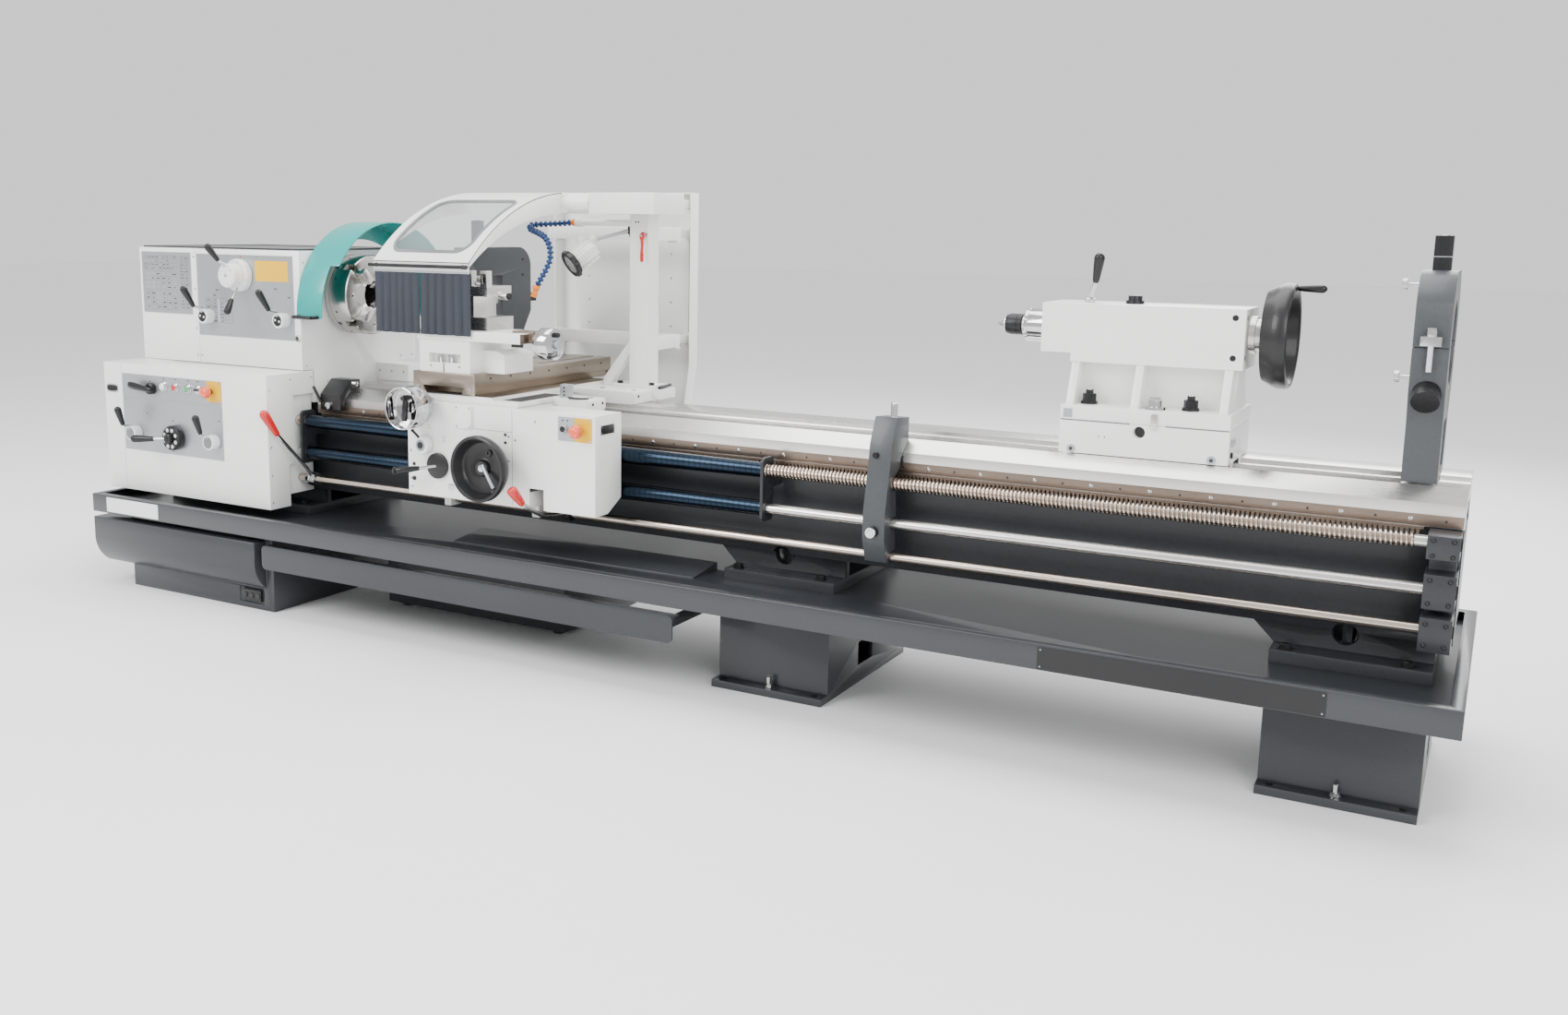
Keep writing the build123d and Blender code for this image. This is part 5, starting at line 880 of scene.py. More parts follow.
def printed_table(piece, x0, x1, z0, z1, y, columns, rows, seed, fill=0.7, shade=()):
    """Ruled table with short marks in its cells, as printed on index plates."""
    dice = random.Random(seed)
    wide, high = (x1 - x0) / columns, (z1 - z0) / rows
    for (a, b, c, d) in shade:
        piece.block((x0 + a * wide, y - 0.00008, z0 + b * high), (x0 + c * wide, y + 0.0004,
            z0 + d * high), PRINT_GREY, 0)
    for i in range(columns + 1):
        piece.block((x0 + i * wide - 0.0003, y - 0.00012, z0), (x0 + i * wide + 0.0003, y + 0.0004,
            z1), PRINT_AND_SHADE_BLACK, 0)
    for i in range(rows + 1):
        piece.block((x0, y - 0.00012, z0 + i * high - 0.0003), (x1, y + 0.0004,
            z0 + i * high + 0.0003), PRINT_AND_SHADE_BLACK, 0)
    for i in range(columns):
        for j in range(rows):
            if dice.random() < fill:
                middle_x, middle_z = x0 + (i + 0.5) * wide, z0 + (j + 0.5) * high
                half = wide * dice.uniform(0.12, 0.32)
                piece.block((middle_x - half, y - 0.00014, middle_z - high * 0.12),
                    (middle_x + half, y + 0.0004, middle_z + high * 0.12), PRINT_AND_SHADE_BLACK, 0)


class LATHE_OT_headstock(LathePart, bpy.types.Operator):
    """Headstock casing, gearbox cover and the drive behind them."""
    bl_idname = "lathe.headstock"
    bl_label = "Headstock and gearbox cover"

    def execute(self, context):
        low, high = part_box("headstock_housing")
        top = high.z - 0.0075
        dressed("headstock_housing", WHITE, self.sizes.casing_edge, regions=[(DARK, (low.x, low.y,
            top + 0.0005), (high.x, high.y, high.z + 0.001))], segments=3)
        dressed("gearbox_cover", WHITE, self.sizes.casing_edge, segments=3)
        keep("main_drive", GREY)
        for node in ("input_shaft", "motor_pulley"):
            keep(node, GROUND)
        trim = Piece("headstock_trim")
        front, right = low.y, at(938)
        seam = at(361)
        trim.block((seam - 0.0002, front - 0.0004, 0.9235), (seam + 0.0006, front + 0.001,
            top - 0.004), PRINT_GREY, 0)
        trim.block((low.x + 0.006, front - 0.0004, top - 0.0215), (right - 0.006, front + 0.001,
            top - 0.0208), PRINT_GREY, 0)
        for z in (0.950, 1.060, 1.220, 1.350):
            for x in (seam - 0.012, seam + 0.012):
                trim.screw((x, front - 0.0002, z), -Y, 0.0042)
        for y, z in ((-0.245, 0.94), (0.30, 0.94), (0.37, 0.94), (0.37, 1.34), (-0.245, 1.34)):
            trim.screw((right + 0.0002, y, z), X, 0.0045)
        # round sight plug
        trim.turned((at(922), front - 0.0002, 1.045), -Y, mm((0, 12.8), (5, 12.8), (7.5, 11), (7.5,
            8.5), (6, 8)), CHROME, 32)
        trim.turned((at(922), front - 0.0061, 1.045), -Y, mm((0, 7.8), (1.2, 6.8), (1.8, 4)),
            RUBBER, 28)
        # step block towards the carriage: screws of its guard strip
        for x in (at(955), at(1020), at(1085)):
            trim.screw((x, 0.1518, 0.890), -Y, 0.005)
        trim.place("base", "white_paint")
        cover = Piece("gearbox_cover_trim")
        low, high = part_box("gearbox_cover")
        door = at(108)
        cover.block((door, low.y - 0.0004, low.z + 0.004), (door + 0.0009, low.y + 0.001, 0.5655),
            PRINT_GREY, 0)
        cover.block((door, low.y - 0.0004, 0.879), (door + 0.0009, low.y + 0.001, high.z - 0.005),
            PRINT_GREY, 0)
        for z in (0.425, 0.530, 0.640, 0.750, 0.862):
            cover.screw((high.x + 0.0002, low.y + 0.013, z), X, 0.0045)
        cover.screw((high.x + 0.0002, -0.335, 0.895), X, 0.0045)
        cover.screw((high.x + 0.0002, -0.225, 0.895), X, 0.0045)
        # louvres for the warm air on the top skin
        for index in range(6):
            y = -0.245
            x = at(60 + 24 * index)
            cover.block((x, y - 0.055, high.z - 0.0005), (x + 0.011, y, high.z + 0.0016), WHITE,
                0.0012)
        cover.place("base", "white_paint")
        return {"FINISHED"}


class LATHE_OT_plates(LathePart, bpy.types.Operator):
    """Index plates, label plates without writing, buttons and collars."""
    bl_idname = "lathe.plates"
    bl_label = "Plates and buttons"

    def execute(self, context):
        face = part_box("headstock_housing")[0].y
        plates = Piece("headstock_index_plates")
        x0, x1, z0, z1 = at(34), at(330), 1.115, 1.366
        plate(plates, x0, x1, z0, z1, face, screws=edge_screws(x0, x1, z0, z1, 3, 3, 0.009))
        y = face - 0.0018
        printed_table(plates, at(48), at(246), 1.292, 1.352, y, 9, 4, 3, 0.6)
        printed_table(plates, at(48), at(246), 1.212, 1.284, y, 6, 4, 5, 0.5, shade=((0, 0, 2, 4),
            (4, 0, 6, 2)))
        printed_table(plates, at(48), at(246), 1.130, 1.204, y, 6, 4, 7, 0.5, shade=((2, 2, 4, 4),
            (0, 0, 1, 2)))
        printed_table(plates, at(262), at(318), 1.135, 1.348, y, 2, 16, 9, 1.0)
        x0, x1, z0, z1 = at(366), at(905), 1.035, 1.362
        plate(plates, x0, x1, z0, z1, face, screws=edge_screws(x0, x1, z0, z1, 4, 4, 0.009))
        printed_table(plates, at(405), at(563), 1.088, 1.186, y, 4, 7, 11, 0.7, shade=((0, 0, 4,
            6),))
        plates.block((at(483), y - 0.0003, 1.088), (at(486), y, 1.186), BUTTON, 0)
        for x, z in ((at(470), 1.218), (at(455), 1.196), (at(800), 1.232), (at(872), 1.200)):
            plates.block((x, y - 0.0001, z), (x + 0.016, y + 0.0003, z + 0.004), PRINT_AND_SHADE_BLACK, 0)
        plates.block((at(617), y - 0.0002, 1.353), (at(623), y + 0.0003, 1.359), RED, 0)
        plate(plates, at(700), at(880), 1.262, 1.342, y, 0.0008, YELLOW, 0.002)
        plates.place("base", "plate_alloy", ["index_plates"])
        self.gearbox()
        self.tray()
        return {"FINISHED"}

    def gearbox(self):
        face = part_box("gearbox_cover")[0].y
        panel = Piece("gearbox_control_plate")
        x0, x1, z0, z1 = at(115), at(695), 0.566, 0.878
        middle = 0.782
        plate(panel, x0, x1, middle + 0.0006, z1, face, screws=edge_screws(x0, x1, middle, z1, 3,
            2, 0.009))
        plate(panel, x0, x1, z0, middle - 0.0006, face, screws=edge_screws(x0, x1, z0, middle, 3,
            2, 0.009))
        y = face - 0.0018
        plate(panel, at(615), at(694), 0.795, 0.877, y, 0.0008, YELLOW, 0.001, screws=((at(686),
            0.869), (at(686), 0.803)))
        for x, z in ((at(280), 0.852), (at(362), 0.868), (at(430), 0.868), (at(505), 0.868),
                (at(560), 0.868), (at(252), 0.720), (at(672), 0.720), (at(405), 0.700)):
            panel.block((x, y - 0.0001, z), (x + 0.009, y + 0.0003, z + 0.004), PRINT_AND_SHADE_BLACK, 0)
        panel.place("base", "plate_alloy", ["index_plates"])
        keys = Piece("push_buttons")
        for station, radius, colour in ((367, 0.017, BUTTON), (435, 0.015, RED), (510, 0.015,
                GREEN)):
            place = (at(station), y, 0.838)
            keys.turned(place, -Y, ((0, radius + 0.003), (0.003, radius + 0.0035), (0.005,
                radius + 0.001), (0.011, radius), (0.012, radius - 0.002), (0.0105,
                radius - 0.003)), CHROME, 40)
            keys.turned((place[0], y - 0.0095, 0.838), -Y, ((0, radius - 0.0032), (0.003,
                radius - 0.0035), (0.0042, radius - 0.006)), colour, 36)
        place = (at(566), y, 0.838)
        keys.turned(place, -Y, mm((0, 17.5), (4, 18), (6, 14), (10, 13.5), (11, 12)), CHROME, 40)
        keys.block((at(566) - 0.0125, y - 0.0135, 0.8335), (at(566) + 0.0125, y - 0.010, 0.8425),
            GRIP, 0.0015)
        keys.place("base", "chrome_plate")
        badge = Piece("blank_oval_badge")
        for size, depth, colour in ((1.0, 0.0022, CHROME), (0.86, 0.0029, OXIDE)):
            part = bmesh.new()
            front, back = [], []
            for step in range(48):
                angle = tau * step / 48
                # a rounded oblong rather than a true ellipse
                c, s = cos(angle), sin(angle)
                x = at(52) + size * 0.036 * copysign(abs(c) ** 0.6, c)
                z = 0.812 + (0.017 - 0.036 * (1 - size)) * copysign(abs(s) ** 0.6, s)
                front.append(part.verts.new((x, face - depth, z)))
                back.append(part.verts.new((x, face + 0.0002, z)))
            part.faces.new(front)
            part.faces.new(back[::-1])
            for i in range(48):
                j = (i + 1) % 48
                part.faces.new((front[i], front[j], back[j], back[i]))
            badge.take(part, colour)
        badge.place("base", "plate_alloy")

    def tray(self):
        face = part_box("chip_tray")[0].y
        shields = Piece("blank_tray_plates")
        for x0, x1, z0, z1, name in ((at(90), at(400), 0.312, 0.372, BUTTON), (at(3970), at(4700),
                0.308, 0.372, GRIP)):
            plate(shields, x0, x1, z0, z1, face, 0.0018, name, 0.004)
            for x in (x0 + 0.008, x1 - 0.008):
                for z in (z0 + 0.008, z1 - 0.008):
                    shields.turned((x, face - 0.00175, z), -Y, mm((0, 2.4), (0.8, 2), (1.1, 1)),
                        ALLOY, 12)
        shields.place("base", "plate_alloy")


class LATHE_OT_levers(LathePart, bpy.types.Operator):
    """Change levers, numbered dials, main switch and stop buttons."""
    bl_idname = "lathe.levers"
    bl_label = "Levers and dials"

    def execute(self, context):
        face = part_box("headstock_housing")[0].y
        for index, station in enumerate((435, 858)):
            node = f"headstock_lever_{index + 1}"
            self.lever(node, at(station), face - 0.0005, 1.114, 0.029, 0.046, (-0.008, -0.078,
                0.040), (-0.026, -0.118, 0.122), face, True)
        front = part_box("gearbox_cover")[0].y - 0.002
        for index, station in enumerate((197, 652)):
            node = f"gearbox_lever_{index + 1}"
            self.lever(node, at(station), front - 0.0005, 0.640, 0.030, 0.040, (-0.006, -0.066,
                0.036), (-0.016, -0.084, 0.112), front, False)
        self.double_dial(face - 0.002)
        self.feed_dial(front)
        self.switch(front)
        stop_button("mushroom_button_gearbox", "estop_headstock", (at(640), front - 0.0065, 0.836),
            0.023, 0.012)
        return {"FINISHED"}

    def lever(self, node, x, y, z, radius, depth, knee, tip, base, dotted):
        piece = Piece(node + "_detailed")
        piece.turned((x, y, z), -Y, ((0, radius * 0.94), (0.003, radius), (depth - 0.003, radius),
            (depth - 0.0008, radius * 0.94), (depth - 0.0008, radius * 0.76), (depth - 0.0022,
            radius * 0.74)), BUTTON, 48)
        inner = radius * (0.74 if dotted else 0.80)
        piece.turned((x, y - depth + 0.003, z), -Y, ((0, inner), (0.0022, inner), (0.003,
            inner - 0.001)), GRIP if dotted else SEAL, 40)
        if dotted:
            for shift in (-0.0105, 0.0105):
                piece.turned((x + shift, y - depth - 0.0001, z - shift * 0.25), -Y, mm((0, 4.5),
                    (0.4, 4.5), (0.6, 3.6)), BUTTON, 20)
        knee = Vector((x + knee[0], base + knee[1], z + knee[2]))
        tip = Vector((x + tip[0], base + tip[1], z + tip[2]))
        start = Vector((x - 0.002, y - depth + 0.014, z + radius * 0.62))
        piece.tube([start, start.lerp(knee, 0.35) + Vector((0, 0.006, 0.008)), knee, knee.lerp(tip,
            0.12)], 0.0056, CHROME, 18)
        collar = (knee - start).normalized()
        piece.turned(start + collar * 0.006, collar, mm((0, 9), (6, 9), (8, 7.5)), CHROME, 20)
        grip_on(piece, knee, tip, 0.0142, GRIP)
        piece.place(BODY_OF[node], "black_moulding", [node])

    def double_dial(self, face):
        x, z = at(620), 1.283
        rear = Piece("speed_dial_rear_detailed")
        rear.turned((x, face - 0.0005, z), -Y, mm((0, 62), (2, 64), (24, 64), (27.5, 61), (29.5,
            60.5), (29.5, 13.5), (0, 13.5)), BUTTON, 72, closed=True)
        for index in range(12):
            angle = tau * index / 12 + 0.2
            side = Vector((cos(angle), 0, sin(angle)))
            rear.written(str((index * 5) % 9 + 1), Vector((x, face - 0.0298, z)) + side * 0.0545,
                side.cross(Y) * -1, side, 0.0085, PRINT_AND_SHADE_BLACK)
        rear.tube([(x + 0.008, face - 0.026, z - 0.052), (x + 0.011, face - 0.042, z - 0.064),
            (x + 0.020, face - 0.070, z - 0.092), (x + 0.022, face - 0.075, z - 0.099)], 0.0055,
            CHROME, 18)
        grip_on(rear, (x + 0.020, face - 0.070, z - 0.092), (x + 0.033, face - 0.112, z - 0.148),
            0.0142, GRIP)
        rear.place("speed_dial_rear", "plate_alloy", ["speed_dial_rear"])
        front = Piece("speed_dial_front_detailed")
        front.turned((x, face - 0.0305, z), -Y, mm((0, 45), (2, 47), (43, 47), (46.5, 44), (47.5,
            43), (47.5, 8), (46.5, 7)), BUTTON, 64)
        front.rod((x, face + 0.0095, z), (x, face - 0.031, z), 0.0118, GROUND)
        for index in range(10):
            angle = tau * index / 10
            side = Vector((cos(angle), 0, sin(angle)))
            front.written(str((index * 7) % 9 + 1), Vector((x, face - 0.0782, z)) + side * 0.034,
                side.cross(Y) * -1, side, 0.0085, PRINT_AND_SHADE_BLACK)
        front.turned((x, face - 0.0779, z), -Y, mm((0, 6), (2, 6), (3, 4)), CHROME, 20)
        front.tube([(x, face - 0.070, z + 0.034), (x - 0.004, face - 0.082, z + 0.044), (x - 0.012,
            face - 0.100, z + 0.058), (x - 0.014, face - 0.104, z + 0.064)], 0.0055, CHROME, 18)
        grip_on(front, (x - 0.012, face - 0.100, z + 0.058), (x - 0.032, face - 0.142, z + 0.122),
            0.0142, GRIP)
        front.place("speed_dial_front", "plate_alloy", ["speed_dial_front"])

    def feed_dial(self, face):
        x, z = at(428), 0.637
        dial = Piece("gearbox_dial_detailed")
        dial.turned((x, face - 0.0005, z), -Y, mm((0, 48), (3, 50), (26, 50), (30.5, 47), (33.5,
            45), (33.5, 24), (31, 22), (31, 20), (48, 19.5), (50, 17)), CASTING, 64)
        for index in range(8):
            angle = tau * index / 8 + 0.39
            side = Vector((cos(angle), 0, sin(angle)))
            place = Vector((x, face - 0.0338, z)) + side * 0.0345
            dial.turned(place, -Y, mm((0, 7.2), (0.6, 7.2), (0.9, 6.4)), BUTTON, 24)
            dial.written(str(index + 1), place - Y * 0.0012, X, Z, 0.0095, PRINT_AND_SHADE_BLACK)
        dial.turned((x, face - 0.0500, z), -Y, mm((0, 10.5), (1.5, 10), (2, 7)), OXIDE, 6)
        dial.tube([(x - 0.012, face - 0.042, z), (x - 0.032, face - 0.052, z - 0.001), (x - 0.062,
            face - 0.0625, z - 0.003)], 0.0062, CHROME, 18)
        grip_on(dial, (x - 0.060, face - 0.062, z - 0.003), (x - 0.160, face - 0.092, z - 0.007),
            0.0152, GRIP)
        dial.place("gearbox_dial", "black_moulding", ["gearbox_dial"])

    def switch(self, face):
        switch = Piece("main_switch_detailed")
        switch.turned((at(298), face - 0.0005, 0.826), -Y, mm((0, 23.5), (10, 24), (19, 22.5),
            (21.5, 19)), GRIP, 44)
        # broad end at the left, narrow pivot end at the right
        rings = []
        for station, wide, thick in ((0.0, 0.006, 0.004), (0.03, 0.012, 0.007), (0.10, 0.0145,
                0.0088), (0.30, 0.0150, 0.0090), (0.60, 0.0125, 0.0086), (0.85, 0.0110, 0.0084),
                (0.97, 0.0090, 0.0065), (1.0, 0.0045, 0.003)):
            x = at(190.6) + 0.1348 * station
            z = 0.8372 - 0.0140 * station
            rings.append([switch.mesh.verts.new((x, face - 0.0305 - thick * sin(a),
                z + wide * cos(a))) for a in [tau * s / 24 for s in range(24)]])
        faces = [switch.mesh.faces.new((a[s], a[(s + 1) % 24], b[(s + 1) % 24], b[s])) for a,
            b in zip(rings, rings[1:]) for s in range(24)]
        faces += [switch.mesh.faces.new(rings[0][::-1]), switch.mesh.faces.new(rings[-1])]
        switch.paint(faces, GRIP)
        switch.place("main_switch", "black_moulding", ["main_switch"])


def stop_button(name, node, place, radius, stem):
    """Mushroom push button with a ridged rim on a short stem."""
    x, y, z = place
    button = Piece(name)
    button.turned((x, y, z), -Y, ((0, radius * 0.55), (stem + 0.001, radius * 0.55)), RUBBER, 28)
    button.turned((x, y - stem, z), -Y, ((0, radius * 0.9), (0.003, radius), (0.014, radius),
        (0.0195, radius * 0.93), (0.0235, radius * 0.74), (0.0262, radius * 0.45), (0.0276,
        radius * 0.2)), ORANGE, 44)
    for step in range(4):
        angle = tau * step / 4 + 0.6
        side = Vector((cos(angle), 0, sin(angle)))
        spot = Vector((x, y - stem - 0.0238, z)) + side * radius * 0.55
        button.turned(spot, -Y, mm((0, 2.2), (1.4, 1.8), (1.8, 1)), BUTTON, 12)
    button.place(BODY_OF[node], "red_moulding", [node])


# ---------------------------------------------------------------- spindle and guard
class LATHE_OT_chuck(LathePart, bpy.types.Operator):
    """Spindle, four-jaw chuck and its teal guard."""
    bl_idname = "lathe.chuck"
    bl_label = "Chuck and guard"

    def execute(self, context):
        dressed("spindle", GROUND, self.sizes.steel_edge)
        dressed("chuck_body", TURNED, self.sizes.steel_edge)
        for index in range(4):
            node = f"chuck_jaw_{index + 1}"
            dressed(node, GROUND, 0.0008)
            turn = radians(45 + 90 * index)
            out = Vector((0, cos(turn), sin(turn)))
            teeth = Piece(f"jaw_serrations_{index + 1}")
            side = X.cross(out)
            centre = Vector((0, 0, AXIS_Z))
            for reach, lift in ((0.0558, 0.041), (0.0858, 0.028)):
                for row in range(4):
                    x = at(1074) + lift - 0.004 - row * 0.0042
                    corner = centre + out * reach + X * x
                    teeth.shell([corner - side * 0.012, corner + side * 0.012,
                        corner + side * 0.012 + X * 0.0022 - out * 0.0012,
                        corner - side * 0.012 + X * 0.0022 - out * 0.0012,
                        corner + side * 0.012 + X * 0.0034, corner - side * 0.012 + X * 0.0034],
                        [(0, 1, 2, 3), (3, 2, 4, 5), (1, 0, 5, 4), (0, 3, 5), (1, 4, 2)], GROUND)
            teeth.place(f"jaw_{index + 1}", "ground_steel")
        rim = Piece("chuck_rim_details")
        low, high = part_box("chuck_body")
        radius = (high.y - low.y) / 2
        for index in range(4):
            turn = radians(45 + 90 * index)
            out = Vector((0, cos(turn), sin(turn)))
            seat = Vector((at(996), 0, AXIS_Z)) + out * (radius - 0.012)
            rim.turned(seat, out, ((0, 0.0088), (0.004, 0.0088), (0.0042, 0.0045), (0.001,
                0.0045)), OXIDE, 28)
            half = radians(90 * index)
            out = Vector((0, cos(half), sin(half)))
            bolt = Vector((high.x - 0.0003, 0, AXIS_Z)) + out * 0.118
            rim.turned(bolt, X, ((0, 0.0098), (0.0006, 0.0098), (0.0008, 0.0092)), GROUND, 28)
            # painted shade: a flat black hexagon stands for the bolt's shaded hexagon recess
            rim.turned(bolt + X * 0.0009, X, mm((0, 5.2), (0.1, 5.2)), PRINT_AND_SHADE_BLACK, 6)
            for step in (-1, 1):
                slant = half + step * 0.42
                mark = Vector((at(1010), 0, AXIS_Z)) + Vector((0, cos(slant),
                    sin(slant))) * (radius - 0.002)
                rim.turned(mark, Vector((0, cos(slant), sin(slant))), mm((0, 5), (2.3, 5)),
                    PRINT_AND_SHADE_BLACK, 20)
        for x in (at(985),):
            rim.turned((x, 0, AXIS_Z), X, ((0, radius - 0.002), (0, radius + 0.0002), (0.0012,
                radius + 0.0002), (0.0012, radius - 0.002)), OXIDE, 96, closed=True)
        rim.place("spindle", "work_steel")
        low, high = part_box("chuck_guard")
        dressed("chuck_guard", TEAL, 0.003, segments=3, regions=[(GRIP, (low.x, low.y - 0.001,
            1.126), (high.x, low.y + 0.038, 1.1425))])
        return {"FINISHED"}


# ---------------------------------------------------------------- carriage
def graduated(piece, centre, axis, radius, along, count, long_every=5, reach=0.007):
    """Engraved division marks round a collar whose axis points along axis."""
    centre, axis = Vector(centre), Vector(axis).normalized()
    right, up = sideways(axis)
    for index in range(count):
        angle = tau * index / count
        side = right * cos(angle) + up * sin(angle)
        length = reach if index % long_every == 0 else reach * 0.55
        across = axis.cross(side) * 0.00025
        start = centre + side * (radius + 0.00015) + axis * along
        piece.shell([start - across, start + across, start + across + axis * length,
            start - across + axis * length], [(0, 1, 2, 3)], PRINT_AND_SHADE_BLACK)


def dished(piece, origin, axis, radius, rim, depth, hub, name):
    """Handwheel with a rounded rim and a deep dish that opens along its axis."""
    section = [(0.004, hub * 0.9), (0.0, hub), (0.0, radius - rim * 2.2), (0.003, radius - rim),
        (depth * 0.42, radius - rim * 0.25), (depth * 0.60, radius), (depth * 0.86, radius),
        (depth * 0.96, radius - rim * 0.14), (depth, radius - rim * 0.42), (depth * 0.985,
        radius - rim * 0.75), (depth * 0.90, radius - rim), (depth * 0.36, radius - rim * 1.35),
        (depth * 0.20, radius - rim * 1.9), (depth * 0.17, radius - rim * 2.7), (depth * 0.17,
        hub * 1.35), (depth * 0.22, hub * 1.12), (depth * 0.46, hub), (depth * 0.50, hub * 0.92)]
    piece.turned(origin, axis, section, name, 72, closed=False)


class LATHE_OT_carriage(LathePart, bpy.types.Operator):
    """Saddle and apron with their covers, plates, wheel and levers."""
    bl_idname = "lathe.carriage"
    bl_label = "Saddle and apron"

    def execute(self, context):
        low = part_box("saddle")[0]
        dressed("saddle", WHITE, self.sizes.cast_edge, regions=[(OILED, (at(1660), -0.386, 0.9),
            (at(1940), 0.31, 0.94)), (RUBBER, (low.x - 0.001, -0.23, 0.8), (at(1481), 0.23,
            0.862)), (RUBBER, (at(2261), -0.23, 0.8), (at(2269), 0.188, 0.862))])
        self.saddle_details()
        dressed("apron", WHITE, self.sizes.cast_edge, segments=3, drop=[((at(1700), -0.524, 0.69),
            (at(1773), -0.4702, 0.785)), ((at(2315), -0.485, 0.81), (at(2355), -0.4722, 0.85)),
            ((at(2309), -0.4722, 0.789), (at(2446), -0.4703, 0.871)), ((at(2457.5), -0.437, 0.814),
            (at(2460), -0.357, 0.846))])
        self.apron_details()
        self.wheel()
        self.joystick()
        self.start_lever()
        stop_button("mushroom_button_apron", "estop_apron", (at(2400), -0.4785, 0.828), 0.023,
            0.012)
        return {"FINISHED"}

    def saddle_details(self):
        saddle = Piece("saddle_details")
        # wiper plates at the way ends, with their screws
        for x, direction in ((at(1471.8), -X), (at(2268.2), X)):
            for y in (-0.205, -0.145, 0.09, 0.19):
                if direction.x > 0 and y > 0.18:
                    continue
                saddle.screw((x, y, 0.878), direction, 0.005, OXIDE)
        # recessed dark tread on the wing between apron and cross slide
        saddle.block((at(2024), -0.40, 0.8955), (at(2104), -0.15, 0.8966), RUBBER, 0)
        for y in (-0.41, -0.14):
            saddle.screw((at(2064), y, 0.8961), Z, 0.0045)
        # lubricator block with its black oil lines
        saddle.block((at(2134), -0.215, 0.8952), (at(2172), -0.185, 0.942), ALLOY, 0.002)
        for z in (0.905, 0.918, 0.931):
            saddle.screw((at(2153), -0.2152, z), -Y, 0.0035, OXIDE)
        for shift in (0.0, 0.012):
            saddle.tube([(at(2150) + shift, -0.2, 0.897), (at(2190), -0.225 - shift, 0.8985),
                (at(2230), -0.222 - shift, 0.8985), (at(2252), -0.205 - shift, 0.8985)], 0.0028,
                RUBBER, 10)
        for x, y in ((at(1500), -0.18), (at(1500), 0.15), (at(1600), -0.15), (at(2090), 0.12),
                (at(2230), -0.16), (at(2230), 0.12), (at(1560), 0.12)):
            saddle.turned((x, y, 0.8951), Z, ((0, 0.0105), (0.0008, 0.0102), (0.001, 0.006)),
                OXIDE, 24)
            # painted shade: a flat black hexagon on each cap stands for its shaded hexagon recess
            saddle.turned((x, y, 0.8962), Z, mm((0, 5), (0.1, 5)), PRINT_AND_SHADE_BLACK, 6)
        # guard shelf with its clamping handle
        saddle.hex_bolt((at(2270), 0.245, 0.8952), Z, 0.012, 0.010)
        saddle.rod((at(2290), 0.2, 0.9), (at(2290), 0.28, 0.905), 0.006, OXIDE)
        saddle.place("carriage", "white_paint")

    def apron_details(self):
        face = -0.470
        trim = Piece("apron_details")
        seam = at(2118)
        # joints between the apron casting, its cover and the top flange
        for x0, x1, z0, z1 in ((seam - 0.0008, seam + 0.0008, 0.548, 0.876), (at(1952),
                seam - 0.001, 0.7985, 0.8000), (at(1952), at(1953.4), 0.800, 0.876)):
            trim.block((x0, face - 0.0003, z0), (x1, face + 0.001, z1), SEAL, 0)
        for x, z in ((seam - 0.014, 0.785), (seam - 0.014, 0.70), (seam - 0.014, 0.60),
                (seam + 0.014, 0.775), (at(2215), 0.8440), (at(1668), 0.70), (at(1668), 0.60),
                (at(1672), 0.57)):
            trim.screw((x, face - 0.0002, z), -Y, 0.0042, ALLOY)
        # screws of the small raised cover
        for x in (at(1883), at(1939)):
            for z in (0.804, 0.869):
                trim.screw((x, face - 0.0062, z), -Y, 0.004)
        # sight glasses and drain plug
        for x, z, size, tone in ((at(1850), 0.585, 0.012, CHROME), (at(1682), 0.600, 0.008,
                RUBBER), (at(1682), 0.652, 0.006, RUBBER), (at(2090), 0.790, 0.005, RUBBER),
                (at(2090), 0.763, 0.005, RUBBER)):
            trim.turned((x, face - 0.0002, z), -Y, ((0, size), (0.0025, size), (0.0035,
                size * 0.8), (0.0035, size * 0.5), (0.002, size * 0.45)), tone, 28)
        trim.turned((at(1930), -0.30, 0.5442), -Z, mm((0, 22), (6, 22), (8, 19), (8, 12), (16,
            11)), CHROME, 28)
        # short grey marks on the cast boss round the cross screw and by its chrome sleeve support
        for x, z, marks in ((at(1745), 0.797, 3), (at(1812), 0.760, 4)):
            for index in range(marks):
                trim.block((x + 0.0, face - 0.00025, z - 0.007 * index),
                    (x + 0.017 - 0.003 * (index % 2), face + 0.0005, z - 0.007 * index + 0.0016),
                    PRINT_GREY, 0)
        trim.place("carriage", "white_paint")
        knob = Piece("feed_knob")
        x, z = at(1738), 0.726
        knob.turned((x, face, z), -Y, mm((0, 31), (2, 33), (28, 33), (30.5, 31), (31.5, 30), (31.5,
            21), (29, 20.5)), BUTTON, 56)
        knob.turned((x, face - 0.0288, z), -Y, mm((0, 20.5), (2.5, 20.5), (3, 19)), PRINT_GREY, 40)
        knob.turned((x, face - 0.0318, z), -Y, mm((0, 12.5), (0.8, 12.5), (1, 11)), GRIP, 30)
        knob.tube([(x - 0.004, face - 0.024, z + 0.022), (x - 0.010, face - 0.034, z + 0.034),
            (x - 0.020, face - 0.047, z + 0.053)], 0.0045, OXIDE, 14)
        knob.turned((x - 0.018, face - 0.045, z + 0.050), (-0.3, -0.35, 0.5), mm((0, 4), (2, 5.8),
            (6, 6.2), (9, 4), (10, 2)), GRIP, 20)
        knob.place("carriage", "plate_alloy")
        panel = Piece("apron_control_plate")
        plate(panel, at(2310), at(2376), 0.790, 0.870, face, screws=((at(2317), 0.863), (at(2317),
            0.797)))
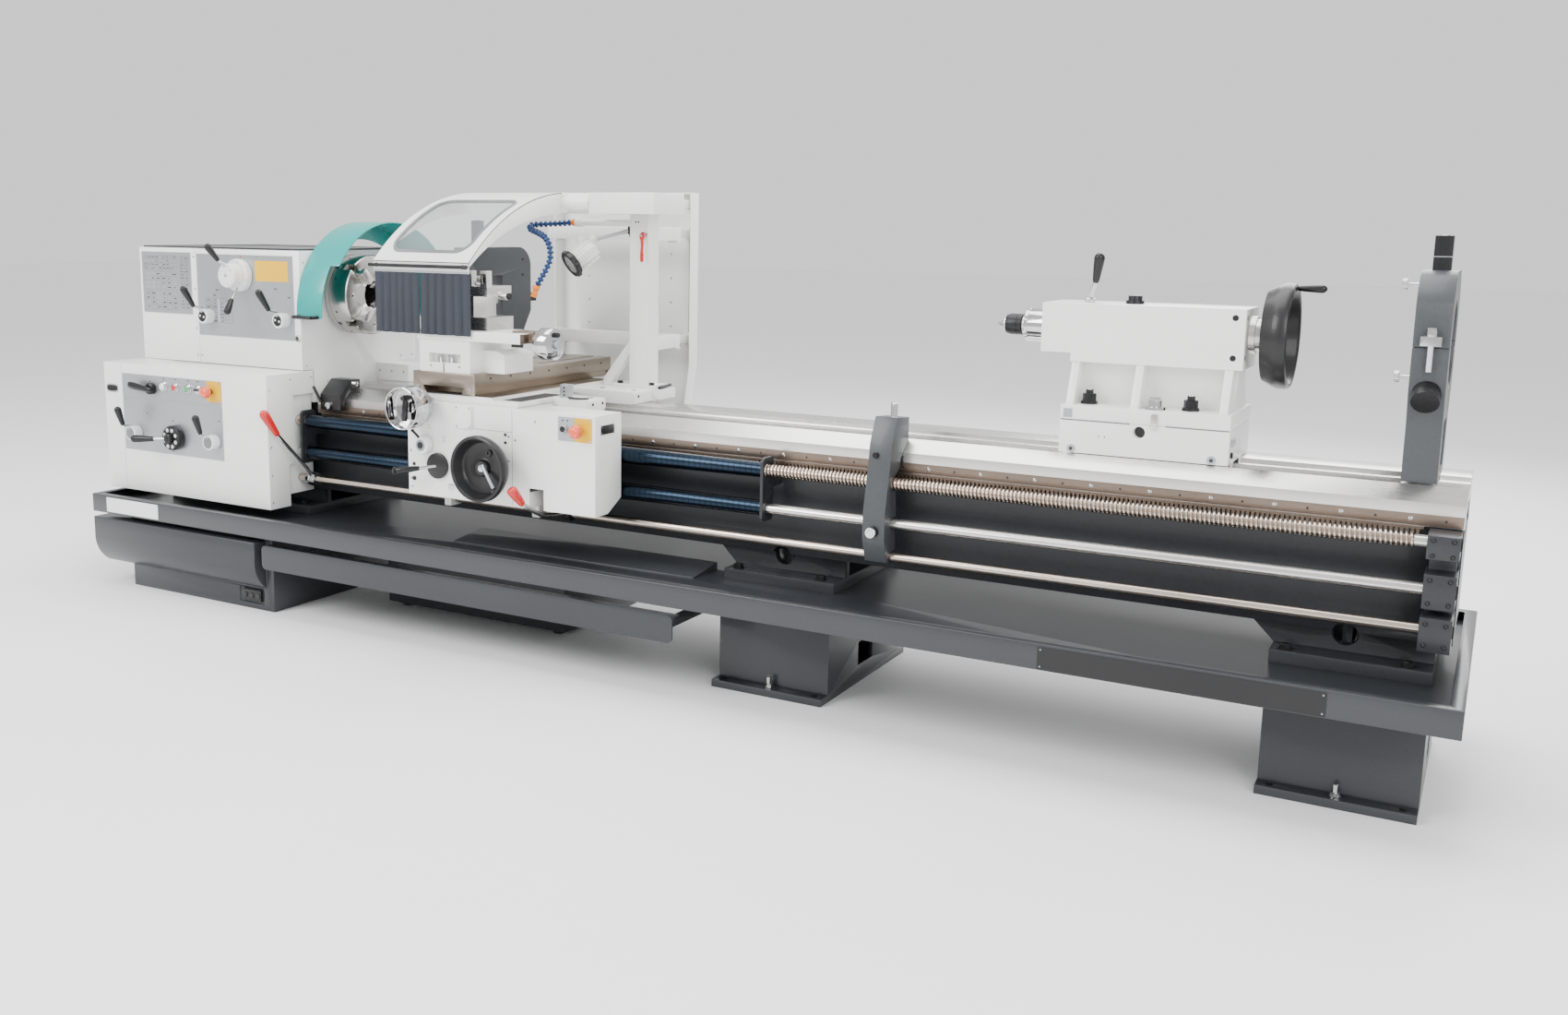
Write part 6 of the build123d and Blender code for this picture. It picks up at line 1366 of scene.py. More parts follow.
        plate(panel, at(2376.5), at(2445), 0.790, 0.870, face, name=YELLOW, screws=((at(2438),
            0.863), (at(2438), 0.797)))
        for x, z in ((at(2326), 0.856), (at(2345), 0.856)):
            panel.block((x, face - 0.0021, z), (x + 0.006, face - 0.0017, z + 0.005), PRINT_AND_SHADE_BLACK,
                0)
        panel.turned((at(2335), face - 0.0018, 0.830), -Y, mm((0, 15), (3, 15.5), (7, 13.5), (10,
            12.5), (10.5, 11)), ALLOY, 36)
        panel.turned((at(2335), face - 0.0118, 0.830), -Y, ((0, 0.0105), (0.0012, 0.0102), (0.0016,
            0.008)), GRIP, 30)
        panel.block((at(2457), -0.436, 0.815), (at(2457) + 0.0018, -0.358, 0.845), OXIDE, 0.0006)
        for y in (-0.431, -0.363):
            for z in (0.820, 0.840):
                panel.turned((at(2457) + 0.0017, y, z), X, mm((0, 1.8), (0.5, 1.4)), ALLOY, 10)
        panel.place("carriage", "plate_alloy")

    def wheel(self):
        x, z = at(2043), 0.680
        wheel = Piece("carriage_handwheel")
        dished(wheel, (x, -0.5180, z), -Y, 0.114, 0.015, 0.056, 0.026, CASTING)
        wheel.turned((x, -0.4505, z), -Y, mm((0, 15.8), (20, 15.8), (20.5, 34), (60, 36), (69,
            30)), ALLOY, 40)
        graduated(wheel, (x, -0.4715, z), -Y, 0.0348, 0.004, 60, 5, 0.010)
        wheel.turned((x, -0.5435, z), -Y, mm((0, 13), (4, 12), (5, 9)), CHROME, 30)
        wheel.tube([(x + 0.006, -0.541, z + 0.010), (x + 0.012, -0.546, z + 0.002), (x + 0.058,
            -0.5505, z - 0.064), (x + 0.062, -0.5515, z - 0.070)], 0.0072, ALLOY, 18)
        wheel.turned((x + 0.062, -0.5335, z - 0.070), -Y, mm((0, 8), (3, 10.5), (22, 11), (27, 9),
            (28.5, 5)), GRIP, 30)
        wheel.turned((x + 0.022, -0.5285, z + 0.052), -Y, mm((0, 12), (4, 11), (4.5, 6), (1, 5)),
            CASTING, 26)
        wheel.place("carriage_wheel", "cast_black", ["carriage_wheel"])

    def joystick(self):
        x, z, face = at(1793), 0.655, -0.470
        stick = Piece("feed_joystick")
        stick.turned((x, face - 0.0006, z), -Y, ((0, 0.0455), (0.002, 0.046), (0.0105, 0.045),
            (0.0118, 0.043)), CASTING, 56)
        stick.rod((x, face + 0.0195, z), (x, face - 0.002, z), 0.0138, GROUND)
        for a, b in (((-0.024, -0.005), (0.024, 0.005)), ((-0.005, -0.024), (0.005, 0.024))):
            stick.block((x + a[0], face - 0.0121, z + a[1]), (x + b[0], face - 0.0117, z + b[1]),
                PRINT_AND_SHADE_BLACK, 0)
        stick.tube([(x, face - 0.004, z), (x - 0.014, face - 0.016, z - 0.002), (x - 0.052,
            face - 0.040, z - 0.008), (x - 0.060, face - 0.0440, z - 0.0095)], 0.0058, CHROME, 18)
        grip_on(stick, (x - 0.052, face - 0.040, z - 0.008), (x - 0.134, face - 0.081, z - 0.021),
            0.0132, GRIP)
        stick.turned((x - 0.1265, face - 0.0775, z - 0.0196), (-0.88, -0.44, -0.14), mm((0, 12),
            (3, 14.8), (8, 15.2), (12.5, 11), (14.5, 5)), GRIP, 28)
        stick.place("apron_lever", "black_moulding", ["apron_lever"])

    def start_lever(self):
        lever = Piece("apron_start_lever_detailed")
        y, z = -0.280, 0.500
        lever.turned((at(2202), y, z), X, mm((0, 16.2), (0, 24), (2, 26.5), (30, 26.5), (32, 24),
            (32, 16.2)), CASTING, 40, closed=True)
        lever.tube([(at(2218), y - 0.016, z + 0.003), (at(2220), -0.37, 0.510), (at(2222), -0.440,
            0.520), (at(2216), -0.482, 0.540), (at(2204), -0.528, 0.570), (at(2202), -0.532,
            0.5765)], 0.0078, GROUND, 18)
        grip_on(lever, (at(2204), -0.528, 0.570), (at(2184), -0.570, 0.630), 0.0185, RED)
        lever.place("apron_start_lever", "red_moulding", ["apron_start_lever"])


class LATHE_OT_slides(LathePart, bpy.types.Operator):
    """Cross slide, compound rest, tool post and their wheels."""
    bl_idname = "lathe.slides"
    bl_label = "Slides and tool post"

    def execute(self, context):
        dressed("cross_slide", OILED, 0.002)
        slide = Piece("cross_slide_details")
        low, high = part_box("cross_slide")
        # felt wipers and the gib screws
        for y, direction in ((low.y - 0.0002, -Y),):
            for x in (low.x + 0.022, high.x - 0.022):
                slide.screw((x, y, low.z + 0.018), direction, 0.008, ALLOY)
        for index in range(7):
            y = low.y + 0.09 + index * 0.115
            slide.turned((high.x + 0.0002, y, high.z - 0.020), X, mm((0, 4), (0.8, 4)), OXIDE, 14)
        slide.block((low.x + 0.016, low.y - 0.0004, low.z + 0.0002), (high.x - 0.016,
            low.y + 0.014, low.z + 0.0030), RUBBER, 0)
        slide.place("cross_slide", "brown_steel")
        dressed("compound_base", WHITE, self.sizes.cast_edge, segments=3, regions=[(CHROME,
            (at(1763), -0.4385, 1.0162), (at(1786), -0.415, 1.0345)), (CHROME, (at(1811), -0.4385,
            1.0162), (at(1834), -0.415, 1.0345))])
        base = Piece("compound_bolts")
        for x in (at(1774), at(1822)):
            base.hex_bolt((x, -0.4285, 1.0342), Z, 0.0085, 0.009, CHROME)
        base.block((at(1797), -0.4402, 0.9835), (at(1801), -0.4388, 1.0155), PRINT_AND_SHADE_BLACK, 0)
        for x in (at(1740), at(1868)):
            for z in (1.004,):
                base.turned((x, -0.4392, z), -Y, mm((0, 4), (0.6, 3.6)), SEAL, 14)
        base.place("cross_slide", "white_paint")
        self.top()
        self.wheels()
        return {"FINISHED"}

    def top(self):
        top = 1.130
        steel = GROUND
        dressed("top_slide", WHITE, 0.003, segments=3, regions=[(steel, (at(1760), -0.41,
            top + 0.0002), (at(2010), -0.24, 1.35)), (RACK, (at(2060), -0.40, 1.10), (at(2160),
            -0.32, 1.1365))])
        post = Piece("tool_post_details")
        post.turned((at(1896), -0.3275, 1.3192), Z, mm((0, 14.5), (4, 14.5), (6, 12), (6.4, 6)),
            CHROME, 32)
        for x in (at(1800), at(1828), at(1911)):
            post.turned((x, -0.349, 1.2832), Z, mm((0, 7), (14, 7), (16, 5.5)), OXIDE, 4)
        for z in (1.1762, 1.2462):
            post.block((at(1829.5), -0.3905, z), (at(1896.5), -0.3895, z + 0.0016), OXIDE, 0)
        post.turned((at(1999), -0.330, 1.249), X, mm((0, 10.5), (2, 13), (10, 13), (12, 10)),
            OXIDE, 6)
        post.place("top_slide", "work_steel")

    def wheels(self):
        x, z = at(1731), 0.865
        cup = Piece("cross_slide_handwheel")
        front = -0.590
        # chromed cup: thin wall, deep recess, graduated sleeve and shaft behind it
        cup.turned((x, front, z), Y, ((0.062, 0.020), (0.062, 0.072), (0.060, 0.0745), (0.004,
            0.075), (0.001, 0.0740), (0.0, 0.0720), (0.001, 0.0695), (0.004, 0.0680), (0.048,
            0.0672), (0.0505, 0.064), (0.0515, 0.020), (0.046, 0.018), (0.044, 0.014)), CHROME, 80)
        cup.turned((x, front + 0.062, z), Y, mm((0, 63.5), (1.5, 64), (30, 64), (32, 62), (32, 42),
            (34, 41.5), (60, 41.5), (62, 30), (120, 30), (120.2, 19.8), (149, 19.8)), ALLOY, 72)
        graduated(cup, (x, front + 0.062, z), Y, 0.064, 0.004, 100, 10, 0.012)
        cup.turned((x, front + 0.0505, z + 0.034), -Y, mm((0, 7), (4, 8.5), (12, 10.5), (34, 11),
            (41, 9), (43.5, 5)), GRIP, 28)
        cup.tube([(x - 0.004, front + 0.030, z + 0.036), (x - 0.002, front + 0.028, z + 0.018),
            (x - 0.006, front + 0.027, z - 0.030), (x - 0.008, front + 0.027, z - 0.046)], [0.006,
            0.0105, 0.0115, 0.009], GRIP, 24)
        cup.place("cross_wheel", "chrome_plate", ["cross_wheel"])
        start = at(2156.5)
        y, z = -0.362, 1.096
        wheel = Piece("top_slide_handwheel")
        wheel.turned((start, y, z), X, mm((0, 40), (1, 45.5), (14, 46), (15, 54.5), (17, 55), (62,
            55), (65.5, 53), (66, 51), (66, 16), (64.5, 15)), CHROME, 72)
        graduated(wheel, (start, y, z), X, 0.046, 0.003, 60, 5, 0.009)
        graduated(wheel, (start, y, z), X, 0.055, 0.020, 100, 10, 0.014)
        wheel.rod((start - 0.0098, y, z), (start + 0.001, y, z), 0.0118, GROUND)
        wheel.turned((start + 0.0645, y, z), X, mm((0, 14), (10, 14), (12.5, 12), (12.8, 6)),
            ALLOY, 32)
        wheel.turned((start + 0.066, y, z + 0.032), X, mm((0, 8.8), (12, 9), (15.5, 6.5)), OXIDE,
            24)
        wheel.turned((start + 0.0662, y + 0.004, z - 0.034), X, mm((0, 10), (10, 10), (13, 8)),
            ALLOY, 26)
        grip_on(wheel, (start + 0.071, y + 0.004, z - 0.0345), (start + 0.082, y - 0.066,
            z - 0.038), 0.0092, GRIP)
        wheel.place("top_wheel", "chrome_plate", ["top_wheel"])


# ---------------------------------------------------------------- rests, guard, hood
class LATHE_OT_follow_rest(LathePart, bpy.types.Operator):
    """Follow rest with its square screws."""
    bl_idname = "lathe.follow_rest"
    bl_label = "Follow rest"

    def execute(self, context):
        dressed("follow_rest", GREY, 0.008, segments=4, regions=[(OXIDE, (at(1580), -0.018,
            1.4075), (at(1630), 0.018, 1.51)), (OXIDE, (at(1580), 0.2925, 1.19), (at(1630), 0.35,
            1.23)), (GROUND, (at(1576), -0.025, 1.24), (at(1632), 0.025, 1.2995)), (GROUND,
            (at(1576), 0.03, 1.185), (at(1632), 0.1095, 1.235))])
        caps = Piece("follow_rest_screws")
        x = at(1604)
        caps.turned((x, 0, 1.5068), Z, mm((0, 10.5), (1.8, 10), (2.2, 6)), ALLOY, 26)
        for y in (0.12, 0.2):
            caps.screw((at(1633) + 0.0002, y, 0.925), X, 0.0075, OXIDE)
        for z in (1.30, 1.36):
            caps.screw((at(1633) + 0.0002, 0.24, z), X, 0.005, OXIDE)
        caps.place("carriage", "grey_paint")
        return {"FINISHED"}


class LATHE_OT_rear_guard(LathePart, bpy.types.Operator):
    """Splash panel, post, boxed arm, coolant pipe with its ball hose, and valve."""
    bl_idname = "lathe.rear_guard"
    bl_label = "Rear guard and coolant line"

    ROUTE = ((1905, 196, 1504), (1862, 182, 1500), (1812, 150, 1497), (1778, 110, 1492), (1790, 84,
        1478), (1838, 68, 1464), (1880, 54, 1446), (1906, 44, 1412), (1914, 36, 1372), (1904, 26,
        1334), (1888, 16, 1300), (1872, 6, 1266))

    def execute(self, context):
        dressed("rear_guard", WHITE, 0.003, segments=3, regions=[(RED, (at(2200), 0.17, 1.35),
            (at(2240), 0.2048, 1.48))], drop=[((at(1760), -0.05, 1.18), (at(1930), 0.1795, 1.52)),
            ((at(1760), -0.05, 1.18), (at(1919.5), 0.25, 1.52)), ((at(2205), 0.175, 1.355),
            (at(2240), 0.187, 1.472))])
        self.hose()
        self.valve()
        self.fittings()
        return {"FINISHED"}

    def hose(self):
        hose = Piece("coolant_ball_hose")
        route = [Vector((at(x), y * MM, z * MM)) for x, y, z in self.ROUTE]
        # a smooth line through the route, then one ball segment every 18 mm
        line = []
        for index in range(len(route) - 1):
            before = route[max(index - 1, 0)]
            a, b = route[index], route[index + 1]
            after = route[min(index + 2, len(route) - 1)]
            for step in range(12):
                t = step / 12
                line.append(0.5 * ((2 * a) + (b - before) * t + (2 * before - 5 * a + 4 * b -
                    after) * t * t + (3 * a - before - 3 * b + after) * t ** 3))
        line.append(route[-1])
        walked, pitch, beads = 0.0, 0.018, [(line[0], (line[1] - line[0]).normalized())]
        for a, b in zip(line, line[1:]):
            length = (b - a).length
            while walked + length >= pitch:
                share = (pitch - walked) / length
                a = a.lerp(b, share)
                beads.append((a.copy(), (b - a).normalized() if (b - a).length > 1e-6 else
                    beads[-1][1]))
                length = (b - a).length
                walked = 0.0
            walked += length
        for place, ahead in beads:
            hose.turned(place - ahead * 0.0095, ahead, mm((0, 5.2), (1.2, 9.2), (5, 12.5), (9, 12),
                (12, 8.6), (13.5, 5.8), (19, 5.2)), HOSE, 22)
        hose.turned((at(1921), 0.196, 1.504), -X, mm((0, 14.5), (4, 14.8), (12, 13.5), (20, 10.5)),
            NOZZLE, 28)
        tip = Vector((at(1864), -0.002, 1.228))
        ahead = (tip - route[-1]).normalized()
        hose.turned(route[-1] - ahead * 0.006, ahead, ((0, 0.0125), (0.003, 0.0138), (0.014,
            0.0138), (0.018, 0.0095), (0.024, 0.0085), (0.030, 0.0125), (0.0445, 0.0118), (0.0448,
            0.0085), (0.040, 0.0075)), NOZZLE, 28)
        hose.place("carriage", "black_moulding")

    def valve(self):
        valve = Piece("coolant_valve_lever")
        x, y = at(2222), 0.1788
        ring, back = [], []
        part = bmesh.new()
        outline = [(-0.0085, 1.464), (-0.0095, 1.452), (-0.0050, 1.440), (-0.0035, 1.420),
            (-0.0058, 1.400), (-0.0066, 1.372), (-0.0045, 1.3635), (0.0010, 1.3622), (0.0062,
            1.366), (0.0070, 1.380), (0.0052, 1.402), (0.0062, 1.420), (0.0064, 1.440), (0.0095,
            1.452), (0.0085, 1.464), (0.0, 1.4675)]
        for dx, z in outline:
            ring.append(part.verts.new((x + dx, y, z)))
            back.append(part.verts.new((x + dx, y + 0.0062, z)))
        part.faces.new(ring)
        part.faces.new(back[::-1])
        for i in range(len(ring)):
            j = (i + 1) % len(ring)
            part.faces.new((ring[i], ring[j], back[j], back[i]))
        bmesh.ops.recalc_face_normals(part, faces=part.faces[:])
        bmesh.ops.bevel(part, geom=[e for e in part.edges if e.calc_face_angle(0) > 0.9],
            offset=0.0016, segments=3, profile=0.6, affect="EDGES")
        valve.take(part, RED)
        valve.hex_bolt((x, y + 0.0003, 1.458), -Y, 0.0042, 0.0035, ALLOY, False)
        valve.place("carriage", "red_moulding")

    def fittings(self):
        trim = Piece("rear_guard_fittings")
        face = 0.5868
        # rivet columns down the panel
        for x in (at(1712), at(2105)):
            for index in range(6):
                trim.screw((x, face, 1.10 + 0.095 * index), -Y, 0.0045, ALLOY, False)
        # slotted rail at the right-hand side
        rail = at(2190)
        trim.block((rail - 0.006, face - 0.004, 1.06), (rail + 0.006, face + 0.0005, 1.51), WHITE,
            0.001)
        trim.block((rail - 0.0012, face - 0.0043, 1.08), (rail + 0.0012, face - 0.0038, 1.49),
            SEAL, 0)
        for index in range(20):
            trim.block((rail + 0.012, face - 0.0005, 1.09 + 0.02 * index), (rail + 0.016,
                face + 0.0005, 1.098 + 0.02 * index), SEAL, 0)
        # clamp blocks where the arms meet the panel
        for z in (1.055, 1.465):
            for x in (at(1654), at(2181)):
                trim.block((x - 0.022, 0.4665, z - 0.034), (x + 0.022, 0.500, z - 0.026), WHITE,
                    0.0015)
                trim.hex_bolt((x, 0.448, z), -Y, 0.008, 0.007, ALLOY)
        # post screws, brace bolt and arm seams
        for x, z in ((at(2181), 1.508), (at(2193), 1.508)):
            trim.screw((x, 0.2048, z), -Y, 0.0032, OXIDE)
        for x in (at(2110), at(2250)):
            trim.hex_bolt((x, 0.212, 0.9067), Z, 0.010, 0.009)
        for x in (at(2110),):
            trim.block((x, 0.117, 1.5358), (x + 0.04, 0.15, 1.5364), SEAL, 0)
        trim.rod((at(2225), 0.1965, 1.452), (at(2225), 0.1965, 1.470), 0.006, ALLOY)
        # barrel seam and pipe collars
        for x in (at(1926), at(1942)):
            trim.turned((x, 0.196, 1.504), X, mm((0, 11.2), (0, 15.5), (6, 15.5), (6, 11.2)),
                WHITE, 32, closed=True)
        trim.place("carriage", "white_paint")


class LATHE_OT_hood(LathePart, bpy.types.Operator):
    """Swinging hood: pressed skin with its window, seal, clear pane, pull bar and barrel."""
    bl_idname = "lathe.hood"
    bl_label = "Hood"

    FRONT = -0.457
    SIDES = (at(1500), at(1930))
    WINDOW = (at(1542), at(1892), -0.423, -0.107)

    def arc(self, count, shrink=0.0):
        """Points of the skin from its front edge up to the barrel."""
        a, b, c = Vector((-0.457, 1.364)), Vector((-0.240, 1.524)), Vector((0.096, 1.612))
        d = 2 * (a.x * (b.y - c.y) + b.x * (c.y - a.y) + c.x * (a.y - b.y))
        ux = (a.dot(a) * (b.y - c.y) + b.dot(b) * (c.y - a.y) + c.dot(c) * (a.y - b.y)) / d
        uy = (a.dot(a) * (c.x - b.x) + b.dot(b) * (a.x - c.x) + c.dot(c) * (b.x - a.x)) / d
        centre = Vector((ux, uy))
        radius = (a - centre).length - shrink
        first = atan2(a.y - uy, a.x - ux)
        last = atan2(c.y - uy, c.x - ux)
        return [centre + radius * Vector((cos(t), sin(t))) for t in [first + (last - first) * i /
            (count - 1) for i in range(count)]]

    def execute(self, context):
        self.skin()
        self.window()
        self.trim()
        return {"FINISHED"}

    def height(self, y, shrink=0.0):
        line = self.arc(121, shrink)
        for a, b in zip(line, line[1:]):
            if a.x <= y <= b.x:
                return a.y + (b.y - a.y) * (y - a.x) / (b.x - a.x)
        return line[0].y if y < line[0].x else line[-1].y

    def rounded(self, grow, corner, steps=10):
        """Window outline as (x, y) points with round corners."""
        x0, x1, y0, y1 = self.WINDOW
        x0, x1, y0, y1 = x0 - grow, x1 + grow, y0 - grow * 0.8, y1 + grow * 0.8
        ring = []
        for cx, cy, start in ((x1 - corner, y1 - corner, 0), (x0 + corner, y1 - corner, 90),
                (x0 + corner, y0 + corner, 180), (x1 - corner, y0 + corner, 270)):
            for step in range(steps + 1):
                angle = radians(start + 90 * step / steps)
                ring.append((cx + corner * cos(angle), cy + corner * sin(angle)))
        # more points along the long sides, so that the ring follows the curved skin
        full = []
        for a, b in zip(ring, ring[1:] + ring[:1]):
            parts = max(1, int(dist(a, b) / 0.012))
            full += [(a[0] + (b[0] - a[0]) * i / parts, a[1] + (b[1] - a[1]) * i / parts) for i in
                range(parts)]
        return full

    def skin(self):
        skin = Piece("hood_skin")
        part = bmesh.new()
        left, right = self.SIDES
        ring = self.rounded(0.0, 0.050)
        centre = ((self.WINDOW[0] + self.WINDOW[1]) / 2, (self.WINDOW[2] + self.WINDOW[3]) / 2)
        low_y, high_y = self.FRONT, 0.096
        outer = []
        for x, y in ring:
            # the ray from the window's centre through this point meets the skin's border
            dx, dy = x - centre[0], y - centre[1]
            reach = min([(right - centre[0]) / dx if dx > 1e-6 else 1e9,
                (left - centre[0]) / dx if dx < -1e-6 else 1e9,
                (high_y - centre[1]) / dy if dy > 1e-6 else 1e9,
                (low_y - centre[1]) / dy if dy < -1e-6 else 1e9])
            outer.append((centre[0] + dx * reach, centre[1] + dy * reach))
        for corner in ((left, low_y), (right, low_y), (left, high_y), (right, high_y)):
            nearest = min(range(len(outer)), key=lambda i: dist(outer[i], corner))
            outer[nearest] = corner
        layers = 9
        rows = {}
        for side, shrink in ((0, 0.0), (1, 0.004)):
            for layer in range(layers + 1):
                share = layer / layers
                rows[side, layer] = [part.verts.new((a[0] + (b[0] - a[0]) * share,
                    a[1] + (b[1] - a[1]) * share, self.height(a[1] + (b[1] - a[1]) * share,
                    shrink))) for a, b in zip(ring, outer)]
        count = len(ring)
        for side in (0, 1):
            for layer in range(layers):
                a, b = rows[side, layer], rows[side, layer + 1]
                for i in range(count):
                    j = (i + 1) % count
                    face = (a[i], a[j], b[j], b[i])
                    part.faces.new(face if side else face[::-1])
        for layer in (0, layers):
            a, b = rows[0, layer], rows[1, layer]
            for i in range(count):
                j = (i + 1) % count
                part.faces.new((a[i], a[j], b[j], b[i]))
        bmesh.ops.recalc_face_normals(part, faces=part.faces[:])
        skin.take(part, WHITE)
        # crescent cheeks
        upper = self.arc(30)
        lower = self.lower()
        for x in (left, right - 0.004):
            outline = [tuple(p) for p in upper] + lower
            skin.prism(outline, x, x + 0.004, WHITE, 0.0009)
        # rolled front rail
        skin.prism([(self.FRONT, 1.326), (self.FRONT, 1.366), (self.FRONT + 0.006, 1.372),
            (self.FRONT + 0.010, 1.368), (self.FRONT + 0.004, 1.360), (self.FRONT + 0.004, 1.326)],
            left, right, WHITE, 0.0008)
        # barrel that turns in the boxed arm
        skin.turned((right - 0.004, 0.118, 1.574), X, mm((0, 34), (4, 38), (125.5, 38), (125.7,
            16), (183, 16)), WHITE, 64)
        skin.prism([(0.086, 1.538), (0.086, 1.612), (0.118, 1.612), (0.118, 1.538)], right - 0.004,
            right + 0.018, WHITE, 0.002)
        skin.place("hood", "white_paint", ["guard_hood"], 28)

    def lower(self):
        a, b, c = Vector((0.096, 1.536)), Vector((-0.204, 1.482)), Vector((-0.457, 1.345))
        points = []
        for i in range(25):
            t = i / 24
            points.append(((1 - t) * (1 - 2 * t) * a.x + 4 * t * (1 - t) * b.x + t * (2 * t - 1) *
                c.x, (1 - t) * (1 - 2 * t) * a.y + 4 * t * (1 - t) * b.y + t * (2 * t - 1) * c.y))
        return points

    def window(self):
        seal = Piece("window_seal")
        ring = self.rounded(0.0, 0.050)
        count = len(ring)
        rows = []
        for grow, lift in ((0.0045, 0.0002), (0.0045, 0.0026), (0.0025, 0.0042), (-0.003, 0.0044),
                (-0.0065, 0.0030), (-0.0075, -0.002), (-0.0070, -0.0062), (0.0010, -0.0075),
                (0.0050, -0.0062), (0.0050, -0.0040)):
            shape = self.rounded(grow, 0.050 + grow)
            pairs = [shape[int(i * len(shape) / count)] for i in range(count)]
            rows.append([seal.mesh.verts.new((x, y, self.height(y) + lift)) for x, y in pairs])
        faces = []
        for a, b in zip(rows, rows[1:] + rows[:1]):
            for i in range(count):
                j = (i + 1) % count
                faces.append(seal.mesh.faces.new((a[i], a[j], b[j], b[i])))
        seal.paint(faces, SEAL)
        seal.place("hood", "black_moulding", angle=60)
        pane = Piece("clear_window_pane")
        ring = self.rounded(0.002, 0.050)
        centre = ((self.WINDOW[0] + self.WINDOW[1]) / 2, (self.WINDOW[2] + self.WINDOW[3]) / 2)
        layers = 8
        for lift in (-0.0035, -0.0060):
            before = None
            for layer in range(1, layers + 1):
                share = layer / layers
                row = [pane.mesh.verts.new((centre[0] + (x - centre[0]) * share,
                    centre[1] + (y - centre[1]) * share, self.height(centre[1] + (y - centre[1]) *
                    share) + lift)) for x, y in ring]
                if before is None:
                    middle = pane.mesh.verts.new((centre[0], centre[1],
                        self.height(centre[1]) + lift))
                    made = [pane.mesh.faces.new((middle, row[i],
                        row[(i + 1) % len(row)])) for i in range(len(row))]
                else:
                    made = [pane.mesh.faces.new((before[i], row[i], row[(i + 1) % len(row)],
                        before[(i + 1) % len(row)])) for i in range(len(row))]
                pane.paint(made, PANE)
                before = row
        pane.place("hood", "white_paint")

    def trim(self):
        bar = Piece("hood_pull_bar")
        y, z = self.FRONT - 0.010, 1.349
        bar.rod((at(1486), y, z), (at(1921), y, z), 0.006, OXIDE, 24, 0.4)
        for x in (at(1515), at(1907)):
            bar.rod((x, y, z), (x, self.FRONT + 0.001, z), 0.004, OXIDE, 16)
            bar.turned((x, self.FRONT - 0.0002, z), -Y, mm((0, 8), (1.5, 8), (2, 7)), OXIDE, 20)
        bar.turned((at(1921) - 0.001, y, z), X, mm((0, 6), (0, 7.2), (9, 7.2), (10.5, 5)), RUBBER,
            24)
        bar.block((self.SIDES[0] + 0.003, self.FRONT - 0.0022, 1.3265), (self.SIDES[1] - 0.001,
            self.FRONT - 0.0002, 1.334), ALLOY, 0.0006)
        for index in range(7):
            x = self.SIDES[0] + 0.03 + index * 0.0615
            bar.turned((x, self.FRONT - 0.0021, 1.3302), -Y, mm((0, 2.8), (0.8, 2.4)), ALLOY, 12)
        bar.place("hood", "black_moulding")


class LATHE_OT_curtain(LathePart, bpy.types.Operator):
    """Pleated leather curtain under the hood, in two sheets with a slit between them."""
    bl_idname = "lathe.curtain"
    bl_label = "Leather curtain"

    def execute(self, context):
        low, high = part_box("hood_curtain")
        dice = random.Random(23)
        slit = at(1708)
        total = high.x - low.x
        for index, (x0, x1) in enumerate(((low.x + 0.001, slit - 0.002), (slit + 0.002,
                high.x - 0.001))):
            count = max(2, round(self.sizes.pleats * (x1 - x0) / total))
            edges = [x0 + (x1 - x0) * (i / count) for i in range(count + 1)]
            edges = [edges[0]] + [e + dice.uniform(-0.003, 0.003) for e in edges[1:-1]] \
                + [edges[-1]]
            # the hide swells out over each pleat and tucks behind the next one
            profile = []
            for a, b in zip(edges, edges[1:]):
                tilt = dice.uniform(0.7, 1.2)
                for step in range(12):
                    t = step / 12
                    bulge = sin(pi * min(1.0, t * 1.04)) ** 0.55
                    profile.append((a + (b - a) * t, 0.003 - 0.0105 * bulge * tilt))
            profile.append((edges[-1], 0.003))
            rows, layers = [], 40
            mesh = bmesh.new()
            drift = [dice.uniform(-1, 1) for _ in range(6)]
            sway = (high.y + low.y) / 2
            for layer in range(layers + 1):
                share = layer / layers
                row = []
                for x, depth in profile:
                    near = (x - x0) / (x1 - x0)
                    soft = 0.55 + 0.45 * share ** 0.7
                    wave = 0.0009 * sin(6.0 * near + 3.0 * share + drift[0])
                    crease = 0.0006 * noise.noise(Vector((x * 55, share * 9, 3.1 + index)))
                    shift = 0.0008 * share * sin(9 * near + drift[1] + 1.7 * share)
                    if x in (x0, x1):
                        shift *= 0.2
                    hem = 0.0004 * sin(23 * near + drift[2]) if layer == layers else 0.0
                    row.append(mesh.verts.new((x + shift, sway + depth * soft + wave + crease,
                        high.z - (high.z - low.z - 0.002) * share + hem)))
                rows.append(row)
            faces = [mesh.faces.new((a[i], b[i], b[i + 1], a[i + 1])) for a, b in zip(rows,
                rows[1:]) for i in range(len(profile) - 1)]
            for face in faces:
                face.smooth = True
            area = sum(face.calc_area() for face in faces)
            data = bpy.data.meshes.new(f"leather_sheet_{index + 1}")
            mesh.to_mesh(data)
            mesh.free()
            data.materials.append(FINISH[LEATHER])
            cloth = bpy.data.objects.new(f"leather_sheet_{index + 1}", data)
            context.scene.collection.objects.link(cloth)
            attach(cloth, "hood")
            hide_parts("hood_curtain")
        return {"FINISHED"}


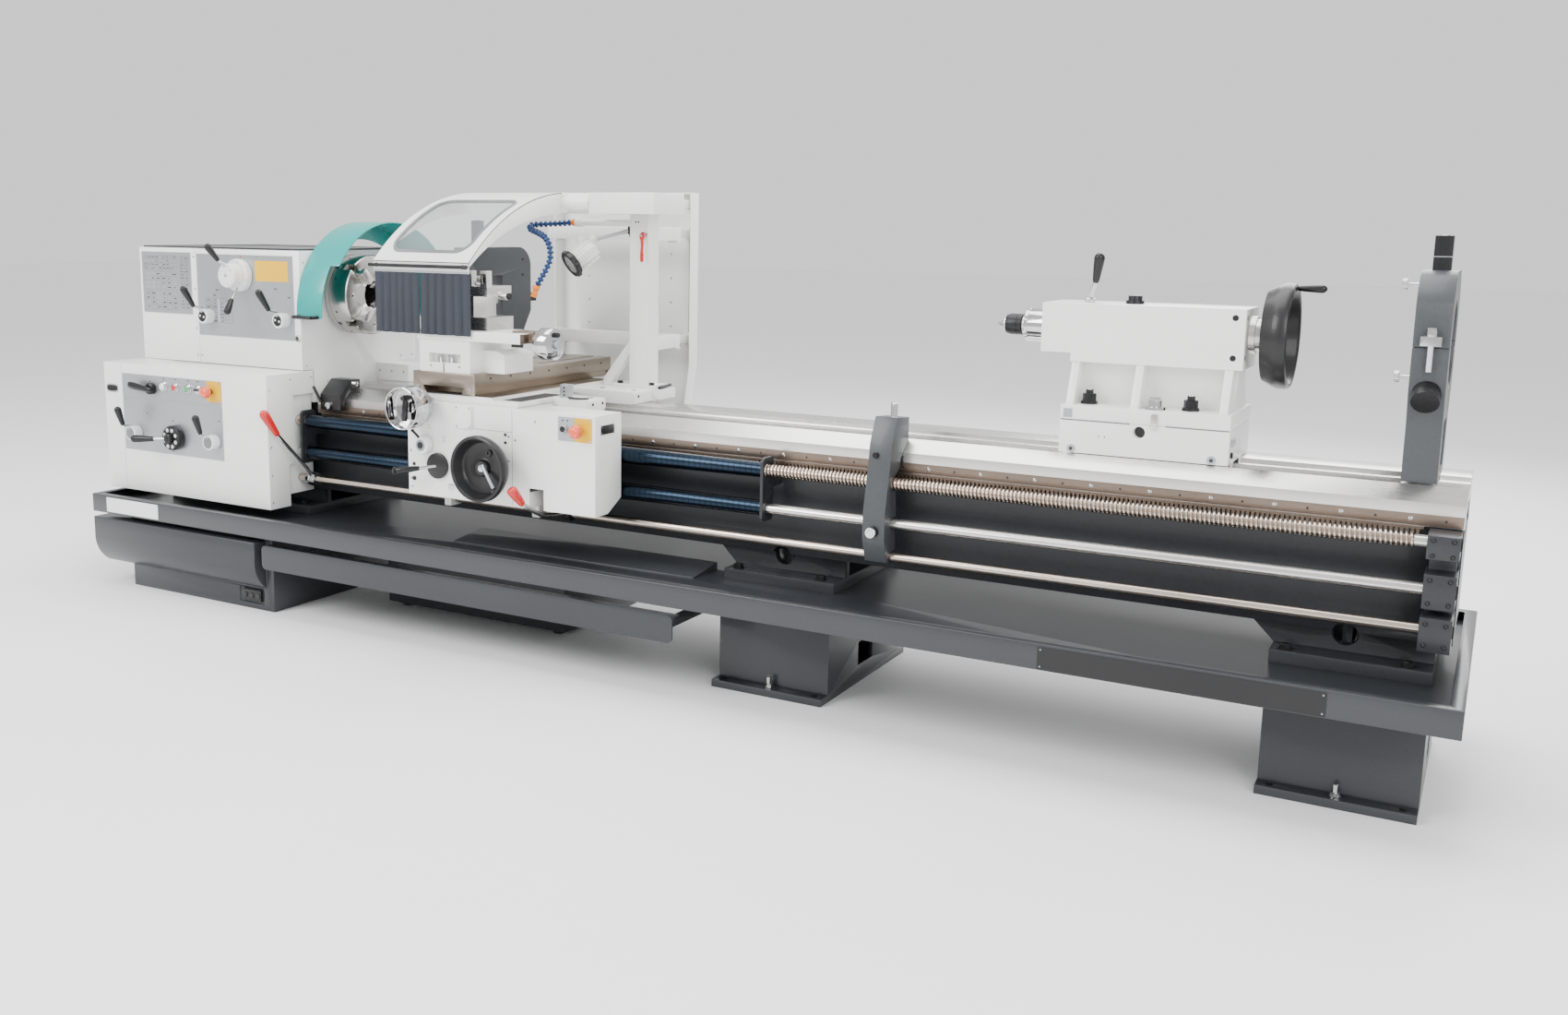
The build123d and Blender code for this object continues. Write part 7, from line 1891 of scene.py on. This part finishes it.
class LATHE_OT_lamp(LathePart, bpy.types.Operator):
    """Machine lamp: jointed arm, finned body, clipped bezel, mirror and lens."""
    bl_idname = "lathe.lamp"
    bl_label = "Work lamp"

    def execute(self, context):
        arm = Piece("lamp_arm_detailed")
        joint = Vector((at(2139), 0.240, 1.478))
        hub = Vector((at(2013), 0.165, 1.440))
        arm.turned(joint - Z * 0.024, Z, mm((0, 9), (8, 9), (9, 13), (12, 14), (34, 14), (38, 12)),
            CASTING, 32)
        ahead = (hub + Vector((0.008, 0.006, 0.002)) - joint).normalized()
        start = joint + ahead * 0.008
        length = (hub - joint).length - 0.014
        arm.turned(start, ahead, ((0, 0.0078), (0.026, 0.0078), (0.028, 0.0062), (length - 0.03,
            0.0062), (length - 0.02, 0.0078), (length, 0.0078)), ALLOY, 24)
        arm.turned(hub - X * 0.006, X, mm((0, 14), (2, 17.5), (5, 18), (21, 18), (24.5, 16), (26,
            12), (25.5, 8)), WHITE, 36)
        arm.place("lamp_arm", "white_paint", ["lamp_arm"])
        self.head(hub)
        return {"FINISHED"}

    def head(self, hub):
        tilt, turn = radians(33), radians(33)
        back = Vector((cos(tilt) * sin(turn), cos(tilt) * cos(turn), sin(tilt)))
        face = Vector((at(1989), 0.055, 1.348))
        head = Piece("lamp_head_detailed")
        # bezel with its clips
        head.turned(face, back, mm((6, 34.5), (1, 36.5), (0, 40), (0, 49.5), (2, 51), (17, 51),
            (20, 49), (21, 34)), CASTING, 64)
        right, up = sideways(back)
        for index in range(10):
            angle = tau * index / 10
            side = right * cos(angle) + up * sin(angle)
            start = face + side * 0.0495 + back * 0.001
            head.turned(start, back, mm((0, 3.5), (2, 5), (16, 5), (18, 3.5)), CASTING, 12)
        # finned body tapers towards the back and carries ribs along it
        profile = [(0.020, 0.036)]
        for index in range(9):
            base = 0.024 + 0.0098 * index
            size = 0.0445 - 0.0012 * index
            profile += [(base, 0.034), (base + 0.0006, size), (base + 0.0036, size),
                (base + 0.0042, 0.034)]
        profile += [(0.112, 0.0335), (0.1155, 0.030), (0.1165, 0.012)]
        head.turned(face, back, profile, WHITE, 48)
        for index in range(8):
            angle = tau * (index + 0.5) / 8
            side = right * cos(angle) + up * sin(angle)
            across = back.cross(side)
            turn = Matrix((across, side, back)).transposed().to_4x4()
            head.block((-0.0022, 0.028, 0.022), (0.0022, 0.0425, 0.113), WHITE, 0.0012,
                Matrix.Translation(face) @ turn)
        head.block(hub + Vector((-0.030, -0.051, -0.062)), hub + Vector((-0.008, 0.012, 0.013)),
            WHITE, 0.004)
        head.turned(hub + Vector((-0.031, -0.002, 0)), -X, mm((0, 9), (1, 9), (1, 5), (0, 4)),
            SEAL, 6)
        head.place("lamp_head", "white_paint", ["lamp_head"])
        glass = Piece("lamp_mirror")
        glass.turned(face + back * 0.0205, back * -1, mm((0, 4), (2, 12), (6, 22), (12, 32), (16.5,
            41.5)), MIRROR, 14)
        glass.turned(face + back * 0.015, back * -1, mm((0, 6), (4, 7.5), (8, 6), (10, 3)), MIRROR,
            20)
        glass.place("lamp_head", "chrome_plate", angle=12)
        lens = Piece("lamp_lens")
        lens.turned(face + back * 0.0035, back * -1, mm((0, 37), (0.8, 36.5), (2.2, 27), (2.8,
            12)), LENS, 48)
        lens.place("lamp_head", "white_paint")


# ---------------------------------------------------------------- tailstock and steady
class LATHE_OT_tailstock(LathePart, bpy.types.Operator):
    """Tailstock with its quill, live centre, handwheel and lock lever."""
    bl_idname = "lathe.tailstock"
    bl_label = "Tailstock"

    def execute(self, context):
        nuts = [(OXIDE, (at(s) - 0.034, y - 0.034, 0.9952), (at(s) + 0.034, y + 0.034,
            1.045)) for s, y in ((3957, -0.098), (4244, -0.098))]
        dressed("tailstock", WHITE, self.sizes.cast_edge, segments=3, regions=nuts + [(CHROME,
            (at(4117), -0.16, 0.9952), (at(4183), -0.088, 1.03)), (TURNED, (at(4377), -0.06, 1.15),
            (at(4411), 0.06, 1.27)), (OXIDE, (at(4020), -0.03, 1.287), (at(4080), 0.03, 1.312)),
            (GROUND, (at(4149), -0.1635, 0.939), (at(4169), -0.1585, 0.986)), (GROUND, (at(3888),
            -0.114, 0.837), (at(4366), -0.071, 0.8545)), (GROUND, (at(3888), 0.021, 0.837),
            (at(4366), 0.058, 0.8545)), (ALLOY, (at(3914), -0.163, 0.853), (at(3940), -0.1582,
            0.880)), (ALLOY, (at(4307), -0.163, 0.853), (at(4333), -0.1582, 0.880))])
        trim = Piece("tailstock_details")
        face = -0.105
        for z in (1.150, 1.262):
            trim.turned((at(4348), face - 0.0001, z), -Y, mm((0, 8.5), (0.4, 8.5), (0.6, 7.5)),
                OXIDE, 24)
            trim.turned((at(4376) + 0.0001, -0.08, z), X, mm((0, 7.5), (0.6, 7)), OXIDE, 24)
        for station in (3927, 4320):
            # painted shade: a flat black hexagon stands for a shaded hexagon recess
            trim.turned((at(station), -0.1622, 0.867), -Y, mm((0, 6), (0.3, 6)), PRINT_AND_SHADE_BLACK, 6)
        trim.turned((at(4118), -0.1342, 0.929), -Y, ((0, 0.0168), (0.001, 0.0168)), RUBBER, 28)
        for x in (at(4005), at(4022)):
            trim.turned((x, -0.1581, 0.908), -Y, mm((0, 2.2), (0.5, 2)), PRINT_AND_SHADE_BLACK, 12)
        # set-over joint lines and the small blank plate
        for x0, x1 in ((at(3893), at(4090)), (at(4190), at(4361))):
            trim.block((x0, -0.1584, 0.9495), (x1, -0.154, 0.9535), SEAL, 0)
        plate(trim, at(3899), at(3925), 0.958, 0.984, -0.158, 0.001, ALLOY, 0.001)
        # side clamp handle block at the wheel end
        trim.block((at(4364), -0.135, 0.905), (at(4364) + 0.006, -0.085, 0.926), ALLOY, 0.001)
        trim.turned((at(4364), -0.120, 0.880), X, mm((0, 9), (4, 9), (6, 7)), OXIDE, 24)
        for station in (3957, 4244):
            trim.turned((at(station), -0.098, 1.0366), Z, mm((0, 9.5), (2, 9)), GROUND, 20)
        trim.turned((at(4150), -0.122, 1.021), Z, mm((0, 18), (6, 18), (8.5, 16)), CHROME, 6)
        trim.place("tailstock", "white_paint")
        self.quill()
        self.wheel()
        self.lock()
        return {"FINISHED"}

    def quill(self):
        quill = Piece("quill_with_live_centre")
        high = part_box("quill")[1]
        nose = at(3806) - 0.073
        quill.turned((nose, 0, AXIS_Z), X, ((0.0, 0.026), (0.0, 0.0475), (0.002, 0.0498), (0.0085,
            0.0498), (0.0095, 0.0489), (0.011, 0.0498), (high.x - nose - 0.002, 0.0498),
            (high.x - nose, 0.048), (high.x - nose, 0.02)), CHROME, 72)
        quill.turned((nose, 0, AXIS_Z), -X, ((0, 0.0262), (0.011, 0.0262), (0.012, 0.029)), GROUND,
            48)
        steps = [(0.0120, 0.029), (0.014, 0.032), (0.026, 0.032), (0.0265, 0.0308), (0.0290,
            0.0308), (0.0295, 0.032), (0.050, 0.032), (0.058, 0.0300), (0.064, 0.028), (0.065,
            0.020)]
        quill.turned((nose, 0, AXIS_Z), -X, steps, OXIDE, 48)
        quill.turned((nose - 0.0645, 0, AXIS_Z), -X, mm((0, 17.8), (7.5, 17.8), (7.8, 15.2), (33.5,
            0.6)), GROUND, 48)
        quill.place("quill", "chrome_plate", ["quill"])

    def wheel(self):
        wheel = Piece("tailstock_handwheel")
        start = at(4376) + 0.038
        dished(wheel, (start, 0, AXIS_Z), X, 0.148, 0.020, 0.074, 0.032, CASTING)
        wheel.rod((at(4376) - 0.0398, 0, AXIS_Z), (start + 0.002, 0, AXIS_Z), 0.0178, GROUND, 36)
        wheel.turned((start + 0.030, 0, AXIS_Z), X, mm((0, 16), (6, 15), (8, 11)), CHROME, 32)
        top = AXIS_Z + 0.134
        wheel.turned((start + 0.060, 0, top), X, mm((0, 8.5), (12, 8.5), (14, 6.5), (18, 6.5)),
            OXIDE, 24)
        grip_on(wheel, (start + 0.074, 0, top), (start + 0.150, 0, top), 0.0118, GRIP)
        wheel.place("tail_wheel", "cast_black", ["tail_wheel"])

    def lock(self):
        lever = Piece("quill_lock_lever")
        x, z = at(3917), 1.2865
        lever.turned((x, 0, z), Z, mm((0, 15.5), (2, 16), (9, 16), (12, 12.5)), CHROME, 32)
        lever.tube([(x, 0, z + 0.006), (x + 0.012, -0.022, z + 0.033), (x + 0.025, -0.045,
            z + 0.060), (x + 0.0275, -0.0485, z + 0.072)], 0.0065, CHROME, 18)
        grip_on(lever, (x + 0.025, -0.045, z + 0.060), (x + 0.040, -0.068, z + 0.146), 0.0155,
            GRIP)
        lever.place("quill_lock", "black_moulding", ["quill_lock"])


class LATHE_OT_steady(LathePart, bpy.types.Operator):
    """Steady rest with knurled knobs, thumb screws and eyebolt."""
    bl_idname = "lathe.steady"
    bl_label = "Steady rest"

    def execute(self, context):
        left = at(4795)
        middle = left + 0.0425
        knobs = []
        for side in (-1, 1):
            out = Vector((0, side * cos(radians(32)), -sin(radians(32))))
            for reach in (0.2135, 0.236, 0.259):
                spot = Vector((middle, 0, AXIS_Z)) + out * reach
                near, far = spot - Vector((0.036,) * 3), spot + Vector((0.036,) * 3)
                # only what stands outside the ring is black
                near.y, far.y = (max(near.y, 0.1945), far.y) if side > 0 else \
                    (near.y, min(far.y, -0.1945))
                knobs.append((OXIDE, near, far))
        dressed("steady_lower", GREY, 0.007, segments=4, regions=knobs + [(CHROME, (left - 0.04,
            -0.17, 1.11), (left - 0.0002, -0.13, 1.15)), (GROUND, (left, -0.114, 0.837),
            (left + 0.086, -0.071, 0.8545)), (GROUND, (left, 0.021, 0.837), (left + 0.086, 0.058,
            0.8545))])
        dressed("steady_upper", GREY, 0.007, segments=4, regions=[(OXIDE, (left, -0.03,
            AXIS_Z + 0.1935), (left + 0.086, 0.03, 1.50)), (CHROME, (left - 0.04, -0.17, 1.34),
            (left - 0.0002, -0.13, 1.39)), (CHROME, (left + 0.02, -0.225, 1.15), (left + 0.065,
            -0.1935, 1.26))])
        lower = Piece("steady_lower_knobs")
        for side in (-1, 1):
            out = Vector((0, side * cos(radians(32)), -sin(radians(32))))
            start = Vector((middle, 0, AXIS_Z)) + out * 0.2125
            ribbed_knob(lower, start + out * 0.002, out, 0.0345, 0.044, OXIDE, 60)
            lower.turned(start + out * 0.0448, out, mm((0, 8), (1.2, 7.5), (1.6, 4)), ALLOY, 20)
            tip = Vector((middle, 0, AXIS_Z)) + out * 0.0605
            lower.turned(tip, out * -1, mm((0, 15.5), (4, 13), (6, 8)), GROUND, 28)
        ribbed_knob(lower, (left - 0.0262, -0.150, 1.130), -X, 0.0152, 0.0122, CHROME, 30)
        lower.place("steady_lower", "grey_paint")
        upper = Piece("steady_upper_details")
        ribbed_knob(upper, (left - 0.0262, -0.150, AXIS_Z + 0.158), -X, 0.0152, 0.0122, CHROME, 30)
        upper.turned((middle, 0, 1.4942), Z, mm((0, 12), (1.6, 11.5), (2, 6)), ALLOY, 28)
        upper.block((middle - 0.0224, -0.0224, 1.438), (middle + 0.0224, 0.0224, 1.4405), ALLOY,
            0.0005)
        upper.turned((middle, 0, AXIS_Z + 0.0605), -Z, mm((0, 15.5), (4, 13), (6, 8)), GROUND, 28)
        upper.hex_bolt((middle, -0.206, 1.2572), Z, 0.012, 0.008, CHROME, False)
        upper.place("steady_upper", "grey_paint")
        return {"FINISHED"}


# ---------------------------------------------------------------- panel and main
PARTS = (LATHE_OT_stage, LATHE_OT_base, LATHE_OT_ways, LATHE_OT_shafts, LATHE_OT_covers,
    LATHE_OT_headstock, LATHE_OT_plates, LATHE_OT_levers, LATHE_OT_chuck, LATHE_OT_carriage,
    LATHE_OT_slides, LATHE_OT_follow_rest, LATHE_OT_rear_guard, LATHE_OT_hood, LATHE_OT_curtain,
    LATHE_OT_lamp, LATHE_OT_tailstock, LATHE_OT_steady)


class LATHE_PT_dressing(bpy.types.Panel):
    """Lists the sizes, colours and building steps."""
    bl_idname = "LATHE_PT_dressing"
    bl_label = "Engine lathe"
    bl_space_type = "VIEW_3D"
    bl_region_type = "UI"
    bl_category = "Lathe"

    def draw(self, context):
        for group in (context.scene.lathe_colours, context.scene.lathe_sizes):
            for name in group.__annotations__:
                self.layout.prop(group, name)
        for part in PARTS:
            self.layout.operator(part.bl_idname)


def register():
    for kind in (LatheColours, LatheSizes, *PARTS, LATHE_PT_dressing):
        bpy.utils.register_class(kind)
    bpy.types.Scene.lathe_colours = bpy.props.PointerProperty(type=LatheColours)
    bpy.types.Scene.lathe_sizes = bpy.props.PointerProperty(type=LatheSizes)


def unregister():
    del bpy.types.Scene.lathe_sizes
    del bpy.types.Scene.lathe_colours
    for kind in (LATHE_PT_dressing, *reversed(PARTS), LatheSizes, LatheColours):
        bpy.utils.unregister_class(kind)


def main():
    register()
    for part in PARTS:
        group, name = part.bl_idname.split(".")
        getattr(getattr(bpy.ops, group), name)()


if __name__ == "__main__":
    main()
